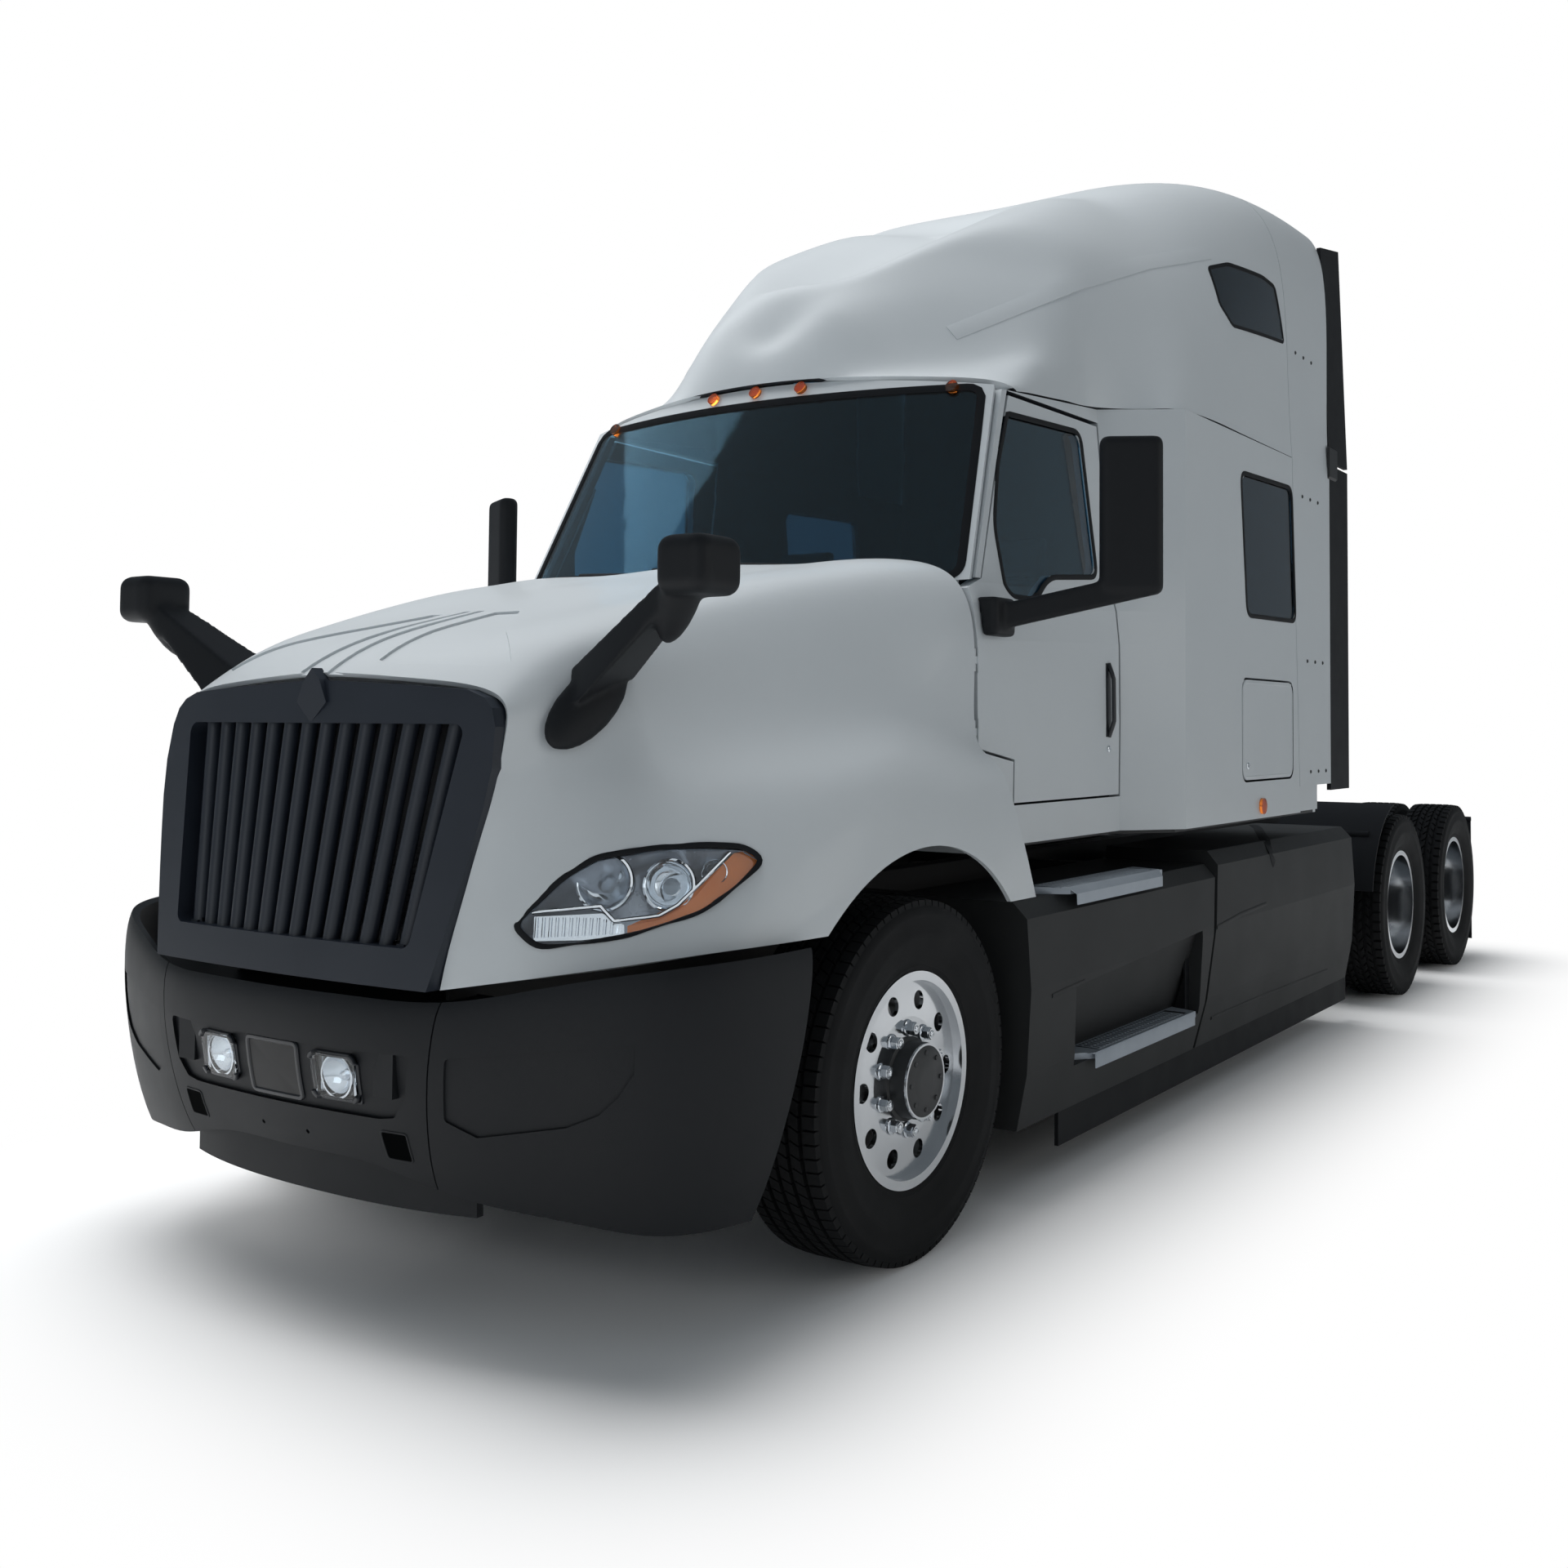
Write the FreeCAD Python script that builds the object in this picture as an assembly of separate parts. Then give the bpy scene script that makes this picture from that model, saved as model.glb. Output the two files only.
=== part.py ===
# A conventional tractor unit with a high-roof sleeper cab: rigid frame, steered front
# axle, two driven rear axles with twin wheels, tilting hood and a rocking coupling plate.
# The truck faces -Y, its left side is +X, and +Z is up.
# While it is laid out, y runs rearwards from the front axle; every solid is then
# moved so that the origin is the middle of the footprint, on the ground.
import FreeCAD
import Part
import os
from math import cos, pi, radians, sin, sqrt, tan

V = FreeCAD.Vector

# Stance
tyre_radius = 510.0
rim_radius = 302.5
front_tyre_half_gauge = 1040.0
front_tyre_width = 290.0
drive_outer_half_gauge = 1083.0
dual_spacing = 337.0
drive_tyre_width = 280.0
wheelbase = 5879.0
tandem_spread = 1320.0
kingpin_half_gauge = 905.0
steering_arm = 170.0

# Overall reach, from the front axle, and the body's half width
front_overhang = 1260.0
frame_reach = 7119.0
body_half_width = 1220.0

# Small sizes of the frame, driveline and running gear
crossmember_shares = [-0.125, 0.36, 0.49, 0.62, 0.826, 0.989]
nose_length = 150.0
joint_share = 1.25
radiator_foot_half = 330.0
knuckle_web = 30.0
arm_half = 17.0
ball_radius = 24.0
ball_share = 0.8
ball_pin = 11.0
tyre_corner = 42.0
tread_share = 0.86
rim_flange = 17.0
rim_lip = 5.0
rim_gauge = 9.0
disc_gauge = 12.0
disc_inset = 30.0
hub_step = 8.0
hub_cap = 62.0
nut_height = 32.0
stud_radius = 15.0
bolt_circle = 143.0
wheel_studs = 10
hand_holes = 10
hand_hole_radius = 27.0
front_rim_half = 116.5
drive_rim_half = 109.0
beam_reach = 330.0
beam_gauge = 45.0
trunnion_share = 0.55
trunnion_boss = 42.0
trunnion_radius = 22.0
plate_outline_shares = [(-0.55, -1), (0.55, -1), (1, -0.45), (1, 0.35), (0.8, 1),
                        (-0.8, 1), (-1, 0.35), (-1, -0.45)]
ramp_share = 0.55
stay_radius = 17.0
guard_low_angle = 12.0
guard_high_angle = 78.0

# Running clearances
seat_gap = 0.3
panel_gap = 5.0
door_gap = 8.0
latch_gap = 16.0
jamb_gap = 2.0
curve_gap = 0.8
overrun = 60.0

# Frame rails, crossmembers and deck plate
rail_outer = 430.0
rail_flange = 90.0
rail_height = 270.0
rail_web = 12.0
rail_top = 980.0
rail_front = 1050.0
horn_reach = 1175.0
horn_width = 70.0
horn_height = 170.0
horn_top = 770.0
hinge_y = 1160.0
hinge_z = 950.0
hinge_arm = 38.0
hinge_boss = 18.0
hinge_pocket_drop = 50.0
hinge_pin = 12.0
crossmember_depth = 90.0
deck_thickness = 12.0
deck_length = 900.0

# Cab and sleeper shell
cab_front_y = 545.0
cab_wall = 44.0
door_x = 1052.0
belt_z = 1994.0
sill_z = 1115.0
glasshouse_top_x = 918.0
glasshouse_rear_x = 950.0
cab_top_z = 2680.0
cab_front_top_z = 2650.0
cab_rear_top_z = 2734.0
sleeper_front_top_z = 2749.0
sleeper_top_z = 2757.0
flare_start_y = 1668.0
flare_end_y = 1900.0
sleeper_back_y = 3690.0
back_wall = 40.0
floor_z = 1150.0
floor_thickness = 50.0
firewall_thickness = 45.0
cowl_z = 1960.0

firewall_setback = 15.0
frame_wall = 30.0
frame_reach_back = 37.0
pillar_strip = 34.0
header_drop = 62.0
glass_setback = 6.0
mount_length = 120.0
# Back wall: half outline as shares of the half width and of the height to the roof
back_shares = [(0.963, 0), (0.963, 0.545), (0.955, 0.74), (0.93, 0.88), (0.85, 0.945),
               (0.72, 0.965), (0.39, 0.97), (0, 0.972)]

# Windshield and its frame
shield_top_z = 2684.0
shield_edge_y = 583.0
shield_lean = 315.0
shield_bow = 170.0
shield_half_width = 972.0
shield_top_half_width = 882.0
pillar_half_width = 1003.0
pillar_top_half_width = 918.0
header_z = 2752.0
glass = 8.0
window_corner = 55.0

# Hood, nose and grille
hood_front_y = 1185.0
hood_back_y = 530.0
hood_hem_z = 868.0
hood_top_z = 2062.0
hood_wall = 14.0
arch_radius = 660.0
recess_depth = 7.0
recess_corner = 8.0
# Sunken parts of the hood's top, from above: across and forward as shares
spine_flank_shares = [(0.022, -0.952), (0.075, -0.945), (0.062, -0.84), (0.035, -0.5),
                      (0.012, -0.5), (0.018, -0.75)]
hood_panel_shares = [(0.13, -0.9), (0.2, -0.905), (0.42, -0.87), (0.47, -0.84),
                     (0.33, -0.72), (0.15, -0.5), (0.09, -0.52), (0.102, -0.72)]
grille_half = 657.0
grille_spare = 0.05
grille_bottom_z = 868.0
grille_top_z = 1622.0
grille_bottom_y = 1212.0
grille_lean = 110.0
grille_bow = 34.0
grille_depth = 58.0
grille_opening_bottom_half = 466.0
grille_opening_top_half = 556.0
grille_opening_bottom_z = 963.0
grille_opening_top_z = 1507.0
bar_radius = 21.0
bar_setback = 30.0
bars_a_side = 7

hood_height = 1640.0
peak_half = 60.0
peak_rise = 30.0
peak_depth = 16.0
bar_spread_share = 0.96

# Grille's outline, left half: out as a share of its half width, up as a share
grille_shares = [(0.823, 0), (0.838, 0.045), (0.877, 0.177), (0.915, 0.31), (0.95, 0.442),
                 (0.982, 0.574), (1, 0.706), (0.991, 0.839), (0.965, 0.9), (0.92, 0.935),
                 (0.837, 0.96), (0.502, 0.979), (0, 1)]

# Lamps
lamp_start = -279.0
lamp_length = 610.0
lamp_low_z = 972.0
lamp_height = 238.0
lamp_corner = 14.0
lamp_near_share = 0.6
# Headlamp outline: along and up, as shares of its length and height
lamp_shares = [(0, 0.217), (0.084, 0), (0.26, 0.044), (0.44, 0.112), (0.735, 0.331),
               (0.884, 0.586), (1, 0.829), (0.919, 0.975), (0.776, 1), (0.57, 0.984),
               (0.316, 0.894), (0.178, 0.679), (0.041, 0.337)]
fog_corner = 16.0
marker_shares = [-0.85, -0.22, 0, 0.22, 0.85]
side_lamp_y = 2781.0
side_lamp_z = 1167.0
side_lamp_share = 0.75
tail_lamp_radius = 40.0
tail_lamp_depth = 18.0
fog_half_gauge = 232.0
fog_z = 633.0
fog_width = 152.0
fog_height = 112.0
marker_radius = 46.0
marker_height = 26.0

# Bumper
bumper_top_z = 836.0
bumper_corner_rise = 116.0
bumper_bottom_z = 300.0
bumper_centre_rise = 117.0
bumper_tuck = 85.0
valance_setback = 125.0
valance_wall = 20.0
valance_bottom_z = 300.0
valance_lap = 33.0
valance_half = 560.0
fog_panel_depth = 10.0
end_panel_depth = 6.0
panel_corner = 12.0
# Sunken panels of the bumper, from the front: across and up as shares
fog_panel_shares = [(-0.391, 0.76), (-0.373, 0.55), (-0.34, 0.466), (-0.3, 0.452),
                    (0.3, 0.452), (0.34, 0.466), (0.373, 0.55), (0.391, 0.76)]
end_panel_shares = [(0.471, 0.762), (0.84, 0.868), (0.836, 0.74), (0.807, 0.637),
                    (0.77, 0.554), (0.705, 0.489), (0.525, 0.415), (0.459, 0.48)]
valance_rib_x = 300.0
bumper_wall = 24.0
bumper_arch_y = 560.0
bumper_arch_rake = 215.0
bumper_seam = 4.0

bumper_seam_top = 570.0
bumper_seam_foot = 440.0
bumper_arm_reach = 985.0
bumper_arm_y = 1020.0
bumper_arm_width = 60.0
tow_half_gauge = 403.0
tow_z = 475.0
tow_width = 74.0
tow_height = 66.0
plate_hole_half = 89.0
plate_hole_z = 471.0
plate_hole_radius = 6.0

# Roof cap and side extenders
roof_front_y = 740.0
roof_top_z = 4080.0
roof_wall = 30.0
extender_pad = 80.0
extender_pad_y = 3560.0
extender_pad_heights = (1500.0, 2300.0)
extender_back_y = 3800.0
extender_bottom_z = 1236.0
extender_seam_top_y = 3141.0
extender_seam_low_y = 3317.0
extender_top_half = 1010.0
flap_reach = 4114.0
flap_thickness = 20.0
flap_bottom_z = 1203.0
flap_top_z = 3960.0
flap_split_z = 2816.0
flap_split = 20.0

# Chassis fairings, steps, skirts and tanks
fairing_x = 1216.0
fairing_inner_x = 700.0
fairing_wall = 26.0
fairing_bottom_z = 232.0
step_top_z = 950.0
tank_top_z = 1000.0
step_front_y = 610.0
step_back_y = 2287.0
step_rake = 180.0
fairing_gap = 24.0
tank_back_y = 4215.0
skirt_bottom_z = 105.0
skirt_front_y = 960.0
skirt_back_y = 4310.0
skirt_thickness = 14.0
tread_thickness = 22.0
tank_radius = 300.0
tank_x = 850.0
tank_z = 640.0
tank_front_y = 2420.0
tank_rear_y = 4120.0

bracket_width = 60.0
lower_step_z = 400.0
scoop_depth = 125.0
scoop_front_y = 930.0
scoop_back_y = 2090.0
scoop_front_z = 645.0
scoop_back_z = 704.0
scoop_ramp = 150.0
# Fairing section: out as a share from its inner edge, up as a share of its height
fairing_shares = [(0, 1), (0.87, 1), (0.97, 0.93), (1, 0.62), (0.97, 0.25), (0.9, 0), (0, 0)]
# Treads: across as a share of the fairing's reach, back as a share of their ledge
upper_tread_shares = [(0.87, 0.14), (0.985, 0.19), (0.985, 0.66), (0.87, 0.69)]
lower_tread_shares = [(0.9, 0.03), (1, 0.16), (1, 0.93), (0.9, 0.97)]

# Doors, mirrors and luggage hatches
door_bottom_z = 1245.0
door_step_z = 1430.0
door_step_y = 800.0
door_step_drop = 40.0
door_corner_share = 5.0
door_pin_x = 1040.0
door_pin_y = 546.0
door_pin = 3.0
door_barrel = 6.0
door_barrel_half = 12.0
door_lug_x = 940.0
door_lug_step_x = 990.0
door_tongue = 24.0
door_hinge_heights = (1490.0, 1720.0)
hatch_top_z = 1720.0
hatch_bottom_z = 1275.0
hatch_front_y = 2535.0
hatch_back_y = 3220.0
hatch_gap = 9.0
hatch_pin_radius = 4.5
hatch_lip = 2.5
mirror_arm = 42.0

mirror_foot_x = 655.0
mirror_neck_x = 1060.0
mirror_foot_shares = [(-0.795, 0.906), (-0.59, 0.955), (-0.6, 1.0), (-0.75, 0.998), (-0.795, 0.906)]
mirror_neck_shares = [(-0.8, 1.105), (-0.72, 1.11), (-0.72, 1.15), (-0.8, 1.15), (-0.8, 1.105)]
mirror_head_x = 1025.0
mirror_head_front_y = 990.0
mirror_head_depth = 170.0
mirror_head_width = 154.0
mirror_head_z = 1817.0
mirror_head_height = 144.0
mirror_foot_y = 585.0
mirror_foot_length = 140.0
mirror_foot_z = 1800.0
mirror_foot_height = 126.0
mirror_foot_depth = 48.0
tall_mirror_x = 1440.0
tall_mirror_width = 205.0
tall_mirror_y = 873.0
tall_mirror_depth = 76.0
tall_mirror_yaw = 27.0
mirror_corner = 26.0
tall_mirror_z = 1937.0
tall_mirror_height = 518.0

# Axles, springs and steering
axle_drop = 80.0
beam_half_height = 50.0
beam_half_width = 60.0
kingpin_radius = 20.0
kingpin_boss = 46.0
knuckle_half = 72.0
hub_radius = 105.0
leaf_width = 90.0
leaf_stack = 70.0
leaf_length = 1560.0
housing_radius = 92.0
bowl_radius = 215.0
bowl_steps = 8
bowl_margin_share = 0.155
housing_half = 612.0
bag_radius = 105.0
tie_rod_radius = 19.0

# Coupling plate
plate_y = 5600.0
plate_pivot_z = 1085.0
plate_top_z = 1180.0
plate_thickness = 34.0
plate_half_width = 457.0
plate_half_length = 420.0
jaw_radius = 25.5
throat_half = 165.0

# Engine and driveline
engine_half = 330.0
engine_front_y = -640.0
engine_length = 1150.0
engine_bottom_z = 600.0
engine_height = 900.0
gearbox_radius = 190.0
gearbox_length = 900.0
shaft_radius = 55.0
radiator_y = 930.0
radiator_thickness = 80.0
radiator_half = 430.0
radiator_top_z = 1470.0

# Rear mud guards
guard_radius = 585.0
guard_thickness = 10.0
guard_inner_x = 610.0
guard_outer_x = 1190.0
flap_board_y = 7060.0
flap_board = 10.0
flap_board_bottom_z = 110.0
flap_board_top_z = 900.0

# Cab fittings
seat_width = 520.0
seat_depth = 520.0
seat_base_z = 1560.0
seat_x = 520.0
seat_y = 1230.0
wheel_ring_radius = 230.0
ring_radius = 16.0

# Windows, as frames (y0, y1, z0, z1), and their corners as shares of those frames
door_window = (790.0, 1540.0, 1952.0, 2612.0)
door_window_shares = [(0.177, 0.964), (0.951, 1), (1, 0.188), (0.5, 0.14), (0.3, 0),
                      (0.048, 0), (0, 0.364)]
sleeper_window = (2536.0, 3256.0, 1992.0, 2606.0)
sleeper_window_shares = [(0, 0.966), (0.931, 1), (1, 0.02), (0.102, 0)]
upper_window = (2483.0, 3137.0, 3234.0, 3534.0)
upper_window_shares = [(0, 0.783), (0.255, 0.967), (0.696, 1), (0.882, 0.943),
                       (1, 0.163), (0.116, 0), (0, 0.26)]
upper_corner = 22.0
hatch_frame = (hatch_front_y, hatch_back_y, hatch_bottom_z, hatch_top_z)
square_shares = [(0, 1), (1, 1), (1, 0), (0, 0)]

# Seats, dashboard and bunk
cushion = 120.0
seat_back_height = 720.0
back_lean = 130.0
dash_depth = 380.0
dash_bottom_z = 1520.0
dash_rise = 390.0
column_reach = 90.0
dash_shares = [(0, 0), (0.3, 0), (0.9, 0.35), (1, 0.7), (0.85, 0.9), (0.3, 0.95), (0, 1)]
bunk_depth = 900.0
bunk_z = 1750.0
bunk_board = 30.0

# Hood skin: each row is one station from the grille back to the cowl, and its
# points climb from the hem over the fender and the shoulder to the centre line.
# Across as a share of the half width, back as a share of the hood's length, and
# up as a share of its height.
hood_rows_shares = [
    [(0.449, 0, 0), (0.47, 0.004, 0.094), (0.492, 0.012, 0.186), (0.514, 0.022, 0.286),
     (0.534, 0.037, 0.395), (0.538, 0.052, 0.496), (0.507, 0.059, 0.596), (0.27, 0.045, 0.633),
     (0, 0.035, 0.647)],
    [(0.574, 0.038, 0.021), (0.589, 0.057, 0.111), (0.601, 0.078, 0.203), (0.607, 0.101, 0.303),
     (0.605, 0.127, 0.404), (0.59, 0.152, 0.504), (0.529, 0.178, 0.688), (0.287, 0.152, 0.722),
     (0, 0.14, 0.729)],
    [(0.738, 0.122, 0.048), (0.742, 0.149, 0.127), (0.738, 0.172, 0.211), (0.725, 0.195, 0.303),
     (0.701, 0.224, 0.404), (0.656, 0.259, 0.521), (0.57, 0.306, 0.749), (0.311, 0.286, 0.781),
     (0, 0.274, 0.786)],
    [(0.869, 0.21, 0.071), (0.87, 0.236, 0.14), (0.862, 0.265, 0.219), (0.844, 0.294, 0.312),
     (0.807, 0.329, 0.412), (0.73, 0.388, 0.538), (0.613, 0.446, 0.802), (0.328, 0.434, 0.838),
     (0, 0.429, 0.843)],
    [(0.955, 0.341, 0.082), (0.957, 0.364, 0.144), (0.951, 0.394, 0.228), (0.934, 0.429, 0.324),
     (0.889, 0.475, 0.429), (0.791, 0.545, 0.563), (0.668, 0.621, 0.858), (0.352, 0.603, 0.9),
     (0, 0.595, 0.905)],
    [(0.993, 0.574, 0.085), (0.995, 0.592, 0.161), (0.992, 0.609, 0.249), (0.977, 0.633, 0.353),
     (0.925, 0.668, 0.462), (0.82, 0.726, 0.596), (0.715, 0.778, 0.899), (0.369, 0.752, 0.94),
     (0, 0.743, 0.945)],
    [(0.997, 0.825, 0.085), (0.998, 0.819, 0.178), (0.993, 0.81, 0.278), (0.971, 0.813, 0.383),
     (0.908, 0.834, 0.479), (0.848, 0.86, 0.613), (0.758, 0.895, 0.927), (0.384, 0.86, 0.97),
     (0, 0.847, 0.978)],
    [(0.997, 1.064, 0.085), (0.997, 1.026, 0.203), (0.99, 0.991, 0.32), (0.957, 0.975, 0.429),
     (0.884, 0.99, 0.487), (0.862, 0.999, 0.647), (0.789, 1, 0.943), (0.393, 0.953, 0.99),
     (0, 0.931, 1)],
]

# Roof cap: stations from the brow back to the trailing edge, points from the side
# seam up to the centre line, as shares of half width, length and height.
roof_rows_shares = [
    [(0.764, 0.098, 0.007), (0.725, 0.065, 0.026), (0.607, 0.041, 0.036), (0.393, 0.018, 0.049),
     (0.197, 0.004, 0.056), (0, 0, 0.059)],
    [(0.767, 0.134, 0.016), (0.725, 0.114, 0.059), (0.611, 0.082, 0.063), (0.393, 0.038, 0.086),
     (0.197, 0.016, 0.154), (0, 0.012, 0.143)],
    [(0.77, 0.183, 0.024), (0.725, 0.16, 0.118), (0.611, 0.127, 0.123), (0.398, 0.067, 0.171),
     (0.197, 0.036, 0.246), (0, 0.029, 0.204)],
    [(0.774, 0.225, 0.031), (0.725, 0.216, 0.2), (0.615, 0.183, 0.261), (0.41, 0.127, 0.325),
     (0.205, 0.072, 0.329), (0, 0.054, 0.336)],
    [(0.778, 0.281, 0.039), (0.734, 0.268, 0.336), (0.631, 0.242, 0.396), (0.426, 0.193, 0.464),
     (0.246, 0.127, 0.416), (0, 0.118, 0.371)],
    [(0.881, 0.343, 0.046), (0.799, 0.333, 0.321), (0.697, 0.314, 0.496), (0.492, 0.281, 0.594),
     (0.279, 0.248, 0.554), (0, 0.248, 0.494)],
    [(0.98, 0.391, 0.052), (0.898, 0.428, 0.343), (0.775, 0.428, 0.55), (0.566, 0.428, 0.721),
     (0.328, 0.428, 0.756), (0, 0.428, 0.7)],
    [(1, 0.487, 0.055), (0.926, 0.497, 0.364), (0.807, 0.497, 0.591), (0.594, 0.497, 0.766),
     (0.334, 0.497, 0.804), (0, 0.497, 0.766)],
    [(1, 0.575, 0.055), (0.957, 0.575, 0.4), (0.852, 0.575, 0.664), (0.631, 0.575, 0.846),
     (0.344, 0.575, 0.886), (0, 0.575, 0.875)],
    [(1, 0.706, 0.055), (0.982, 0.706, 0.45), (0.914, 0.706, 0.75), (0.705, 0.706, 0.941),
     (0.377, 0.706, 0.979), (0, 0.706, 0.979)],
    [(1, 0.82, 0.055), (0.989, 0.82, 0.493), (0.947, 0.82, 0.8), (0.762, 0.82, 0.968),
     (0.393, 0.82, 0.999), (0, 0.82, 1)],
    [(1, 1, 0.055), (0.992, 1, 0.5), (0.961, 1, 0.843), (0.779, 1, 0.964), (0.393, 1, 0.989),
     (0, 1, 0.99)],
]

# Bumper plan: across as a share of the half width, forward as a share of the front
# overhang, and how much of the corner rise and of the centre rise its edges have there.
bumper_plan_shares = [(0, 1, 0, 1), (0.246, 0.9885, 0, 0.95), (0.467, 0.948, 0.04, 0.5),
                      (0.697, 0.873, 0.5, 0.2), (0.869, 0.792, 0.82, 0), (0.97, 0.667, 0.96, 0),
                      (1, 0.524, 1, 0), (1, 0.4, 1, 0)]
# Bumper profile: up as a share of its height, and inwards as a share of its tuck.
bumper_tuck_shares = [(0, 1), (0.3, 0.38), (0.6, 0.07), (0.77, 0.012), (0.92, 0.06), (1, 0.2)]

# Cab side profile: height as a share from the sill to the belt, and inset from the
# door's widest line as a share of the inset at the top of the glass.
side_profile_shares = [(0, 0.05), (0.45, 0), (0.78, 0.03), (0.92, 0.16), (1, 0.36),
                       (1.36, 0.66), (1.785, 1)]


def box(x0, x1, y0, y1, z0, z1):
    """A block between two corners."""
    low = V(min(x0, x1), min(y0, y1), min(z0, z1))
    return Part.makeBox(abs(x1 - x0), abs(y1 - y0), abs(z1 - z0), low)


def rod(start, end, radius):
    """A round bar between two points."""
    run = end - start
    return Part.makeCylinder(radius, run.Length, start, run)


def mirrored(shape):
    """The same shape on the truck's right."""
    return shape.mirror(V(0, 0, 0), V(1, 0, 0))


def both(shape):
    """A left shape and its right twin."""
    return [shape, mirrored(shape)]


def fuse(first, *others):
    """One solid from several that touch."""
    return first.fuse(list(others)).removeSplitter()


def rounded(points, radius):
    """A closed wire through the corners, each eased by an arc of the radius."""
    count = len(points)
    turns = []
    for i, corner in enumerate(points):
        before = (points[i - 1] - corner).normalize()
        after = (points[(i + 1) % count] - corner).normalize()
        half = before.getAngle(after) / 2
        reach = radius / tan(half)
        inside = (before + after).normalize()
        middle = corner + inside * (radius / sin(half) - radius)
        turns.append((corner + before * reach, middle, corner + after * reach))
    edges = []
    for i, (start, middle, end) in enumerate(turns):
        edges.append(Part.Arc(start, middle, end).toShape())
        edges.append(Part.LineSegment(end, turns[(i + 1) % count][0]).toShape())
    return Part.Wire(edges)


def prism(points, run, radius=0):
    """The outline through the points, pushed along run."""
    wire = rounded(points, radius) if radius else Part.makePolygon(points + points[:1])
    return Part.Face(wire).extrude(run)


def side_prism(outline, x0, x1, radius=0):
    """An outline of (y, z) points seen from the side, pushed from x0 to x1."""
    return prism([V(x0, y, z) for y, z in outline], V(x1 - x0, 0, 0), radius)


def section_prism(outline, y0, y1, radius=0):
    """An outline of (x, z) points seen from the front, pushed from y0 to y1."""
    return prism([V(x, y0, z) for x, z in outline], V(0, y1 - y0, 0), radius)


def plan_prism(outline, z0, z1, radius=0):
    """An outline of (x, y) points seen from above, pushed from z0 to z1."""
    return prism([V(x, y, z0) for x, y in outline], V(0, 0, z1 - z0), radius)


def spacing(lines):
    """Parameters for points in lines, from the mean of the steps' square roots."""
    steps = [0]
    for i in range(len(lines[0]) - 1):
        steps.append(sum(sqrt((line[i + 1] - line[i]).Length) for line in lines))
    return [sum(steps[:i + 1]) / sum(steps) for i in range(len(steps))]


def curve(points, parameters):
    """The smooth curve through points at the parameters."""
    result = Part.BSplineCurve()
    result.interpolate(Points=list(points), Parameters=parameters)
    return result


def surface(rows):
    """The smooth surface through rows of points: curves along the rows, then curves
    through the poles of those."""
    columns = list(zip(*rows))
    row_curves = [curve(row, spacing(rows)) for row in rows]
    poles = zip(*[line.getPoles() for line in row_curves])
    lines = [curve(line, spacing(columns)) for line in poles]
    one, other = row_curves[0], lines[0]
    result = Part.BSplineSurface()
    result.buildFromPolesMultsKnots(
        [line.getPoles() for line in lines], one.getMultiplicities(),
        other.getMultiplicities(), one.getKnots(), other.getKnots(), False, False,
        one.Degree, other.Degree)
    return result


def skin(rows, wall, inside):
    """A curved panel whose outer face passes through the rows, with an even wall
    on the side where the point inside lies."""
    outer = surface(rows)

    def normal(point):
        u, v = outer.parameter(point)
        return outer.normal(u, v)

    middle = rows[len(rows) // 2][len(rows[0]) // 2]
    side = 1 if normal(middle).dot(inside - middle) > 0 else -1
    inner = surface([[p + normal(p) * (side * wall) for p in row] for row in rows])
    faces = [outer.toShape(), inner.toShape()]
    outer_u0, outer_u1, outer_v0, outer_v1 = outer.bounds()
    inner_u0, inner_u1, inner_v0, inner_v1 = inner.bounds()
    rims = [(outer.uIso(outer_u0), inner.uIso(inner_u0)),
            (outer.uIso(outer_u1), inner.uIso(inner_u1)),
            (outer.vIso(outer_v0), inner.vIso(inner_v0)),
            (outer.vIso(outer_v1), inner.vIso(inner_v1))]
    for one, other in rims:
        faces.append(Part.makeRuledSurface(one.toShape(), other.toShape()))
    shell = Part.makeShell(faces)
    shell.sewShape()
    solid = Part.makeSolid(shell)
    if solid.Volume < 0:
        solid.reverse()
    return solid


def across(half_row):
    """A row from the left edge to the right, from its left half up to the middle."""
    return half_row + [V(-p.x, p.y, p.z) for p in reversed(half_row[:-1])]


def save(name, *solids):
    """Write the solids of one node, moved to the footprint's middle."""
    shape = solids[0] if len(solids) == 1 else Part.makeCompound(list(solids))
    shape = shape.copy()
    shape.translate(V(0, -(frame_reach - front_overhang) / 2, 0))
    shape.exportStep("parts/" + name + ".step")


def hood_rows():
    length = hood_front_y + hood_back_y
    height = hood_top_z - hood_hem_z
    return [across([V(x * body_half_width, y * length - hood_front_y,
                      z * height + hood_hem_z) for x, y, z in row])
            for row in hood_rows_shares]


def roof_rows():
    length = extender_back_y - roof_front_y
    height = roof_top_z - cab_top_z
    return [across([V(x * body_half_width, y * length + roof_front_y,
                      z * height + cab_top_z) for x, y, z in row])
            for row in roof_rows_shares]


def bumper_plan(out):
    """Points of the bumper's plan in mm, with its top and bottom rise, each moved
    inwards by out along the plan's own normal."""
    plan = [V(x * body_half_width, -y * front_overhang, 0)
            for x, y, top, bottom in bumper_plan_shares]
    moved = []
    for i, point in enumerate(plan):
        ahead = plan[min(i + 1, len(plan) - 1)]
        behind = plan[i - 1] if i else V(-ahead.x, ahead.y, 0)
        run = (ahead - behind).normalize()
        moved.append(point + V(-run.y, run.x, 0) * out)
    return moved


def bumper_rows(tucks, low_z, centre_rise, high_z):
    """Rows of the bumper's curve from a bottom edge up to its top edge."""
    rows = []
    for up, tuck in tucks:
        row = []
        for point, (_, _, top, bottom) in zip(bumper_plan(tuck), bumper_plan_shares):
            start = low_z + bottom * centre_rise
            end = high_z + top * bumper_corner_rise
            row.append(point + V(0, 0, start + up * (end - start)))
        rows.append(across(row[::-1]))
    return rows


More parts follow.
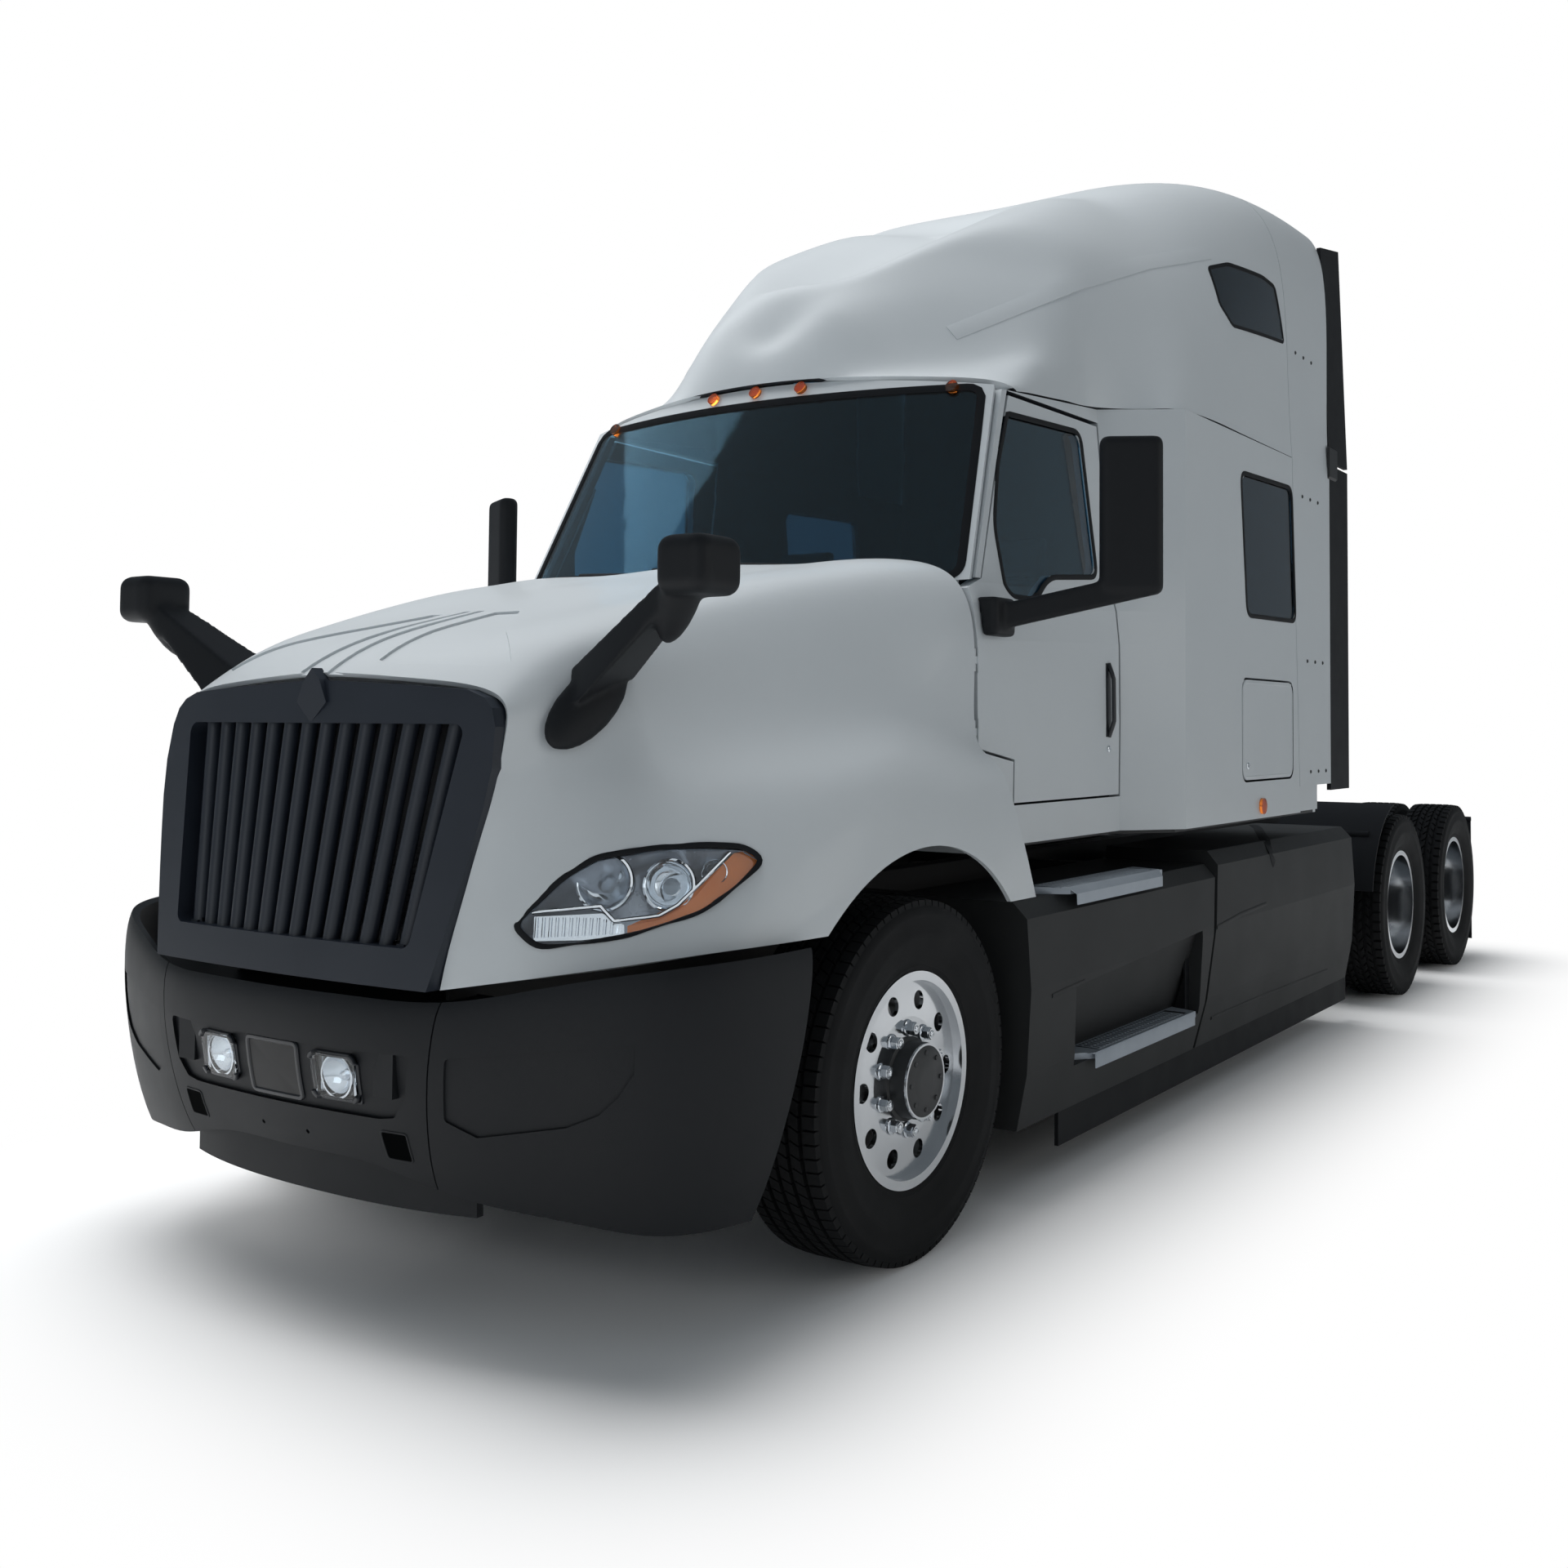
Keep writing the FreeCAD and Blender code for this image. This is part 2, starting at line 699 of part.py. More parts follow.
def bumper_skin():
    """The bumper's whole outer panel."""
    tucks = [(up, share * bumper_tuck) for up, share in bumper_tuck_shares]
    rows = bumper_rows(tucks, bumper_bottom_z, bumper_centre_rise, bumper_top_z)
    return skin(rows, bumper_wall, V(0, 0, bumper_bottom_z))


def valance():
    """The recessed panel below the bumper's middle, on two ribs."""
    high = bumper_bottom_z + bumper_centre_rise + valance_lap
    level = (high + overrun - valance_bottom_z) / (bumper_top_z - valance_bottom_z)
    tucks = [(share * level, valance_setback) for share in (0, 1 / 3, 2 / 3, 1)]
    rows = bumper_rows(tucks, valance_bottom_z, 0, bumper_top_z)
    panel = skin(rows, valance_wall, V(0, 0, bumper_bottom_z))
    panel = panel.common(box(-valance_half, valance_half, -front_overhang, 0, 0, high))
    rib = box(valance_rib_x, valance_rib_x + bumper_wall,
              bumper_tuck + bumper_wall - front_overhang,
              valance_setback + valance_wall - front_overhang, high - bumper_wall, high)
    return fuse(panel, *both(rib))


def shield_point(across_share, z, half_low, half_high):
    """A point of the bowed windshield plane at a share of its half width."""
    climb = (z - belt_z) / (shield_top_z - belt_z)
    half = half_low + (half_high - half_low) * climb
    y = shield_edge_y + shield_lean * climb - shield_bow * (1 - across_share ** 2)
    return V(half * across_share, y, z)


def shield_rows(low_z, high_z):
    """Rows of the windshield's plane, from its foot to its head, which dips at the
    sides by the header's drop."""
    rows = []
    for climb in (0, 1 / 3, 2 / 3, 1):
        row = []
        for share in (1, 0.85, 0.6, 0.3, 0):
            top = high_z - header_drop * share ** 2
            z = low_z + (top - low_z) * climb
            row.append(shield_point(share, z, pillar_half_width, pillar_top_half_width))
        rows.append(across(row))
    return rows


def side_x(z):
    """Outer x of the door line at a height, straight between the profile's points."""
    up = (z - sill_z) / (belt_z - sill_z)
    for (u0, inset0), (u1, inset1) in zip(side_profile_shares, side_profile_shares[1:]):
        if up <= u1 or u1 == side_profile_shares[-1][0]:
            inset = inset0 + (inset1 - inset0) * (up - u0) / (u1 - u0)
            return door_x - inset * (door_x - glasshouse_top_x)


def side_section(y, reach, top_x, top_z, setback, wall):
    """The left wall's section at a station, reach of the way out to the sleeper."""
    height = (top_z - sill_z) / side_profile_shares[-1][0]
    outer = []
    for up, inset in side_profile_shares:
        x = door_x - inset * (door_x - top_x)
        outer.append(V(x + (body_half_width - x) * reach - setback, y, sill_z + up * height))
    inner = [p - V(wall, 0, 0) for p in outer]
    return Part.makePolygon(outer + inner[::-1] + outer[:1])


def cab_side(setback, wall):
    """The left wall, set back from the body line: door plane, flare and sleeper."""
    rear_x = glasshouse_rear_x
    stations = [(cab_front_y, 0, glasshouse_top_x, cab_front_top_z),
                (flare_start_y, 0, rear_x, cab_rear_top_z),
                (flare_end_y, 1, rear_x, sleeper_front_top_z),
                (sleeper_back_y, 1, rear_x, sleeper_top_z - seat_gap)]
    wires = [side_section(*station, setback, wall) for station in stations]
    return Part.makeLoft(wires, True, True)


def door_outline(gap, rear_gap):
    """The door seen from the side, its edges drawn in by the gaps."""
    front = cab_front_y + gap
    rear = flare_start_y - rear_gap
    slope = shield_lean / (shield_top_z - belt_z)
    pillar_y = shield_edge_y + frame_reach_back + pillar_strip + gap
    top_y = pillar_y + slope * (cab_top_z - belt_z)
    return [(door_step_y + gap, door_bottom_z + gap), (rear, door_bottom_z + gap),
            (rear, cab_top_z - gap * 2), (top_y, cab_top_z - gap * 2), (pillar_y, belt_z),
            (front, belt_z - gap * door_corner_share), (front, door_step_z + gap),
            (door_step_y + gap, door_step_z - door_step_drop + gap)]



def pane(frame, shares, gap=0):
    """Corners given as shares of a (y0, y1, z0, z1) frame, each drawn in by the gap."""
    y0, y1, z0, z1 = frame
    corners = []
    for along, up in shares:
        y = y0 + (y1 - y0) * along + (gap if along < 1 / 2 else -gap)
        z = z0 + (z1 - z0) * up + (gap if up < 1 / 2 else -gap)
        corners.append((y, z))
    return corners


def opening(frame, shares, gap=0):
    """A prism through the left wall in the shape of a pane."""
    return side_prism(pane(frame, shares, gap), cab_wall, body_half_width + overrun,
                      window_corner)


def doorway(gap, rear_gap):
    """A prism through the left wall in the shape of the door."""
    return side_prism(door_outline(gap, rear_gap), glasshouse_top_x / 2,
                      body_half_width + overrun)


def shield_prism(gap):
    """A prism through the windshield's opening, drawn in by the gap."""
    foot = shield_half_width - gap
    head = shield_top_half_width - gap
    outline = [(-foot, belt_z + gap), (foot, belt_z + gap),
               (head, shield_top_z - gap), (-head, shield_top_z - gap)]
    return section_prism(outline, 0, roof_front_y * 2, window_corner)


def frame_rails():
    """Channel rails, open inwards, each with a horn that carries the bumper."""
    low = rail_top - rail_height
    inner = rail_outer - rail_flange
    whole = box(inner, rail_outer, -rail_front, frame_reach, low, rail_top)
    hollow = box(inner, rail_outer - rail_web, -rail_front, frame_reach,
                 low + rail_web, rail_top - rail_web)
    horn = box(rail_outer - horn_width, rail_outer, -horn_reach, -rail_front,
               horn_top - horn_height, horn_top)
    root = box(rail_outer - horn_width, rail_outer, -rail_front, horn_height - rail_front,
               horn_top - horn_height, horn_top)
    inner = rail_outer - horn_width
    low, high = hinge_z - hinge_boss, hinge_z + hinge_boss
    block = box(inner, rail_outer, -rail_front, horn_width - rail_front, low, high)
    arm = box(inner, inner + hinge_arm, -hinge_y, -rail_front, low, high)
    boss = rod(V(inner, -hinge_y, hinge_z), V(inner + hinge_arm, -hinge_y, hinge_z),
               hinge_boss)
    pin = rod(V(inner, -hinge_y, hinge_z), V(rail_outer, -hinge_y, hinge_z), hinge_pin)
    return both(fuse(whole.cut(hollow), horn, root, block, arm, boss, pin))


def hood_lug():
    """The left lug behind the grille that turns on the frame's hinge pin."""
    x1 = rail_outer - seat_gap
    x0 = rail_outer - horn_width + hinge_arm + panel_gap
    lug = box(x0, x1, -hinge_y - hinge_boss * 2, -hinge_y,
              hinge_z - hinge_boss, hinge_z + hinge_boss)
    boss = rod(V(x0, -hinge_y, hinge_z), V(x1, -hinge_y, hinge_z), hinge_boss)
    return fuse(lug, boss)


def hinge_pocket():
    """The space in the grille's back that the left hinge arm swings through."""
    x0 = rail_outer - horn_width - panel_gap
    return box(x0, x0 + hinge_arm + panel_gap * 2, -hinge_y - hinge_boss - panel_gap,
               -rail_front, hinge_z - hinge_pocket_drop, hinge_z + hinge_boss + panel_gap)


def hinge_bore():
    """The bore through both lugs."""
    far = rail_outer + overrun
    return rod(V(-far, -hinge_y, hinge_z), V(far, -hinge_y, hinge_z), hinge_pin + seat_gap)


def crossmembers():
    """Members that tie the webs of the rails together."""
    half = rail_outer - rail_web
    high = rail_top - rail_web * 2
    pieces = []
    for share in crossmember_shares:
        y = share * frame_reach
        pieces.append(box(-half, half, y - crossmember_depth / 2, y + crossmember_depth / 2,
                          high - crossmember_depth, high))
    return pieces


def deck_plate():
    """The walkway plate on the rails behind the cab."""
    start = sleeper_back_y + overrun * 2
    return box(-rail_outer, rail_outer, start, start + deck_length,
               rail_top, rail_top + deck_thickness)


def engine_block():
    """The engine as one plain block between the rails."""
    half = rail_outer - rail_flange
    return box(-half, half, engine_front_y, engine_front_y + engine_length,
               engine_bottom_z, engine_bottom_z + engine_height)


def driveline():
    """Gearbox and jointed shafts back to the two drive axles."""
    back = engine_front_y + engine_length
    tail = back + gearbox_length
    high = rail_top - gearbox_radius
    gearbox = rod(V(0, back, high), V(0, tail, high), gearbox_radius)
    first, second = axle_stations()
    nose = first - bowl_radius - nose_length
    joint = shaft_radius * joint_share
    shaft = jointed_shaft(V(0, tail + joint, high), V(0, nose - joint, tyre_radius), joint)
    link = jointed_shaft(V(0, first + bowl_radius + joint, tyre_radius),
                         V(0, second - bowl_radius - nose_length - joint, tyre_radius), joint)
    return [fuse(gearbox, shaft), link]


def jointed_shaft(start, end, joint):
    """A shaft with a ball of a universal joint at each end."""
    return fuse(rod(start, end, shaft_radius), Part.makeSphere(joint, start),
                Part.makeSphere(joint, end))


def radiator():
    """The cooler core between the horns, behind the grille."""
    core = box(-radiator_half, radiator_half, -radiator_y, radiator_thickness - radiator_y,
               rail_top + seat_gap, radiator_top_z)
    foot = box(-radiator_foot_half, radiator_foot_half, -radiator_y,
               radiator_thickness - radiator_y, rail_top - rail_web * 2 + seat_gap,
               rail_top + seat_gap)
    return fuse(core, foot)


def axle_stations():
    """The two drive axles' distances behind the front axle."""
    return wheelbase - tandem_spread / 2, wheelbase + tandem_spread / 2


def front_axle():
    """A dropped beam with a kingpin eye at each end, on two leaf springs."""
    eye = kingpin_half_gauge
    low = tyre_radius - axle_drop
    inner = eye - kingpin_boss * 4
    under = [(-eye, tyre_radius - beam_half_height), (-inner, low - beam_half_height),
             (inner, low - beam_half_height), (eye, tyre_radius - beam_half_height)]
    over = [(x, z + beam_half_height * 2) for x, z in under[::-1]]
    beam = section_prism(under + over, -beam_half_width / 2, beam_half_width / 2)
    pieces = []
    for side in (-eye, eye):
        pieces.append(rod(V(side, 0, tyre_radius - beam_half_height),
                          V(side, 0, tyre_radius + beam_half_height), kingpin_boss))
    beam = fuse(beam, *pieces)
    for side in (-eye, eye):
        beam = beam.cut(rod(V(side, 0, 0), V(side, 0, tyre_radius * 2),
                            kingpin_radius + seat_gap))
        for far, near in ((0, -beam_half_height), (tyre_radius * 2, beam_half_height)):
            beam = beam.cut(rod(V(side, 0, far), V(side, 0, tyre_radius + near),
                                kingpin_boss + panel_gap))
    springs = []
    for side in (-1, 1):
        springs.append(leaf_spring(side * (rail_outer - leaf_width / 2)))
    return fuse(beam, *springs)


def leaf_spring(x):
    """A bowed stack of leaves hung under its rail by two hangers."""
    half = leaf_length / 2
    seat = tyre_radius - axle_drop + beam_half_height
    end = rail_top - rail_height - leaf_stack
    left = x - leaf_width / 2 + panel_gap

    def edge(lift, low, high):
        """The arc of one face of the stack."""
        return Part.Arc(V(left, -half, high + lift), V(left, 0, low + lift),
                        V(left, half, high + lift)).toShape()

    lower = edge(0, seat, end - leaf_stack / 4)
    upper = edge(leaf_stack / 2, seat + leaf_stack / 2, end - leaf_stack / 4)
    ends = [Part.LineSegment(V(left, y, end - leaf_stack / 4),
                             V(left, y, end + leaf_stack / 4)).toShape() for y in (-half, half)]
    wire = Part.Wire(Part.__sortEdges__([lower, ends[1], upper, ends[0]]))
    width = V(leaf_width - panel_gap * 2, 0, 0)
    stack = Part.Face(wire).extrude(width)
    hangers = [box(left, left + width.x, y - leaf_stack / 2, y + leaf_stack / 2,
                   end - leaf_stack / 4, rail_top - rail_height) for y in (-half, half)]
    return fuse(stack, *hangers)


def knuckle(side):
    """A steering knuckle: forked lugs on the kingpin, hub face and steering arm."""
    x = kingpin_half_gauge
    low = tyre_radius - knuckle_half * 2
    high = tyre_radius + knuckle_half * 2
    boss_low = tyre_radius - beam_half_height - panel_gap / 2
    boss_high = tyre_radius + beam_half_height + panel_gap / 2
    pin = rod(V(x, 0, low), V(x, 0, high), kingpin_radius)
    lugs = [rod(V(x, 0, low), V(x, 0, boss_low), kingpin_boss),
            rod(V(x, 0, boss_high), V(x, 0, high), kingpin_boss)]
    web_x = x + kingpin_boss + panel_gap
    face_x = web_x + knuckle_web
    web = box(web_x, face_x, -knuckle_half, knuckle_half, low, high)
    bridges = [box(x, web_x, -kingpin_boss, kingpin_boss, low, boss_low),
               box(x, web_x, -kingpin_boss, kingpin_boss, boss_high, high)]
    arm = box(x - arm_half, x + arm_half, 0, steering_arm, low, low + arm_half * 2)
    eye = rod(V(x, steering_arm, low), V(x, steering_arm, low + arm_half * 2), ball_radius)
    stud = rod(V(x, steering_arm, low - tie_rod_radius * 2), V(x, steering_arm, low),
               ball_pin)
    solid = fuse(pin, *lugs, web, *bridges, arm, eye, stud)
    return solid if side > 0 else mirrored(solid)


def tie_rod():
    """The bar that makes both wheels steer together, below the steering arms."""
    x = kingpin_half_gauge
    high = tyre_radius - knuckle_half * 2 - seat_gap
    low = high - tie_rod_radius * 2
    middle = high - tie_rod_radius
    ends = (-x, x)
    eyes = [rod(V(x, steering_arm, low), V(x, steering_arm, high), ball_radius)
            for x in ends]
    bores = [rod(V(x, steering_arm, low), V(x, steering_arm, high), ball_pin + seat_gap)
             for x in ends]
    bar = rod(V(-x, steering_arm, middle), V(x, steering_arm, middle),
              tie_rod_radius * ball_share)
    return fuse(bar, *eyes).cut(bores)


def turned(outline, y):
    """The solid swept by an outline of (x, radius) points round a wheel's axis."""
    wire = Part.makePolygon([V(x, y, tyre_radius + r) for x, r in outline + outline[:1]])
    return Part.Face(wire).revolve(V(0, y, tyre_radius), V(1, 0, 0), 360)


def tyre(x, y, width, rim_half):
    """A plain tyre with rounded shoulders, seated between the rim's lips."""
    bead = rim_half - rim_lip - seat_gap
    bead_radius = rim_radius - rim_flange + seat_gap
    half = width / 2
    shoulder = tyre_radius - tyre_corner
    bulge = (bead_radius + tyre_radius) / 2
    low = bead_radius + rim_flange + tyre_corner / 2
    tread = half * tread_share
    lip = rim_radius + rim_lip
    corners = [(-bead, bead_radius), (-bead, lip), (-half, low), (-half, bulge),
               (-half, shoulder), (-tread, tyre_radius), (tread, tyre_radius),
               (half, shoulder), (half, bulge), (half, low), (bead, lip),
               (bead, bead_radius)]
    return turned([(x + dx, r) for dx, r in corners], y)


def rim(x, y, rim_half, face, hub_face, side):
    """A rim with its lips, a dished disc with hand holes, and the disc's hub face."""
    r = rim_radius - rim_flange
    barrel = [(-rim_half, r - rim_gauge), (rim_half, r - rim_gauge), (rim_half, rim_radius),
              (rim_half - rim_lip, rim_radius), (rim_half - rim_lip, r),
              (rim_lip - rim_half, r), (rim_lip - rim_half, rim_radius),
              (-rim_half, rim_radius)]
    ring = turned([(x + dx, radius) for dx, radius in barrel], y)
    disc = turned([(face, r - rim_gauge / 2), (face - side * disc_gauge, r - rim_gauge / 2),
                   (hub_face - side * disc_gauge, bolt_circle + stud_radius * 2),
                   (hub_face - side * disc_gauge, hub_radius / 2),
                   (hub_face, hub_radius / 2), (hub_face, bolt_circle + stud_radius * 2)], y)
    holes = []
    middle = (r + bolt_circle) / 2 + stud_radius / 2
    for i in range(hand_holes):
        a = 2 * pi * i / hand_holes
        spot = V(x - rim_half, y + middle * cos(a), tyre_radius + middle * sin(a))
        holes.append(rod(spot, spot + V(rim_half * 2, 0, 0), hand_hole_radius))
    return fuse(ring, disc.cut(holes))


def studs(x0, x1, y, count):
    """Wheel studs with their nuts round the hub."""
    pieces = []
    for i in range(count):
        a = 2 * pi * (i + 1 / 2) / count
        spot = V(x0, y + bolt_circle * cos(a), tyre_radius + bolt_circle * sin(a))
        pieces.append(rod(spot, spot + V(x1 - x0, 0, 0), stud_radius))
    return pieces


def front_wheel():
    """Tyre and rim of the left front wheel."""
    x = front_tyre_half_gauge
    inner = kingpin_half_gauge + kingpin_boss + panel_gap + knuckle_web + seat_gap
    disc_face = x + front_rim_half - disc_inset
    hub_face = disc_face + hub_step
    wheel = rim(x, 0, front_rim_half, disc_face, hub_face, 1)
    hub = rod(V(inner, 0, tyre_radius), V(hub_face + hub_cap, 0, tyre_radius), hub_radius)
    nuts = studs(hub_face - disc_gauge, hub_face + nut_height, 0, wheel_studs)
    return tyre(x, 0, front_tyre_width, front_rim_half), fuse(wheel, hub, *nuts)


def drive_wheel(y):
    """Twin tyres and rims of a left drive wheel, bolted to one hub."""
    outer = drive_outer_half_gauge
    inner = outer - dual_spacing
    middle = (outer + inner) / 2
    outside = rim(outer, y, drive_rim_half, outer - drive_rim_half + disc_gauge * 3,
                  middle + disc_gauge, 1)
    inside = rim(inner, y, drive_rim_half, inner + drive_rim_half - disc_gauge * 3,
                 middle - disc_gauge, -1)
    hub = rod(V(housing_half + seat_gap, y, tyre_radius),
              V(outer, y, tyre_radius), hub_radius)
    flange = rod(V(middle + disc_gauge, y, tyre_radius),
                 V(middle + disc_gauge + nut_height, y, tyre_radius), bolt_circle)
    core = rod(V(middle - disc_gauge, y, tyre_radius), V(middle + disc_gauge, y, tyre_radius),
               bolt_circle + stud_radius * 2)
    nuts = studs(middle, middle + disc_gauge + nut_height * 2, y, wheel_studs)
    tyres = [tyre(x, y, drive_tyre_width, drive_rim_half) for x in (outer, inner)]
    return tyres, fuse(outside, inside, hub, flange, core, *nuts)


def drive_axles():
    """Two axle housings with their round bowls and pinion noses."""
    arc = []
    for i in range(bowl_steps + 1):
        turn = pi * (bowl_margin_share + (1 - 2 * bowl_margin_share) * i / bowl_steps)
        arc.append((-cos(turn) * bowl_radius, sin(turn) * bowl_radius))
    outline = [(-housing_half, 0), (-housing_half, housing_radius),
               (arc[0][0], housing_radius)] + arc
    outline += [(arc[-1][0], housing_radius), (housing_half, housing_radius),
                (housing_half, 0)]
    pieces = []
    for y in axle_stations():
        whole = turned(outline, y)
        nose = rod(V(0, y - bowl_radius - nose_length, tyre_radius), V(0, y, tyre_radius),
                   housing_radius)
        pieces.append(fuse(whole, nose))
    return pieces


def rear_suspension():
    """A hanger, trailing beam and air bag at each end of each drive axle."""
    pieces = []
    under = rail_top - rail_height
    seat = tyre_radius + housing_radius
    outer = rail_outer
    inner = rail_outer - rail_flange
    for y in axle_stations():
        beam = box(inner, outer, y - beam_reach, y + beam_reach, seat, seat + beam_gauge)
        hanger = box(inner, outer, y - beam_reach, y - beam_reach + rail_flange,
                     seat + beam_gauge, under)
        bag_y = y + beam_reach - bag_radius
        bag = rod(V((inner + outer) / 2, bag_y, seat + beam_gauge),
                  V((inner + outer) / 2, bag_y, under), rail_flange / 2)
        pieces += both(fuse(beam, hanger, bag))
    return pieces


def coupling_base():
    """Two rail brackets that carry the coupling plate's trunnions."""
    spread = plate_half_length * trunnion_share
    foot = [(plate_y - spread, rail_top), (plate_y + spread, rail_top),
            (plate_y + trunnion_boss, plate_pivot_z), (plate_y - trunnion_boss, plate_pivot_z)]
    x0 = rail_outer - rail_flange + panel_gap
    bracket = side_prism(foot, x0, rail_outer - panel_gap)
    boss = rod(V(x0, plate_y, plate_pivot_z), V(rail_outer - panel_gap, plate_y, plate_pivot_z),
               trunnion_boss)
    pin = rod(V(0, plate_y, plate_pivot_z), V(rail_outer * 2, plate_y, plate_pivot_z),
              trunnion_radius + seat_gap)
    return both(fuse(bracket, boss).cut(pin))


def coupling_plate():
    """The horseshoe plate: a flat top, a flared throat and a round jaw."""
    low = plate_top_z - plate_thickness
    w, l = plate_half_width, plate_half_length
    outline = [(x * w, plate_y + y * l) for x, y in plate_outline_shares]
    plate = plan_prism(outline, low, plate_top_z)
    throat = [(-jaw_radius, plate_y), (jaw_radius, plate_y), (jaw_radius, plate_y + l / 2),
              (throat_half, plate_y + l * 2), (-throat_half, plate_y + l * 2),
              (-jaw_radius, plate_y + l / 2)]
    plate = plate.cut(plan_prism(throat, 0, plate_top_z * 2))
    plate = plate.cut(rod(V(0, plate_y, 0), V(0, plate_y, plate_top_z * 2), jaw_radius))
    ramp = [(plate_y + l * ramp_share, plate_top_z), (plate_y + l * 2, plate_top_z),
            (plate_y + l * 2, low - plate_thickness)]
    plate = plate.cut(side_prism(ramp, -w, w))
    pieces = []
    x1 = rail_outer - rail_flange
    x0 = x1 - rail_flange
    for side in (-1, 1):
        pieces.append(box(side * x0, side * x1, plate_y - trunnion_boss,
                          plate_y + trunnion_boss, plate_pivot_z - trunnion_boss, low))
        pieces.append(rod(V(side * x0, plate_y, plate_pivot_z),
                          V(side * rail_outer, plate_y, plate_pivot_z), trunnion_radius))
    return fuse(plate, *pieces)


def cab_floor():
    """The floor pan, flared to the sleeper's width, on four mounts."""
    front = cab_front_y + firewall_setback + firewall_thickness
    narrow = side_x(sill_z) - cab_wall - seat_gap
    wide = body_half_width - cab_wall - seat_gap
    back = sleeper_back_y - back_wall
    half = [(narrow, front), (narrow, flare_start_y), (wide, flare_end_y), (wide, back)]
    outline = half + [(-x, y) for x, y in half[::-1]]
    pan = plan_prism(outline, floor_z - floor_thickness, floor_z)
    mounts = []
    for y in (front, back - mount_length):
        for side in (-1, 1):
            mounts.append(box(side * (rail_outer - rail_flange), side * rail_outer,
                              y, y + mount_length, rail_top, floor_z - floor_thickness))
    return fuse(pan, *mounts)


def cab_front():
    """Firewall, cowl and the windshield's frame as one welded front."""
    half = side_x(sill_z) - cab_wall - curve_gap
    y0 = cab_front_y + firewall_setback
    wall = box(-half, half, y0, y0 + firewall_thickness,
               floor_z - floor_thickness, cowl_z)
    shares = [1, 3 / 4, 1 / 2, 1 / 4, 0, -1 / 4, -1 / 2, -3 / 4, -1]
    edge = []
    for share in shares:
        p = shield_point(share, cowl_z, pillar_half_width, pillar_top_half_width)
        edge.append((p.x, p.y + frame_wall / 2))
    back = [(-pillar_half_width, y0 + firewall_thickness),
            (pillar_half_width, y0 + firewall_thickness)]
    cowl = plan_prism(edge + back, cowl_z - firewall_thickness, cowl_z)
    frame = skin(shield_rows(cowl_z - firewall_thickness, header_z),
                 frame_wall, V(0, roof_front_y * 2, belt_z))
    front = fuse(frame.cut(shield_prism(0)), cowl, wall)
    front = largest(front.cut([door_room(), mirrored(door_room()), roof_room()]))
    return fuse(front, *both(fuse(*door_lugs())))


def windshield():
    """The bowed screen, just clear of its frame."""
    rows = shield_rows(cowl_z, header_z)
    return skin(rows, glass, V(0, roof_front_y * 2, belt_z)).common(shield_prism(seat_gap))


def cab_side_left():
    """The left wall with its doorway, sleeper window and luggage hatch cut out."""
    wall = cab_side(0, cab_wall)
    wall = wall.cut(doorway(0, jamb_gap))
    wall = wall.cut(pillar_wedge())
    wall = wall.cut(opening(sleeper_window, sleeper_window_shares))
    wall = wall.cut(opening(hatch_frame, square_shares))
    wall = wall.cut(extender_zone(panel_gap))
    wall = largest(wall.cut(roof_room()))
    return fuse(wall, hatch_pin(hatch_pin_radius, seat_gap))


def largest(shape):
    """The largest solid of a shape."""
    return max(shape.Solids, key=lambda s: s.Volume)


def roof_room():
    """The space the roof cap takes, let down a little."""
    room = roof_shell(roof_wall)
    room.translate(V(0, 0, -curve_gap))
    return room


def door_room():
    """The space the left door takes, with clearance all round."""
    wall = cab_side(-panel_gap, cab_wall + panel_gap * 2)
    return wall.common(doorway(door_gap - panel_gap, latch_gap - panel_gap))


def door_barrel_rod(z, low, high, radius):
    """An upright round piece on the left door's hinge line."""
    return rod(V(door_pin_x, door_pin_y, z + low), V(door_pin_x, door_pin_y, z + high),
               radius)


def door_lugs():
    """The left door's hinge barrels with their pins, on lugs from the firewall."""
    y0, y1 = door_pin_y - door_barrel, door_pin_y + door_barrel
    far = door_barrel_half + curve_gap + door_barrel_half * 2
    near = door_barrel_half + curve_gap
    lugs = []
    for z in door_hinge_heights:
        pieces = [door_barrel_rod(z, -far, far, door_pin)]
        for low, high in ((-far, -near), (near, far)):
            pieces.append(door_barrel_rod(z, low, high, door_barrel))
            pieces.append(box(door_lug_x, door_pin_x, y0, y1, z + low, z + high))
            pieces.append(box(door_lug_x, door_lug_step_x, y0,
                              cab_front_y + firewall_setback + firewall_thickness,
                              z + low, z + high))
        lugs.append(fuse(*pieces))
    return lugs


def hang_door(panel):
    """The left door notched round the hinges, with an eye on each pin."""
    far = door_barrel_half * 3 + curve_gap + panel_gap
    for z in door_hinge_heights:
        panel = panel.cut(box(door_lug_x, door_x + overrun, cab_front_y - overrun,
                              door_pin_y + door_barrel + panel_gap, z - far, z + far))
        eye = door_barrel_rod(z, -door_barrel_half, door_barrel_half, door_barrel)
        tongue = box(door_pin_x - door_barrel, door_pin_x + door_barrel, door_pin_y,
                     door_pin_y + door_tongue, z - door_barrel_half, z + door_barrel_half)
        panel = fuse(panel, eye, tongue)
        panel = panel.cut(door_barrel_rod(z, -far, far, door_pin + seat_gap))
    return panel


def hatch_pin(radius, sunk):
    """The left hatch's hinge pin along the head of its opening."""
    x = body_half_width - hatch_pin_radius - hatch_lip
    z = hatch_top_z - hatch_gap - hatch_pin_radius - hatch_lip
    return rod(V(x, hatch_front_y - sunk, z), V(x, hatch_back_y + sunk, z), radius)


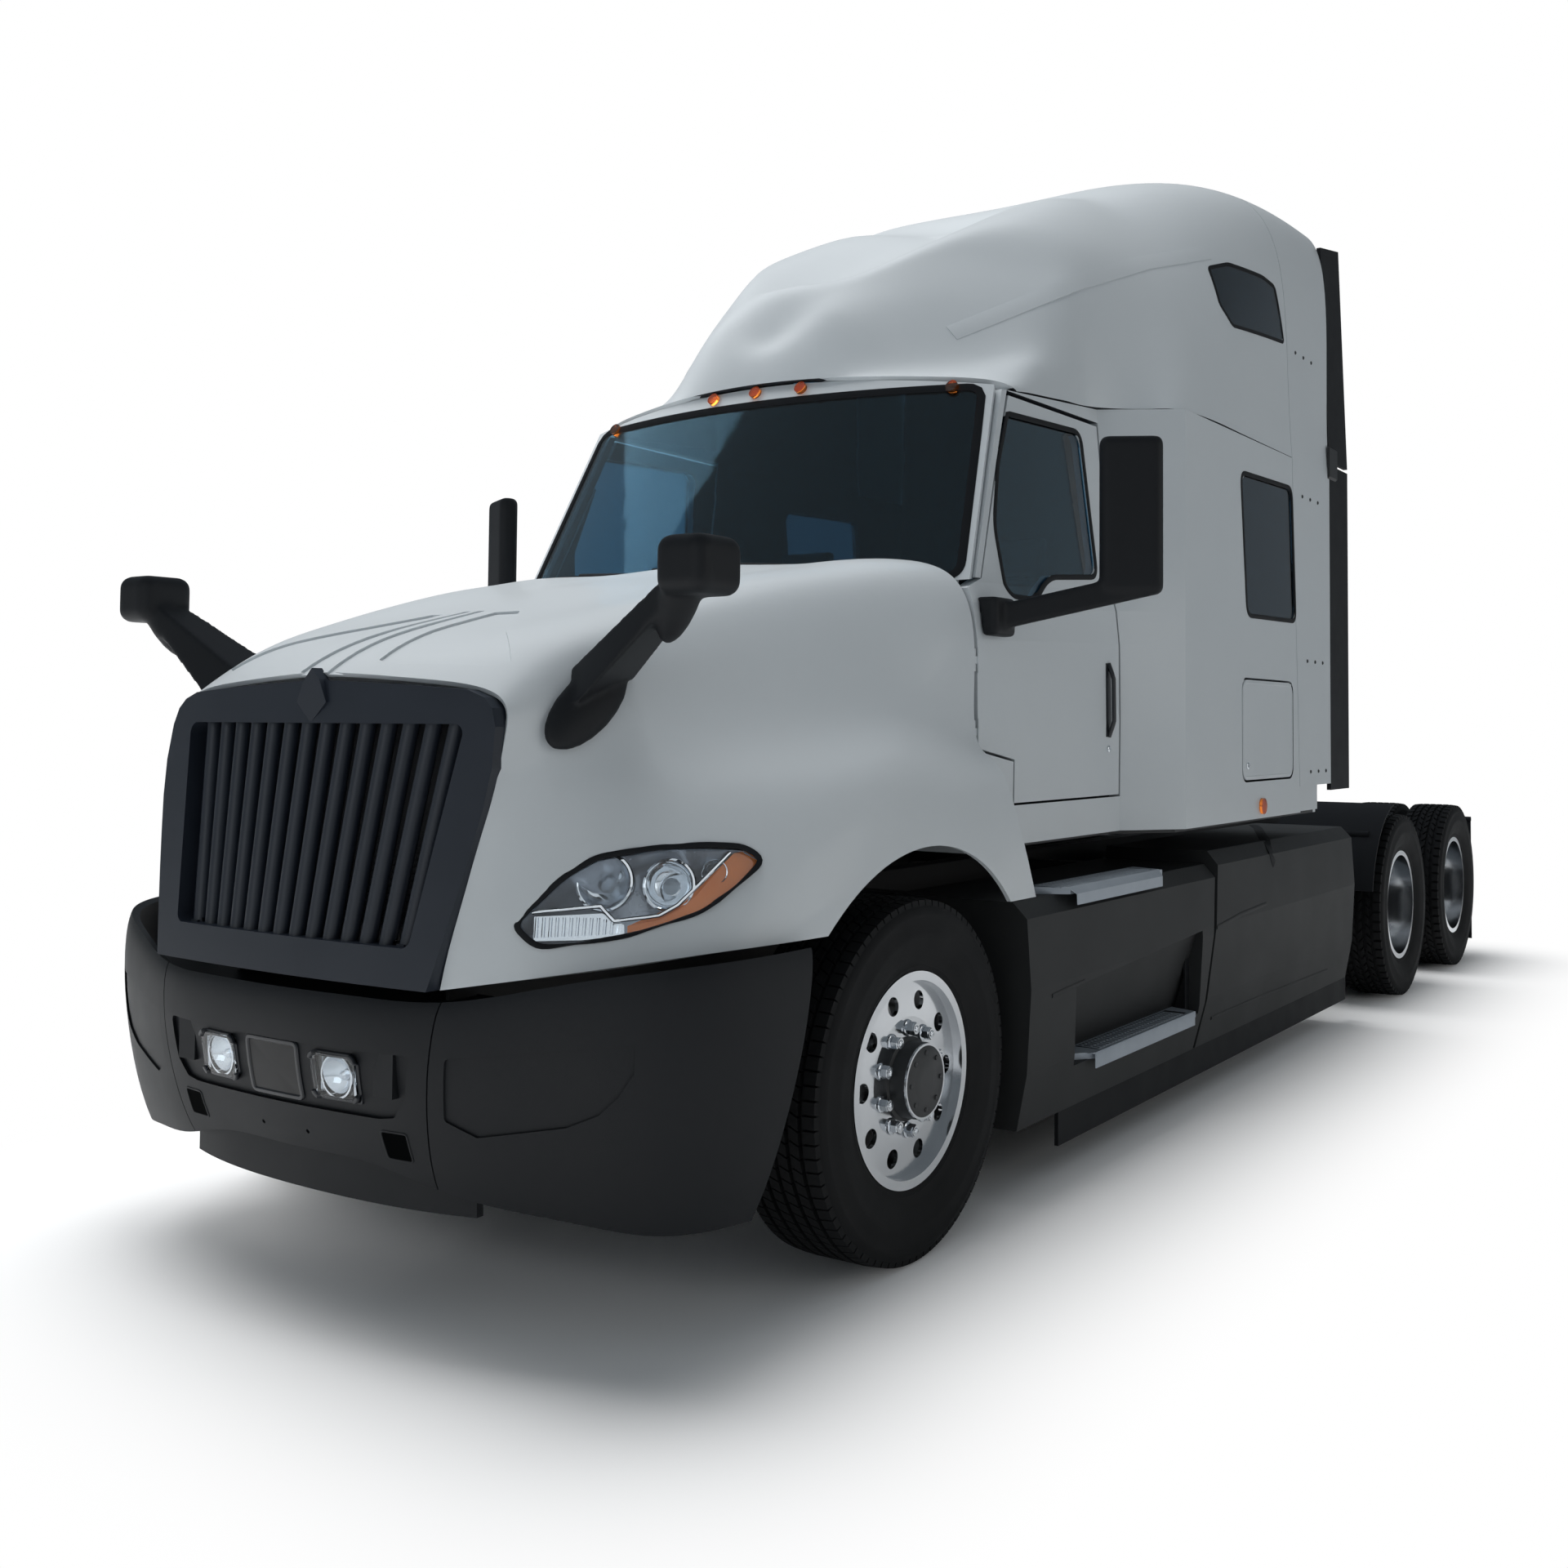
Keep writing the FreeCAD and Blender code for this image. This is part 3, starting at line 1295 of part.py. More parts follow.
def pillar_wedge():
    """The space ahead of the side walls that the windshield's frame takes."""
    slope = shield_lean / (shield_top_z - belt_z)
    low = cowl_z - firewall_thickness - seat_gap
    high = sleeper_top_z + overrun
    foot = shield_edge_y + frame_reach_back + curve_gap
    outline = [(0, low), (foot + slope * (low - belt_z), low),
               (foot + slope * (high - belt_z), high), (0, high)]
    return side_prism(outline, 0, body_half_width)


def extender_zone(gap):
    """The slanted space behind the rear seam that the side extender takes."""
    return side_prism(seam_outline(gap), body_half_width - roof_wall - gap,
                      body_half_width + overrun)


def door_left():
    """The left door: the wall's own curve, cut to the doorway, with its window."""
    panel = cab_side(0, cab_wall).common(doorway(door_gap, latch_gap))
    return hang_door(panel.cut(opening(door_window, door_window_shares)))


def door_glass_left():
    """The left door's window glass."""
    return cab_side(glass_setback, glass).common(
        opening(door_window, door_window_shares, seat_gap))


def sleeper_windows():
    """Glass of the sleeper's side windows and of the upper windows in the roof cap."""
    low = cab_side(glass_setback, glass).common(
        opening(sleeper_window, sleeper_window_shares, seat_gap))
    high = roof_shell(glass).common(upper_opening(seat_gap))
    return both(low) + both(high)


def upper_opening(gap):
    """A prism through the left side of the roof cap."""
    return side_prism(pane(upper_window, upper_window_shares, gap),
                      body_half_width / 2, body_half_width + overrun, upper_corner)


def hatch_left():
    """The left luggage hatch, hung from its top edge."""
    panel = cab_side(0, cab_wall).common(opening(hatch_frame, square_shares, hatch_gap))
    return panel.cut(hatch_pin(hatch_pin_radius + seat_gap, 0))


def cab_rear_wall():
    """The sleeper's back wall, up under the roof cap."""
    half = [(x * body_half_width, floor_z - floor_thickness
             + z * (roof_top_z - floor_z + floor_thickness)) for x, z in back_shares]
    outline = half + [(-x, z) for x, z in half[::-1]]
    return section_prism(outline, sleeper_back_y - back_wall, sleeper_back_y)


def roof_shell(wall):
    """The whole roof skin from the brow to the trailing edge."""
    return skin(roof_rows(), wall, V(0, wheelbase / 2, belt_z))


def seam_outline(gap):
    """The space behind the leaning rear seam, seen from the side."""
    slope = (extender_seam_low_y - extender_seam_top_y) / (roof_top_z - extender_bottom_z)
    low_y = extender_seam_low_y - gap
    high = roof_top_z + overrun
    return [(low_y - slope * (high - extender_bottom_z), high),
            (low_y + slope * extender_bottom_z, 0), (extender_back_y + overrun, 0),
            (extender_back_y + overrun, high)]


def roof_seam(gap):
    """The space behind the rear seam, outboard of the extenders' top edge."""
    return side_prism(seam_outline(gap), extender_top_half - gap,
                      body_half_width + overrun)


def roof_cap():
    """The high roof with its upper windows, ending at the extenders' seam."""
    shell = roof_shell(roof_wall)
    seam = roof_seam(panel_gap)
    window = upper_opening(0)
    return shell.cut([seam, mirrored(seam), window, mirrored(window)])


def side_extenders():
    """The panels behind the rear seam, from the sill up over the roof's edge."""
    zone = roof_seam(0)
    top = roof_shell(roof_wall).common(zone)
    slab = box(body_half_width - roof_wall, body_half_width, extender_seam_top_y,
               extender_back_y, extender_bottom_z, sleeper_top_z).common(zone)
    inner = body_half_width - roof_wall
    pads = [box(inner - panel_gap, inner + panel_gap, extender_pad_y,
                extender_pad_y + extender_pad, z, z + extender_pad)
            for z in extender_pad_heights]
    return both(fuse(top, slab, *pads))


def extender_flaps():
    """Rubber flaps along the extenders' rear edges, in two lengths, with a bracket."""
    x = body_half_width
    pieces = []
    low = box(x - flap_thickness, x, extender_back_y, flap_reach, flap_bottom_z,
              flap_split_z - flap_split / 2)
    top = [(extender_back_y, flap_split_z + flap_split / 2),
           (flap_reach, flap_split_z + flap_split / 2),
           (flap_reach, flap_top_z), (extender_back_y, flap_top_z - overrun)]
    lean = x - flap_thickness * 3
    high = side_prism(top, lean, x).common(
        section_prism([(x - flap_thickness, flap_split_z), (x, flap_split_z),
                       (x - flap_thickness * 2, flap_top_z),
                       (x - flap_thickness * 3, flap_top_z)],
                      extender_back_y, flap_reach))
    for piece in (low, high):
        pieces += both(piece)
    return pieces


def hood_shell():
    """The tilting hood: one curved shell with arches, lamp and mirror seats."""
    shell = hood_skin()
    cuts = []
    for side in (-1, 1):
        cuts.append(rod(V(side * kingpin_half_gauge / 2, 0, tyre_radius),
                        V(side * (body_half_width + overrun), 0, tyre_radius), arch_radius))
    cuts += both(lamp_prism(0))
    layer = skin(hood_rows(), recess_depth, V(0, 0, hood_hem_z))
    for outline in (spine_flank_shares, hood_panel_shares):
        corners = [(x * body_half_width, y * hood_front_y) for x, y in outline]
        recess = layer.common(plan_prism(corners, grille_top_z - overrun, hood_top_z,
                                         recess_corner))
        cuts += both(recess)
    return shell.cut(cuts)


def hood_skin():
    return skin(hood_rows(), hood_wall, V(0, 0, hood_hem_z))


def diagonal(along, out, z):
    """A point in the headlamp's frame, turned 45 degrees between side and front."""
    return V((along + out) * sqrt(1 / 2), (along - out) * sqrt(1 / 2), z)


def lamp_prism(gap):
    """A prism through the left headlamp's outline, drawn in by the gap."""
    far, near = body_half_width * 2, body_half_width * lamp_near_share
    flat = [V(lamp_start + along * lamp_length, lamp_low_z + up * lamp_height, 0)
            for along, up in lamp_shares]
    corners = [diagonal(p.x, far, p.y) for p in inset(flat, gap)]
    return prism(corners, diagonal(0, near - far, 0), lamp_corner)


def inset(corners, gap):
    """A flat outline, whose corners run anticlockwise, drawn in all round by a gap."""
    drawn = []
    for i, corner in enumerate(corners):
        run_in = (corner - corners[i - 1]).normalize()
        run_out = (corners[(i + 1) % len(corners)] - corner).normalize()
        first, second = V(-run_in.y, run_in.x, 0), V(-run_out.y, run_out.x, 0)
        drawn.append(corner + (first + second) * (gap / (1 + first.dot(second))))
    return drawn


def headlamps(skin_shell):
    """The lenses, cut from the hood's own curve."""
    return both(skin_shell.common(lamp_prism(curve_gap)))


def grille(hood):
    """The surround with its bowed upright bars, seated in the hood's mouth."""
    rows = []
    tall = grille_top_z - grille_bottom_z
    for climb in (-grille_spare, 1 / 3, 2 / 3, 1 + grille_spare):
        z = grille_bottom_z + tall * climb
        row = [V(grille_half * share, grille_y(share, climb), z)
               for share in (1 + grille_spare, 3 / 4, 1 / 2, 1 / 4, 0)]
        rows.append(across(row))
    plate = skin(rows, grille_depth, V(0, 0, hood_hem_z))
    half = [(x * grille_half, grille_bottom_z + z * tall) for x, z in grille_shares]
    outer = section_prism(half + [(-x, z) for x, z in half[-2::-1]], -front_overhang * 2, 0)
    foot, head = grille_opening_bottom_half, grille_opening_top_half
    hole = section_prism([(-foot, grille_opening_bottom_z), (foot, grille_opening_bottom_z),
                          (head, grille_opening_top_z), (-head, grille_opening_top_z)],
                         -front_overhang * 2, 0, window_corner / 2)
    peak = section_prism([(-peak_half, grille_top_z - peak_half), (0, grille_opening_top_z),
                          (peak_half, grille_top_z - peak_half),
                          (peak_half / 2, grille_top_z), (0, grille_top_z + peak_rise),
                          (-peak_half / 2, grille_top_z)],
                         grille_y(0, 1) - peak_depth, grille_y(0, 1) + peak_depth)
    frame = fuse(plate.common(outer).cut(hole), peak)
    bars = [grille_bar((i + 1 / 2) / bars_a_side) for i in range(bars_a_side)]
    bars += [mirrored(bar) for bar in bars]
    body = fuse(frame, *bars).cut(both(hinge_pocket()))
    return fuse(body, *both(hood_lug())).cut([hood, hinge_bore()])


def grille_y(share, climb):
    """The grille's face: leaning back as it climbs, and bowed forward at its middle."""
    return grille_lean * climb - grille_bottom_y - grille_bow * (1 - share ** 2)


def grille_bar(share):
    """One bar of the left half, leaning with the grille, its ends sunk in the rails."""
    tall = grille_top_z - grille_bottom_z
    ends = []
    for z, half in ((grille_opening_bottom_z - bar_radius, grille_opening_bottom_half),
                    (grille_opening_top_z + bar_radius, grille_opening_top_half)):
        climb = (z - grille_bottom_z) / tall
        ends.append(V(half * share * bar_spread_share,
                      grille_y(share, climb) + bar_setback, z))
    return rod(*ends, bar_radius)


def hood_mirrors(hood):
    """Convex mirrors on arms from the hood's shoulders."""
    base = Part.makePolygon([V(mirror_foot_x, y * hood_front_y, z * hood_height)
                             for y, z in mirror_foot_shares])
    neck = Part.makePolygon([V(mirror_neck_x, y * hood_front_y, z * hood_height)
                             for y, z in mirror_neck_shares])
    arm = Part.makeLoft([base, neck], True, True)
    head = box(mirror_head_x, mirror_head_x + mirror_head_width,
               -mirror_head_front_y, mirror_head_depth - mirror_head_front_y,
               mirror_head_z, mirror_head_z + mirror_head_height)
    head = head.makeFillet(mirror_head_height / 4, head.Edges)
    whole = fuse(arm, head).cut(hood)
    outer = max(whole.Solids, key=lambda s: s.CenterOfMass.x)
    return both(outer)


def flat_on(points, origin, normal, back):
    """The points moved along the normal onto the plane that far behind the origin."""
    return [p - normal * ((p - origin).dot(normal) + back) for p in points]


def door_mirror(door):
    """The tall mirror head on its arm from the door's front corner."""
    foot = box(door_x - cab_wall, door_x + mirror_foot_depth, mirror_foot_y,
               mirror_foot_y + mirror_foot_length, mirror_foot_z,
               mirror_foot_z + mirror_foot_height)
    foot = foot.makeFillet(mirror_arm / 3, [e for e in foot.Edges
                                            if abs(e.CenterOfMass.x - door_x
                                                   - mirror_foot_depth) < panel_gap])
    middle = V(tall_mirror_x, tall_mirror_y, tall_mirror_z)
    half, deep = tall_mirror_width / 2, tall_mirror_depth / 2
    turn = radians(tall_mirror_yaw)
    along = V(cos(turn), sin(turn), 0)
    start = V(door_x + mirror_foot_depth / 2, mirror_foot_y + mirror_foot_length / 2,
              mirror_foot_z + mirror_foot_height / 2)
    inner = middle - along * half
    outer = middle + along * (half - mirror_corner)
    run = (outer - start)
    side = run.cross(V(0, 0, 1)).normalize()
    rise = V(0, 0, mirror_arm)
    outline = [start - rise, outer, outer + rise, inner + rise, start + rise]
    shift = [p - side * (mirror_arm / 2) for p in outline]
    arm = prism([V(p.x, p.y, p.z) for p in flat_on(shift, start, side, mirror_arm / 2)],
                side * mirror_arm)
    head = box(tall_mirror_x - half, tall_mirror_x + half, tall_mirror_y - deep,
               tall_mirror_y + deep, tall_mirror_z, tall_mirror_z + tall_mirror_height)
    head = head.makeFillet(mirror_corner, head.Edges)
    head.rotate(middle, V(0, 0, 1), tall_mirror_yaw)
    whole = fuse(foot, arm, head).cut(cab_side(0, cab_wall))
    return max(whole.Solids, key=lambda s: s.CenterOfMass.x)


def bumper():
    """Centre and two ends of one wrapped skin, parted at slanted seams."""
    shell = bumper_skin()
    top = bumper_top_z + bumper_corner_rise + overrun
    run = [(-bumper_arch_y, top), (0, top), (0, 0), (-bumper_arch_y - bumper_arch_rake, 0)]
    shell = shell.cut(side_prism(run, -body_half_width * 2, body_half_width * 2))
    shell = shell.cut(bumper_openings() + bumper_recesses())
    seams = []
    for side in (-1, 1):
        head = side * bumper_seam_top
        foot = side * bumper_seam_foot
        seams.append(section_prism([(head, top), (head + side * bumper_seam, top),
                                    (foot + side * bumper_seam, 0), (foot, 0)],
                                   -front_overhang * 2, 0))
    pieces = sorted(shell.cut(seams).Solids, key=lambda s: s.CenterOfMass.x)
    right, middle, left = pieces
    blocks = both(box(rail_outer - horn_width, rail_outer, -horn_reach,
                      -horn_reach - bumper_wall * 2, horn_top - horn_height, horn_top))
    middle = fuse(middle, *blocks, valance())
    arm = box(rail_outer, bumper_arm_reach, -bumper_arm_y, bumper_arm_width - bumper_arm_y,
              horn_top - horn_height, horn_top - horn_height / 2)
    left = fuse(left, arm)
    return [middle] + both(left)


def fog_prism(gap):
    """A prism through the left fog lamp's opening."""
    x0 = fog_half_gauge - fog_width / 2 + gap
    x1 = fog_half_gauge + fog_width / 2 - gap
    z0 = fog_z - fog_height / 2 + gap
    z1 = fog_z + fog_height / 2 - gap
    return section_prism([(x0, z0), (x1, z0), (x1, z1), (x0, z1)],
                         -front_overhang * 2, -horn_reach, fog_corner)


def bumper_recesses():
    """Sunken panels: one in the middle round the fog lamps, and one in each end."""
    inside = V(0, 0, bumper_bottom_z)
    tucks = [(up, share * bumper_tuck) for up, share in bumper_tuck_shares]
    rows = bumper_rows(tucks, bumper_bottom_z, bumper_centre_rise, bumper_top_z)
    tall = bumper_top_z - bumper_bottom_z
    cuts = []
    for outline, depth in ((fog_panel_shares, fog_panel_depth),
                           (end_panel_shares, end_panel_depth)):
        corners = [(x * body_half_width, bumper_bottom_z + z * tall) for x, z in outline]
        prism_cut = section_prism(corners, -front_overhang * 2, -bumper_arch_y, panel_corner)
        cuts.append(skin(rows, depth, inside).common(prism_cut))
    return [cuts[0], cuts[1], mirrored(cuts[1])]


def bumper_openings():
    """Openings for fog lamps, the sensor cover and the towing pins."""
    cuts = both(fog_prism(0))
    for x, z, width, height in bumper_holes():
        cuts.append(box(x - width / 2, x + width / 2, -front_overhang * 2, -horn_reach,
                        z - height / 2, z + height / 2))
    cuts += both(rod(V(plate_hole_half, -front_overhang * 2, plate_hole_z),
                     V(plate_hole_half, -horn_reach, plate_hole_z), plate_hole_radius))
    return cuts


def bumper_holes():
    """Centre, width and height of the rectangular openings."""
    return [(tow_half_gauge, tow_z, tow_width, tow_height),
            (-tow_half_gauge, tow_z, tow_width, tow_height)]


def fog_lamps():
    """The fog lamps' lenses in the bumper's own curve, and the bare sensor cover."""
    shell = bumper_skin()
    return both(shell.common(fog_prism(seat_gap)))


def fairing_section(top, grow):
    """The fairing's section as (x, z) points, drawn in by grow."""
    height = top - fairing_bottom_z
    points = []
    for out, up in fairing_shares:
        x = fairing_inner_x + out * (fairing_x - fairing_inner_x)
        points.append((x - (grow if out else 0), fairing_bottom_z + up * height
                       - (grow if up else -grow)))
    return points


def fairing(top, outline, inner_outline, pocket=None, grown=None):
    """A hollow fairing, open inwards and below."""
    y0 = min(y for y, z in outline)
    y1 = max(y for y, z in outline)
    solid = section_prism(fairing_section(top, 0), y0, y1)
    solid = solid.common(side_prism(outline, 0, body_half_width + overrun))
    low = [(x, z if z > fairing_bottom_z + fairing_wall * 2 else 0)
           for x, z in fairing_section(top, fairing_wall)]
    hollow = section_prism([(0, low[0][1])] + low + [(0, 0)], y0, y1)
    hollow = hollow.common(side_prism(inner_outline, 0, body_half_width + overrun))
    if pocket:
        solid = solid.cut(pocket)
        hollow = hollow.cut(grown)
    return solid.cut(hollow)


def step_fairing():
    """The left fairing over the steps, scooped above its lower step."""
    high, low = step_top_z + overrun, 0
    seam_high = seam_y(high)
    seam_low = seam_y(low)
    outline = [(step_front_y, low), (step_front_y, high), (seam_high, high), (seam_low, low)]
    inner = [(step_front_y + fairing_wall, low), (step_front_y + fairing_wall, high),
             (seam_high - fairing_wall, high), (seam_low - fairing_wall, low)]
    pocket = step_scoop(0)
    body = fairing(step_top_z, outline, inner, pocket, step_scoop(fairing_wall))
    arms = []
    for y in (step_front_y + fairing_wall, step_back_y - bracket_width * 4):
        arms.append(box(rail_outer, fairing_inner_x + fairing_wall, y, y + bracket_width,
                        step_top_z - fairing_wall * 2, step_top_z))
    return fuse(body, *arms)


def seam_y(z):
    """The slanted seam between the two fairings at a height."""
    return step_back_y - step_rake * (tank_top_z - z) / (tank_top_z - fairing_bottom_z)


def step_scoop(grow):
    """The wedge scooped out above the lower step, under a rising crease and with a
    ramp at its front."""
    x0 = fairing_x - scoop_depth - grow
    far = fairing_x + overrun
    z0 = lower_step_z - tread_thickness - grow
    front, back = scoop_front_y - grow, scoop_back_y + grow
    wedge = section_prism([(x0, z0), (far, z0), (far, scoop_back_z + grow * 2),
                           (fairing_x - fairing_wall, scoop_back_z + grow)], front, back)
    side = side_prism([(front, z0), (front, scoop_front_z + grow),
                       (back, scoop_back_z + grow), (back, z0)], 0, far)
    ramp = plan_prism([(x0, front + scoop_ramp), (far, front - overrun), (far, back),
                       (x0, back)], 0, tank_top_z)
    return wedge.common(side).common(ramp)


def tank_fairing():
    """The left fairing over the tank."""
    high, low = tank_top_z + overrun, 0
    outline = [(seam_y(low) + fairing_gap, low), (seam_y(high) + fairing_gap, high),
               (tank_back_y, high), (tank_back_y, low)]
    inner = [(seam_y(low) + fairing_gap + fairing_wall, low),
             (seam_y(high) + fairing_gap + fairing_wall, high),
             (tank_back_y - fairing_wall, high), (tank_back_y - fairing_wall, low)]
    return fairing(tank_top_z, outline, inner)


def step_treads():
    """Upper and lower treads on each side."""
    upper = plan_prism([(x * fairing_x, step_front_y + y * (step_back_y - step_front_y))
                        for x, y in upper_tread_shares],
                       step_top_z + seat_gap, step_top_z + tread_thickness)
    low = lower_step_z - tread_thickness
    lower = plan_prism([(x * fairing_x, scoop_front_y + y * (scoop_back_y - scoop_front_y))
                        for x, y in lower_tread_shares], low + seat_gap, lower_step_z)
    return both(upper) + both(lower.common(step_scoop(-seat_gap)))


def rubber_skirts():
    """Rubber skirts inside the fairings' lower edges."""
    foot = max(x for x, z in fairing_section(step_top_z, 0) if z == fairing_bottom_z)
    x1 = foot - fairing_wall - seat_gap
    skirt = box(x1 - skirt_thickness, x1, skirt_front_y, skirt_back_y, skirt_bottom_z,
                fairing_bottom_z + overrun)
    seam = seam_y(fairing_bottom_z)
    notch = box(0, fairing_x, seam - overrun, seam + fairing_gap + overrun,
                fairing_bottom_z - seat_gap, fairing_bottom_z + overrun * 2)
    tail = box(0, fairing_x, tank_back_y - fairing_wall - panel_gap, skirt_back_y + overrun,
               fairing_bottom_z - seat_gap, fairing_bottom_z + overrun * 2)
    return both(skirt.cut([notch, tail]))


def fuel_tanks():
    """A round tank each side, strapped to the rail by two brackets, with a top pad."""
    tank = rod(V(tank_x, tank_front_y, tank_z), V(tank_x, tank_rear_y, tank_z), tank_radius)
    pieces = []
    for y in (tank_front_y + tank_radius, tank_rear_y - tank_radius - bracket_width):
        pieces.append(box(rail_outer, tank_x - tank_radius / 2, y, y + bracket_width,
                          tank_z, tank_z + tank_radius))
        pieces.append(box(tank_x - bracket_width, tank_x + bracket_width, y,
                          y + bracket_width, tank_z, tank_top_z - fairing_wall))
    return both(fuse(tank, *pieces))


def mud_guards():
    """Quarter guards ahead of the first drive tyres and flaps behind the last."""
    first = axle_stations()[0]
    outer = guard_outer_x
    centre = V(guard_inner_x, first, tyre_radius)
    run = V(outer - guard_inner_x, 0, 0)
    shell = Part.makeCylinder(guard_radius, run.x, centre, V(1, 0, 0))
    shell = shell.cut(Part.makeCylinder(guard_radius - guard_thickness, run.x, centre,
                                        V(1, 0, 0)))
    a0, a1 = radians(guard_low_angle), radians(guard_high_angle)
    far = guard_radius * 2
    wedge = side_prism([(first, tyre_radius),
                        (first - far * cos(a0), tyre_radius + far * sin(a0)),
                        (first - far, tyre_radius + far),
                        (first - far * cos(a1), tyre_radius + far * sin(a1))],
                       0, outer + overrun)
    a = (a0 + a1) / 2
    spot_y = first - guard_radius * cos(a)
    spot_z = tyre_radius + guard_radius * sin(a)
    stay = rod(V(rail_outer, spot_y, spot_z), V(outer - overrun, spot_y, spot_z), stay_radius)
    guard = fuse(shell.common(wedge), stay)
    board = box(guard_inner_x, outer, flap_board_y, flap_board_y + flap_board,
                flap_board_bottom_z, flap_board_top_z)
    y = flap_board_y + flap_board / 2
    arm = rod(V(rail_outer, y, flap_board_top_z), V(outer, y, flap_board_top_z), stay_radius)
    return both(guard) + both(fuse(board, arm))


def seats():
    """Driver's and passenger's seats on their pedestals."""
    x0 = seat_x - seat_width / 2
    x1 = seat_x + seat_width / 2
    cushion_z = seat_base_z + cushion
    profile = [(seat_y, floor_z), (seat_y + seat_depth / 2, floor_z),
               (seat_y + seat_depth / 2, seat_base_z), (seat_y + seat_depth, seat_base_z),
               (seat_y + seat_depth + back_lean, seat_base_z + seat_back_height),
               (seat_y + seat_depth + back_lean - cushion, seat_base_z + seat_back_height),
               (seat_y + seat_depth - cushion, cushion_z), (seat_y - cushion, cushion_z),
               (seat_y - cushion, seat_base_z), (seat_y, seat_base_z)]
    return both(side_prism(profile, x0, x1))


def dashboard():
    """The dashboard across the firewall, with the wheel on its column."""
    y0 = cab_front_y + firewall_setback + firewall_thickness
    half = side_x(cowl_z) - cab_wall - door_gap * 2
    points = [(y0 + y * dash_depth, dash_bottom_z + z * (cowl_z - dash_bottom_z))
              for y, z in dash_shares]
    dash = side_prism(points, -half, half)
    hub = V(seat_x, y0 + dash_depth + column_reach, dash_bottom_z + dash_rise)
    axis = V(0, 1, 1)
    ring = Part.makeTorus(wheel_ring_radius, ring_radius, hub, axis)
    start = hub - V(0, column_reach * 2, column_reach * 2)
    column = rod(start, hub, ring_radius * 2)
    spoke = rod(hub - V(wheel_ring_radius, 0, 0), hub + V(wheel_ring_radius, 0, 0),
                ring_radius / 2)
    return fuse(dash, column, spoke, ring)


def bunk():
    """The sleeper's bunk across the back wall."""
    half = body_half_width - cab_wall - seat_gap
    back = sleeper_back_y - back_wall
    front = back - bunk_depth
    board = box(-half, half, front, back, bunk_z - bunk_board, bunk_z)
    face = box(-half + overrun * 2, half - overrun * 2, front, front + bunk_board,
               floor_z, bunk_z)
    base = fuse(board, face)
    pad = box(-half + overrun, half - overrun, back - bunk_depth + overrun / 2,
              back - overrun / 2, bunk_z, bunk_z + cushion)
    return fuse(base, pad)


def marker_lamps():
    """Clearance lamps over the windshield and one on each side of the sleeper."""
    lamps = []
    behind = [cab_front(), windshield()]
    for share in marker_shares:
        z = header_z - marker_radius / 2 - header_drop * share ** 2
        spot = shield_point(share, z, pillar_half_width, pillar_top_half_width)
        lamp = rod(spot + V(0, marker_height, -marker_height / 2),
                   spot + V(0, -marker_height / 2, marker_height / 4), marker_radius / 2)
        lamps.append(max(lamp.cut(behind).Solids, key=lambda s: s.Volume))
    side = rod(V(body_half_width + seat_gap, side_lamp_y, side_lamp_z),
               V(body_half_width + marker_height / 2, side_lamp_y, side_lamp_z),
               marker_radius * side_lamp_share)
    return lamps + both(side)


def tail_lamps():
    """Lamps on the rear face of the last crossmember."""
    y = crossmember_shares[-1] * frame_reach + crossmember_depth / 2
    z = rail_top - rail_web * 2 - crossmember_depth / 2
    lamps = []
    for x in (rail_outer * 2 / 3, rail_outer / 3):
        lamps += both(rod(V(x, y, z), V(x, y + tail_lamp_depth, z), tail_lamp_radius))
    return lamps


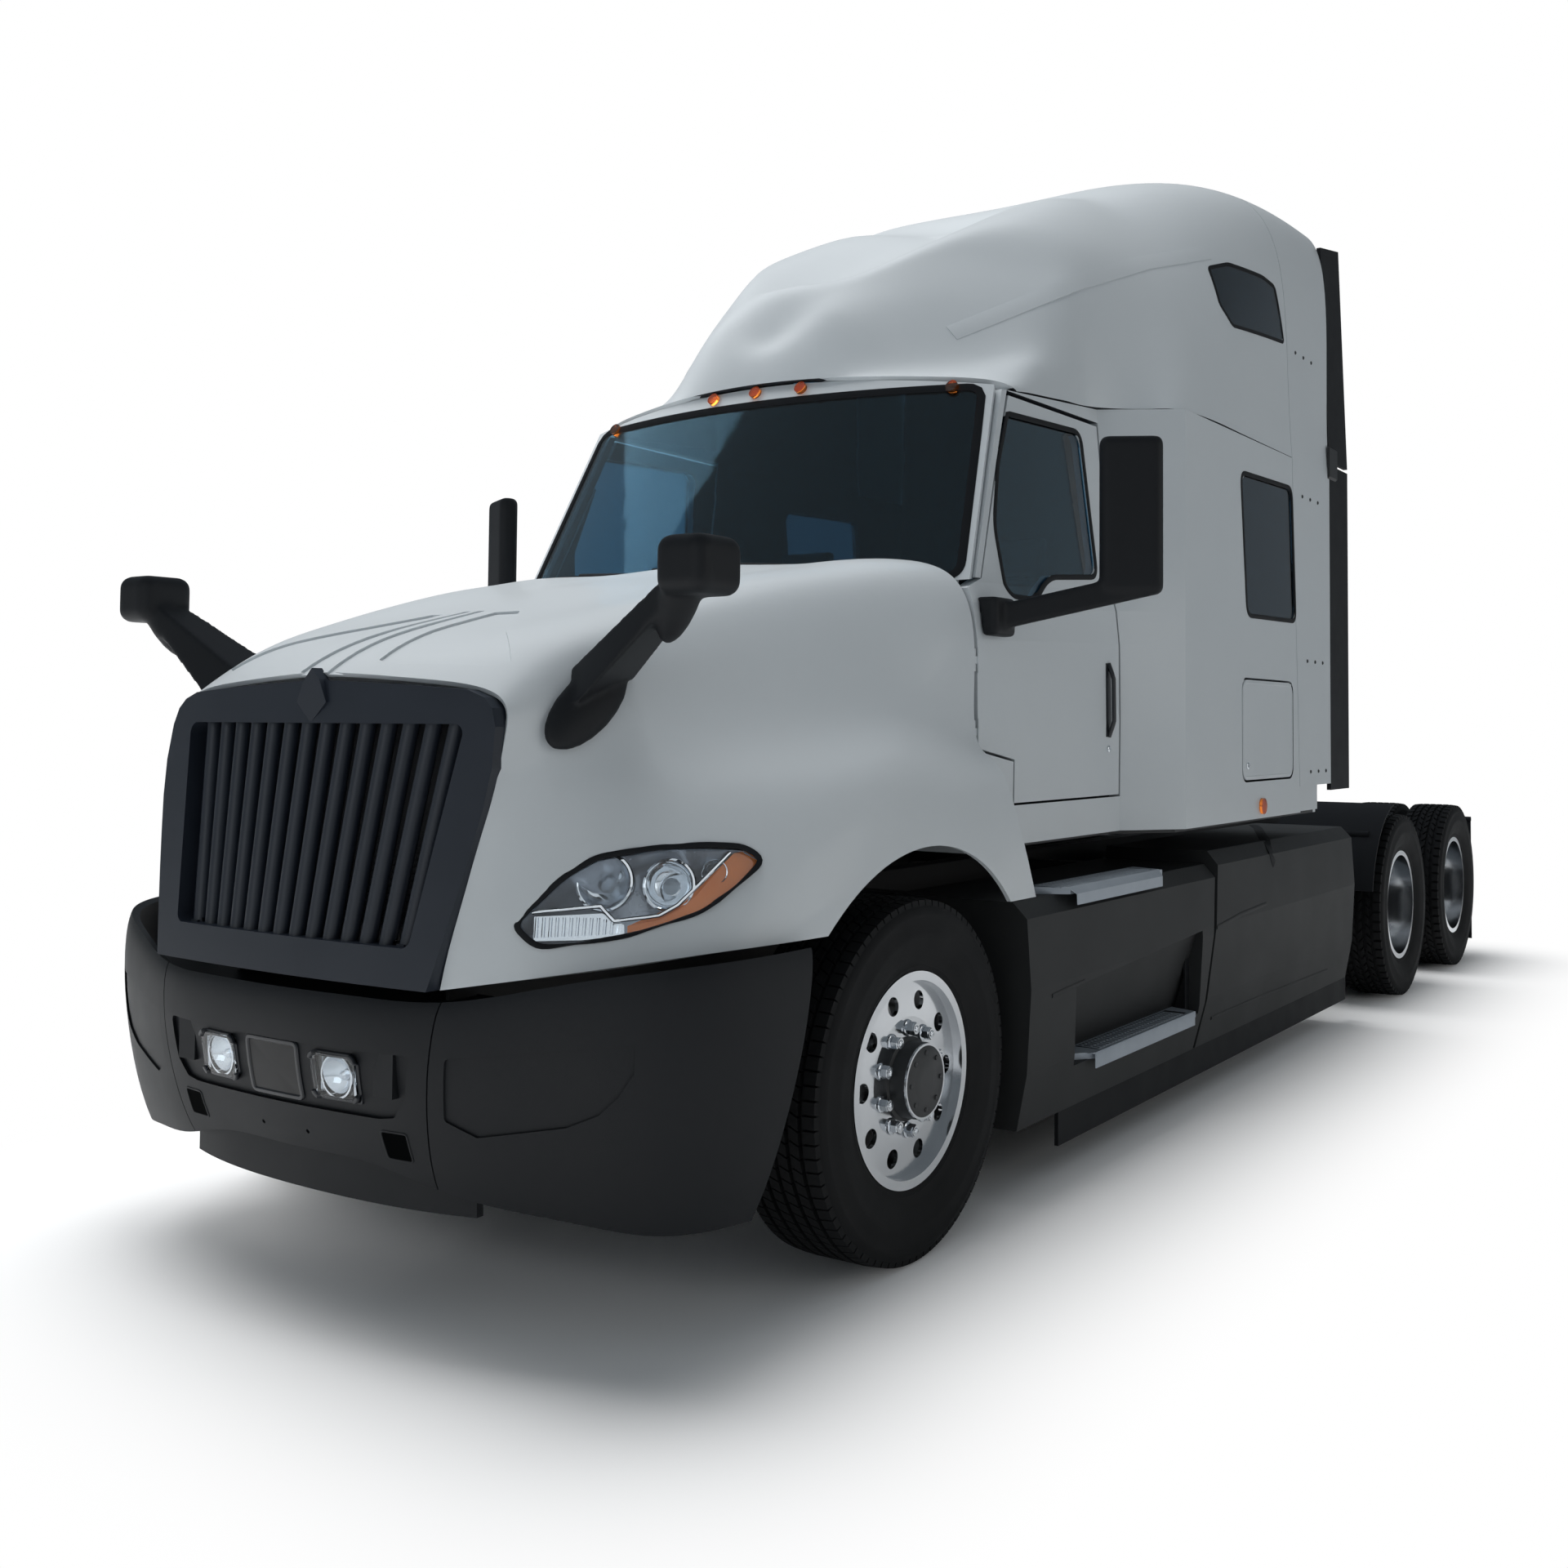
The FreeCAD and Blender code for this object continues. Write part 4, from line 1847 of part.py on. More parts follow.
def main():
    os.makedirs("parts", exist_ok=True)
    hood = hood_shell()
    door = door_left()
    save("frame_rails", *frame_rails())
    save("crossmembers", *crossmembers())
    save("deck_plate", deck_plate())
    save("engine_block", engine_block())
    save("driveline", *driveline())
    save("radiator", radiator())
    save("front_axle", front_axle())
    save("knuckle_left", knuckle(1))
    save("knuckle_right", knuckle(-1))
    save("tie_rod", tie_rod())
    tyre_solid, rim_solid = front_wheel()
    save("tyre_front_left", tyre_solid)
    save("rim_front_left", rim_solid)
    save("tyre_front_right", mirrored(tyre_solid))
    save("rim_front_right", mirrored(rim_solid))
    for name, y in zip(("drive_one", "drive_two"), axle_stations()):
        tyres, wheels = drive_wheel(y)
        save("tyres_" + name + "_left", *tyres)
        save("rims_" + name + "_left", wheels)
        save("tyres_" + name + "_right", *[mirrored(t) for t in tyres])
        save("rims_" + name + "_right", mirrored(wheels))
    save("drive_axles", *drive_axles())
    save("rear_suspension", *rear_suspension())
    save("coupling_base", *coupling_base())
    save("coupling_plate", coupling_plate())
    save("cab_floor", cab_floor())
    save("cab_front", cab_front())
    save("windshield", windshield())
    save("cab_sides", *both(cab_side_left()))
    save("cab_rear_wall", cab_rear_wall())
    save("sleeper_windows", *sleeper_windows())
    save("roof_cap", roof_cap())
    save("side_extenders", *side_extenders())
    save("extender_flaps", *extender_flaps())
    glass_left = door_glass_left()
    mirror = door_mirror(door)
    hatch = hatch_left()
    for side, turn in (("left", lambda s: s), ("right", mirrored)):
        save("door_" + side, turn(door))
        save("door_glass_" + side, turn(glass_left))
        save("mirror_" + side, turn(mirror))
        save("luggage_hatch_" + side, turn(hatch))
    save("hood_shell", hood)
    save("grille", grille(hood))
    save("headlamps", *headlamps(hood_skin()))
    save("hood_mirrors", *hood_mirrors(hood))
    save("bumper", *bumper())
    save("fog_lamps", *fog_lamps())
    save("side_fairings", *side_fairings())
    save("step_treads", *step_treads())
    save("rubber_skirts", *rubber_skirts())
    save("fuel_tanks", *fuel_tanks())
    save("mud_guards", *mud_guards())
    save("seats", *seats())
    save("dashboard", dashboard())
    save("bunk", bunk())
    save("marker_lamps", *marker_lamps())
    save("tail_lamps", *tail_lamps())


def side_fairings():
    """Left and right fairings over the steps and over the tank."""
    return both(step_fairing()) + both(tank_fairing())


if __name__ == "__main__":
    main()
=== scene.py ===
from math import cos, pi, radians, sin, sqrt, tau
import bmesh
import bpy
from mathutils import Matrix, Vector
from mathutils.bvhtree import BVHTree


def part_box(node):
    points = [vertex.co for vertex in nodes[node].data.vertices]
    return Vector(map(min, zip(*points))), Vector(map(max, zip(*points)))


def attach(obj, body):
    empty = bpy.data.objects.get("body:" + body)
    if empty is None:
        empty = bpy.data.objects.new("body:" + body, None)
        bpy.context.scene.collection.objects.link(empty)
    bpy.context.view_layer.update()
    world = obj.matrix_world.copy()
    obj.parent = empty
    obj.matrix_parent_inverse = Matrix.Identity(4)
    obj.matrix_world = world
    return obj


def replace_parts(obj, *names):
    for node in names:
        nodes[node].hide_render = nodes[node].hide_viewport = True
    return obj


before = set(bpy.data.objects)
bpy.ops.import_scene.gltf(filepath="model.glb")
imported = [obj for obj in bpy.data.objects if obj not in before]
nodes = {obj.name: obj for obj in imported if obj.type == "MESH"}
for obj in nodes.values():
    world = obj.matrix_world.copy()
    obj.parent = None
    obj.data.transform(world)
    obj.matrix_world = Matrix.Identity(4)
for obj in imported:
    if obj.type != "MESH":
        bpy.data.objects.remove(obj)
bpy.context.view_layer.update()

scene = bpy.context.scene

# The truck faces -Y, its left side is +X. Stations run rearwards from the front axle,
# which lies this far from the middle of the footprint.
AXLE_TO_MIDDLE = 2.9295
HUB_HEIGHT = 0.510
DRIVE_STATIONS = (5.219, 6.539)
# Clear of the truck: in front of its bumper, beside it and behind it
AHEAD, BESIDE, BEHIND = -1.6, 2.0, 8.0
LEFT, REARWARD, UP = Vector((1, 0, 0)), Vector((0, 1, 0)), Vector((0, 0, 1))


def at(x, y, z):
    """A point given by its station, in the frame's own coordinates."""
    return Vector((x, y - AXLE_TO_MIDDLE, z))


def placed(name, data):
    """A new object with this data, in the scene."""
    made = bpy.data.objects.new(name, data)
    scene.collection.objects.link(made)
    return made


# Camera, from the photograph's perspective, in metres, degrees and the picture's pixels
CAMERA_PLACE = at(3.459, -3.763, 1.515)
CAMERA_YAW, CAMERA_PITCH, CAMERA_ROLL = radians(32.363), radians(-2.382), radians(0.361)
PICTURE = 1920
FOCAL_PIXELS = 1890.59
MIDDLE_U, MIDDLE_V = 1091.73, 807.31
SENSOR_WIDTH = 36
SIGHT_END = 200


def camera_axes():
    a, e = CAMERA_YAW, CAMERA_PITCH
    back = Vector((sin(a) * cos(e), -cos(a) * cos(e), sin(e)))
    right = Vector((cos(a), sin(a), 0))
    up = back.cross(right)
    c, s = cos(CAMERA_ROLL), sin(CAMERA_ROLL)
    return right * c + up * s, up * c - right * s, back


def sight(u, v):
    """The direction of sight through a point of the 1920 x 1920 picture."""
    right, up, back = camera_axes()
    ray = right * ((u - MIDDLE_U) / FOCAL_PIXELS) - up * ((v - MIDDLE_V) / FOCAL_PIXELS) - back
    return ray.normalized()


def add_camera():
    data = bpy.data.cameras.new("camera")
    data.sensor_width = SENSOR_WIDTH
    data.lens = FOCAL_PIXELS / PICTURE * data.sensor_width
    data.shift_x = -(MIDDLE_U - PICTURE / 2) / PICTURE
    data.shift_y = -(PICTURE / 2 - MIDDLE_V) / PICTURE
    data.clip_end = SIGHT_END
    camera = placed("camera", data)
    right, up, back = camera_axes()
    turn = Matrix((right, up, back)).transposed().to_4x4()
    camera.matrix_world = Matrix.Translation(CAMERA_PLACE) @ turn
    scene.camera = camera


add_camera()


# Shader groups shared by the finishes
def socket(tree, name, kind, way, value=None):
    item = tree.interface.new_socket(name=name, in_out=way, socket_type="NodeSocket" + kind)
    if value is not None:
        item.default_value = value


def node(tree, kind, inputs=None, **settings):
    made = tree.nodes.new(kind)
    for key, value in settings.items():
        setattr(made, key, value)
    for key, value in (inputs or {}).items():
        if isinstance(value, bpy.types.NodeSocket):
            tree.links.new(value, made.inputs[key])
        else:
            made.inputs[key].default_value = value
    return made


def math_node(tree, operation, a, b=0.0, clamp=False):
    made = node(tree, "ShaderNodeMath", {0: a, 1: b}, operation=operation, use_clamp=clamp)
    return made.outputs[0]


def make_grain_group():
    """Fine grain for bump, and slow cloudy shade for colour and gloss."""
    tree = bpy.data.node_groups.new("surface_grain", "ShaderNodeTree")
    socket(tree, "Grain Scale", "Float", "INPUT", 400)
    socket(tree, "Cloud Scale", "Float", "INPUT", 2)
    socket(tree, "Height", "Float", "OUTPUT")
    socket(tree, "Cloud", "Float", "OUTPUT")
    start = tree.nodes.new("NodeGroupInput")
    end = tree.nodes.new("NodeGroupOutput")
    place = tree.nodes.new("ShaderNodeTexCoord").outputs["Object"]
    fine = node(tree, "ShaderNodeTexNoise", {"Vector": place, "Scale": start.outputs[0],
                                             "Detail": 3.0, "Roughness": 0.6})
    cloud = node(tree, "ShaderNodeTexNoise", {"Vector": place, "Scale": start.outputs[1],
                                              "Detail": 4.0, "Roughness": 0.55})
    tree.links.new(fine.outputs[0], end.inputs["Height"])
    tree.links.new(cloud.outputs[0], end.inputs["Cloud"])
    return tree


def make_dust_group():
    """Road film that thickens towards the ground, in clouds."""
    tree = bpy.data.node_groups.new("road_film", "ShaderNodeTree")
    socket(tree, "Colour", "Color", "INPUT", (0.8, 0.8, 0.8, 1))
    socket(tree, "Film Colour", "Color", "INPUT", (0.3, 0.28, 0.25, 1))
    socket(tree, "Top", "Float", "INPUT", 1.5)
    socket(tree, "Amount", "Float", "INPUT", 0.3)
    socket(tree, "Colour", "Color", "OUTPUT")
    socket(tree, "Mask", "Float", "OUTPUT")
    start = tree.nodes.new("NodeGroupInput")
    end = tree.nodes.new("NodeGroupOutput")
    place = tree.nodes.new("ShaderNodeTexCoord").outputs["Object"]
    height = node(tree, "ShaderNodeSeparateXYZ", {0: place}).outputs["Z"]
    low = math_node(tree, "DIVIDE", height, start.outputs["Top"])
    low = math_node(tree, "SUBTRACT", 1.0, low, clamp=True)
    cloud = node(tree, "ShaderNodeTexNoise", {"Vector": place, "Scale": 3.1, "Detail": 6.0,
                                              "Roughness": 0.62})
    # Noise lies round a half, so this brings the clouds near one
    cloudy = math_node(tree, "MULTIPLY", cloud.outputs[0], 1.7)
    mask = math_node(tree, "MULTIPLY", low, cloudy)
    mask = math_node(tree, "MULTIPLY", mask, start.outputs["Amount"], clamp=True)
    mix = node(tree, "ShaderNodeMix", data_type="RGBA")
    tree.links.new(mask, mix.inputs["Factor"])
    tree.links.new(start.outputs["Colour"], mix.inputs["A"])
    tree.links.new(start.outputs["Film Colour"], mix.inputs["B"])
    tree.links.new(mix.outputs["Result"], end.inputs["Colour"])
    tree.links.new(mask, end.inputs["Mask"])
    return tree


GRAIN = make_grain_group()
FILM = make_dust_group()
RELIEF_DEPTH = 0.002
FILM_ROUGHNESS = 0.35


def linear(r, g, b):
    """A written sRGB colour, 0 to 255, as the renderer's linear values."""
    def channel(v):
        v = v / 255
        return v / 12.92 if v <= 0.04045 else ((v + 0.055) / 1.055) ** 2.4
    return (channel(r), channel(g), channel(b), 1.0)


def finish(name, light, dark, rough, rough_spread=0.1, grain=400, bump=0.05, cloud=2.0,
           film=None, film_top=1.4, film_colour=(96, 90, 82), **sockets):
    """A finish whose colour drifts between two tones and whose grain stands in relief."""
    made = bpy.data.materials.new(name)
    made.use_nodes = True
    tree = made.node_tree
    shader = tree.nodes["Principled BSDF"]
    surface = node(tree, "ShaderNodeGroup", node_tree=GRAIN)
    surface.inputs["Grain Scale"].default_value = grain
    surface.inputs["Cloud Scale"].default_value = cloud
    mix = node(tree, "ShaderNodeMix", {"Factor": surface.outputs["Cloud"]}, data_type="RGBA")
    mix.inputs["A"].default_value = linear(*dark)
    mix.inputs["B"].default_value = linear(*light)
    colour = mix.outputs["Result"]
    roughness = node(tree, "ShaderNodeMapRange", {"Value": surface.outputs["Cloud"],
                                                  "To Min": rough - rough_spread,
                                                  "To Max": rough + rough_spread}).outputs[0]
    if film:
        dusty = node(tree, "ShaderNodeGroup", node_tree=FILM)
        tree.links.new(colour, dusty.inputs["Colour"])
        dusty.inputs["Film Colour"].default_value = linear(*film_colour)
        dusty.inputs["Top"].default_value = film_top
        dusty.inputs["Amount"].default_value = film
        colour = dusty.outputs["Colour"]
        roughness = math_node(tree, "ADD", roughness,
                              math_node(tree, "MULTIPLY", dusty.outputs["Mask"],
                                        FILM_ROUGHNESS), True)
    tree.links.new(colour, shader.inputs["Base Color"])
    tree.links.new(roughness, shader.inputs["Roughness"])
    relief = node(tree, "ShaderNodeBump", {"Height": surface.outputs["Height"],
                                           "Strength": bump, "Distance": RELIEF_DEPTH})
    tree.links.new(relief.outputs[0], shader.inputs["Normal"])
    for key, value in sockets.items():
        shader.inputs[key.replace("_", " ")].default_value = value
    return made


PAINT = finish("white_paint", (206, 211, 214), (198, 204, 208), 0.4, 0.05, 900, 0.02, 1.2,
               film=0.22, film_top=1.9, film_colour=(168, 164, 156), Coat_Weight=0.3,
               Coat_Roughness=0.12)
CAB_MIDDLE = at(0, 2.1, 2.2)


def make_lining_group():
    """Tells the faces that look to the cab's middle, which wear a dark lining."""
    tree = bpy.data.node_groups.new("cab_lining", "ShaderNodeTree")
    socket(tree, "Inside", "Float", "OUTPUT")
    end = tree.nodes.new("NodeGroupOutput")
    place = tree.nodes.new("ShaderNodeTexCoord").outputs["Object"]
    facing = node(tree, "ShaderNodeNewGeometry").outputs["True Normal"]
    out = node(tree, "ShaderNodeVectorMath", {0: place, 1: CAB_MIDDLE},
               operation="SUBTRACT").outputs[0]
    dot = node(tree, "ShaderNodeVectorMath", {0: out, 1: facing},
               operation="DOT_PRODUCT").outputs["Value"]
    tree.links.new(math_node(tree, "LESS_THAN", dot, -0.05), end.inputs[0])
    return tree


def lined(paint, name, tone, rough):
    """The same paint outside, with a lining on the faces that look inwards."""
    made = paint.copy()
    made.name = name
    tree = made.node_tree
    shader = tree.nodes["Principled BSDF"]
    inside = node(tree, "ShaderNodeGroup", node_tree=LINING).outputs[0]
    mix = node(tree, "ShaderNodeMix", {"Factor": inside}, data_type="RGBA")
    tree.links.new(shader.inputs["Base Color"].links[0].from_socket, mix.inputs["A"])
    mix.inputs["B"].default_value = linear(*tone)
    tree.links.new(mix.outputs["Result"], shader.inputs["Base Color"])
    blend = node(tree, "ShaderNodeMix", {"Factor": inside, "B": rough}, data_type="FLOAT")
    tree.links.new(shader.inputs["Roughness"].links[0].from_socket, blend.inputs["A"])
    tree.links.new(blend.outputs["Result"], shader.inputs["Roughness"])
    return made


LINING = make_lining_group()
CAB_PAINT = lined(PAINT, "cab_paint", (30, 34, 40), 0.9)
CHARCOAL = finish("charcoal_plastic", (40, 41, 42), (32, 33, 34), 0.56, 0.08, 700, 0.16, 3,
                  film=0.2, film_top=1.0, film_colour=(50, 49, 47), Specular_IOR_Level=0.35)
BUMPER = finish("bumper_plastic", (19, 22, 26), (14, 16, 20), 0.56, 0.08, 700, 0.16, 3,
                film=0.14, film_top=0.9, film_colour=(40, 40, 39), Specular_IOR_Level=0.3)
SENSOR = finish("sensor_cover", (9, 10, 12), (6, 7, 8), 0.3, 0.04, 300, 0.02, 5,
                Specular_IOR_Level=0.25)
GRILLE = finish("grille_plastic", (36, 42, 52), (27, 32, 41), 0.4, 0.08, 900, 0.06, 4,
                film=0.08, film_top=1.6, film_colour=(60, 60, 60))
STEEL = finish("black_steel", (44, 45, 47), (30, 31, 33), 0.55, 0.12, 160, 0.12, 5,
               film=0.4, film_top=1.2, film_colour=(84, 76, 66))
CAST = finish("cast_metal", (70, 70, 70), (48, 48, 49), 0.62, 0.1, 120, 0.3, 6,
              film=0.5, film_top=1.1, film_colour=(92, 82, 70), Metallic=0.4)
ALUMINIUM = finish("polished_aluminium", (226, 228, 230), (205, 208, 212), 0.14, 0.06, 300,
                   0.03, 8, film=0.1, film_top=0.9, film_colour=(120, 112, 102), Metallic=1.0)
TREAD = finish("tread_aluminium", (176, 184, 192), (150, 158, 168), 0.42, 0.1, 500, 0.15, 9,
               Metallic=0.25)
TYRE = finish("tyre_rubber", (15, 16, 18), (9, 10, 12), 0.72, 0.1, 240, 0.18, 7,
              film=0.16, film_top=1.1, film_colour=(36, 35, 33), Specular_IOR_Level=0.25)
RUBBER = finish("rubber", (20, 22, 26), (13, 15, 18), 0.66, 0.1, 300, 0.1, 6,
                film=0.1, film_top=1.2, film_colour=(42, 41, 39), Specular_IOR_Level=0.3)
FABRIC = finish("trim_fabric", (62, 65, 70), (46, 49, 54), 0.9, 0.05, 1400, 0.5, 12,
                Sheen_Weight=0.35)
CABIN = finish("trim_plastic", (40, 43, 47), (31, 34, 38), 0.7, 0.06, 800, 0.2, 5)
CHROME = finish("chrome", (232, 236, 240), (214, 218, 224), 0.06, 0.03, 200, 0.01, 9,
                Metallic=1.0)
GREASE = finish("greased_steel", (62, 58, 50), (36, 34, 32), 0.3, 0.14, 60, 0.5, 9,
                Metallic=0.7)
HUB = finish("hub_black", (42, 44, 47), (30, 32, 35), 0.38, 0.08, 300, 0.06, 6, film=0.3,
             film_top=0.9, film_colour=(74, 70, 64))
SILVER = finish("lamp_silver", (176, 184, 194), (146, 154, 166), 0.25, 0.08, 300, 0.05, 9,
                Metallic=0.45)
# Near black for plates laid over openings: painted shade that stands in for the dark of their
# depth
HOLLOW_SHADE = finish("painted_hollow_shade", (6, 7, 8), (3, 4, 4), 0.9, 0.05, 300, 0.05, 6,
                Specular_IOR_Level=0.02)
BEZEL = finish("dark_bezel", (34, 37, 42), (26, 28, 33), 0.3, 0.06, 500, 0.05, 5)
GRILLE_DARK = finish("shutter_black", (20, 22, 26), (12, 13, 16), 0.6, 0.08, 300, 0.1, 6)


def clear(name, colour, rough=0.02, **more):
    """A see-through finish, tinted all through and very slightly uneven in its gloss."""
    shade = [c * 0.94 for c in colour]
    return finish(name, colour, shade, rough + 0.01, 0.01, 40, 0.0, 3,
                  Transmission_Weight=1.0, IOR=1.45, **more)


GLASS = clear("tinted_glass", (96, 136, 158), Specular_IOR_Level=0.1)
CAB_GLASS = clear("dark_glass", (62, 86, 104), Specular_IOR_Level=0.32)
LENS = clear("lamp_lens", (238, 243, 246))
AMBER = clear("amber_lens", (236, 132, 52), 0.12)
AMBER_PANEL = finish("amber_panel", (228, 132, 62), (206, 112, 48), 0.24, 0.05, 300, 0.05, 6)
RED = clear("red_lens", (196, 30, 24), 0.12)


# Mesh helpers
def link(name, mesh, material, body="chassis", smooth=True):
    """A finished piece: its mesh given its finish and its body."""
    if smooth:
        mesh.shade_smooth()
    mesh.materials.clear()
    mesh.materials.append(material)
    made = placed(name, mesh)
    if body:
        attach(made, body)
    return made


def mesh_of(name, points, faces):
    mesh = bpy.data.meshes.new(name)
    mesh.from_pydata([tuple(p) for p in points], [], faces)
    return mesh


def as_part(mesh):
    """A mesh's points and faces."""
    return [v.co.copy() for v in mesh.vertices], [tuple(p.vertices) for p in mesh.polygons]


MERGE_REACH = 0.00002
SHARP = 35


def outward(mesh, angle=None):
    """Merges doubles, turns the faces outwards and marks edges past an angle in degrees."""
    work = bmesh.new()
    work.from_mesh(mesh)
    bmesh.ops.remove_doubles(work, verts=work.verts, dist=MERGE_REACH)
    bmesh.ops.recalc_face_normals(work, faces=work.faces)
    work.to_mesh(mesh)
    work.free()
    if angle:
        mesh.shade_smooth()
        mesh.set_sharp_from_angle(angle=radians(angle))
    return mesh


def neighbours(count, ring):
    """Each of count places with the next, the last with the first in a ring."""
    return [(i, (i + 1) % count) for i in range(count if ring else count - 1)]


def grid_faces(rows, columns, ring_rows=False, ring_columns=True):
    """The faces between points that are listed row by row."""
    return [(i * columns + k, i * columns + m, j * columns + m, j * columns + k)
            for i, j in neighbours(rows, ring_rows)
            for k, m in neighbours(columns, ring_columns)]


def end_faces(rows, columns):
    """The two faces that close a run of rings."""
    return [tuple(range(columns))[::-1], tuple(range((rows - 1) * columns, rows * columns))]


def lathe(profile, steps, place):
    """A closed mesh swept round a wheel's axis: (x, radius) points round place."""
    points = [place + Vector((x, r * cos(tau * i / steps), r * sin(tau * i / steps)))
              for i in range(steps) for x, r in profile]
    return points, grid_faces(steps, len(profile), True)


def join_lists(parts):
    points, faces = [], []
    for some_points, some_faces in parts:
        start = len(points)
        points += list(some_points)
        faces += [tuple(i + start for i in face) for face in some_faces]
    return points, faces


def as_it_is(part):
    return part


def flipped(part):
    """The same piece on the truck's right."""
    points, faces = part
    return [Vector((-p.x, p.y, p.z)) for p in points], [face[::-1] for face in faces]


SIDES = (("left", as_it_is), ("right", flipped))


def moved(part, by):
    return [p + by for p in part[0]], part[1]


def heading(path, i, closed=False):
    """The way a path runs at its point i."""
    last = len(path) - 1
    if closed:
        return (path[(i + 1) % len(path)] - path[i - 1]).normalized()
    return (path[min(i + 1, last)] - path[max(i - 1, 0)]).normalized()


def tube(path, radius, sides=8, flat=1.0, facing=None):
    """A bar along points; flat squeezes it along the facing direction."""
    points = []
    for i, p in enumerate(path):
        run = heading(path, i)
        face = facing[i] if facing else UP
        if abs(face.dot(run)) > 0.95:
            face = LEFT
        side = run.cross(face).normalized()
        rise = side.cross(run).normalized()
        for k in range(sides):
            turn = tau * k / sides + pi / sides
            points.append(p + side * (radius * cos(turn)) + rise * (radius * flat * sin(turn)))
    return points, grid_faces(len(path), sides) + end_faces(len(path), sides)


def resample(path, step, closed=False):
    """Points at even steps along a line of points."""
    ring = list(path) + ([path[0]] if closed else [])
    out = [ring[0].copy()]
    for a, b in zip(ring, ring[1:]):
        length = (b - a).length
        parts = max(1, round(length / step))
        out += [a.lerp(b, i / parts) for i in range(1, parts + 1)]
    return out[:-1] if closed else out


SKINS = {}


def skin_of(*names):
    """A tree for finding points on CAD nodes."""
    if names not in SKINS:
        parts = [as_part(nodes[name].data) for name in names]
        SKINS[names] = BVHTree.FromPolygons(*join_lists(parts))
    return SKINS[names]


def press(path, skin, run):
    """Each point carried along run to the skin, with the skin's own normal there."""
    places, normals = [], []
    for p in path:
        hit, normal, _, _ = skin.ray_cast(p, run)
        if hit:
            places.append(hit)
            normals.append(normal if normal.dot(run) < 0 else -normal)
    return places, normals


def picture_path(picture_points, step, closed=False):
    """Points of the picture at even steps along a line through the given ones."""
    path = resample([Vector((u, v, 0)) for u, v in picture_points], step, closed)
    return [(p.x, p.y) for p in path]


def seen(picture_points, skin):
    """Where lines of sight through points of the picture meet the skin."""
    places, normals = [], []
    for u, v in picture_points:
        ray = sight(u, v)
        hit, normal, _, _ = skin.ray_cast(CAMERA_PLACE, ray)
        if hit:
            places.append(hit)
            normals.append(normal if normal.dot(ray) < 0 else -normal)
    return places, normals


# How many neighbours on each side set the level of a point, and which of them does
EVEN_REACH, EVEN_RANK = 4, 2


def seen_evenly(picture_points, skin):
    """The same round a closed line, with deep places over gaps level with their neighbours."""
    rays = [sight(u, v) for u, v in picture_points]
    depths, normals = [], []
    for ray in rays:
        hit, normal, _, _ = skin.ray_cast(CAMERA_PLACE, ray)
        depths.append((hit - CAMERA_PLACE).length if hit else SIGHT_END)
        normals.append(normal if hit and normal.dot(ray) < 0 else -ray)
    n = len(rays)
    places, facings = [], []
    for i, ray in enumerate(rays):
        near = [(i + d) % n for d in range(-EVEN_REACH, EVEN_REACH + 1)]
        level = sorted(depths[k] for k in near)[EVEN_RANK]
        places.append(CAMERA_PLACE + ray * level)
        facings.append(sum((normals[k] for k in near), Vector()).normalized())
    evened = [(places[i - 1] + places[i] * 2 + places[(i + 1) % n]) / 4 for i in range(n)]
    return evened, facings


def piece(name, parts, material, body="chassis", both=False):
    """One object from several lists of points and faces, with its right twin if asked."""
    parts = list(parts)
    if both:
        parts += [flipped(part) for part in parts]
    mesh = mesh_of(name, *join_lists(parts))
    outward(mesh, SHARP)
    return link(name, mesh, material, body, smooth=False)


def pair(stem, parts, material, body, stands_for=None):
    """The same piece left and right, each on the body of its own side."""
    for side, turn in SIDES:
        made = piece(stem + side, [turn(part) for part in parts], material, body + side)
        if stands_for:
            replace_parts(made, stands_for + side)


RIBBON_SECTION = ((-0.5, -0.6), (-0.5, 0.45), (-0.3, 0.9), (0, 1.0), (0.3, 0.9), (0.5, 0.45),
                  (0.5, -0.6))


def ribbon(path, facing, width, height, closed=False):
    """A low rounded strip on a surface, width across and height proud of it."""
    points = []
    for i, p in enumerate(path):
        side = facing[i].cross(heading(path, i, closed)).normalized()
        points += [p + side * (out * width) + facing[i] * (up * height)
                   for out, up in RIBBON_SECTION]
    faces = grid_faces(len(path), len(RIBBON_SECTION), closed)
    if not closed:
        faces += end_faces(len(path), len(RIBBON_SECTION))
    return points, faces


def soft_box(x0, x1, y0, y1, z0, z1, edge=0.0012):
    """A box with all its edges taken off."""
    work = bmesh.new()
    bmesh.ops.create_cube(work, size=1.0)
    low, size = Vector((x0, y0, z0)), Vector((x1 - x0, y1 - y0, z1 - z0))
    for v in work.verts:
        v.co = low + (v.co + Vector((0.5, 0.5, 0.5))) * size
    bmesh.ops.bevel(work, geom=work.edges[:], offset=min(edge, min(size) * 0.3), segments=2,
                    profile=0.5, affect="EDGES")
    mesh = bpy.data.meshes.new("box")
    work.to_mesh(mesh)
    work.free()
    return as_part(mesh)


def slab(outline, z0, z1):
    """A flat plate over a plan outline."""
    n = len(outline)
    points = [at(x, y, z) for z in (z0, z1) for x, y in outline]
    return points, end_faces(2, n) + grid_faces(2, n)


def pulled(profile, y0, y1, slope=0.0):
    """An (x, z) outline run along the truck, its outer ends cut back by a slope."""
    n = len(profile)
    inner = min(x for x, z in profile)
    points = [at(x, y + way * slope * (x - inner), z) for y, way in ((y0, 1), (y1, -1))
              for x, z in profile]
    return points, end_faces(2, n) + grid_faces(2, n)


def settled(holder):
    """The plain mesh that an object's modifiers make of it; the object goes."""
    depsgraph = bpy.context.evaluated_depsgraph_get()
    mesh = bpy.data.meshes.new_from_object(holder.evaluated_get(depsgraph))
    bpy.data.objects.remove(holder)
    return mesh


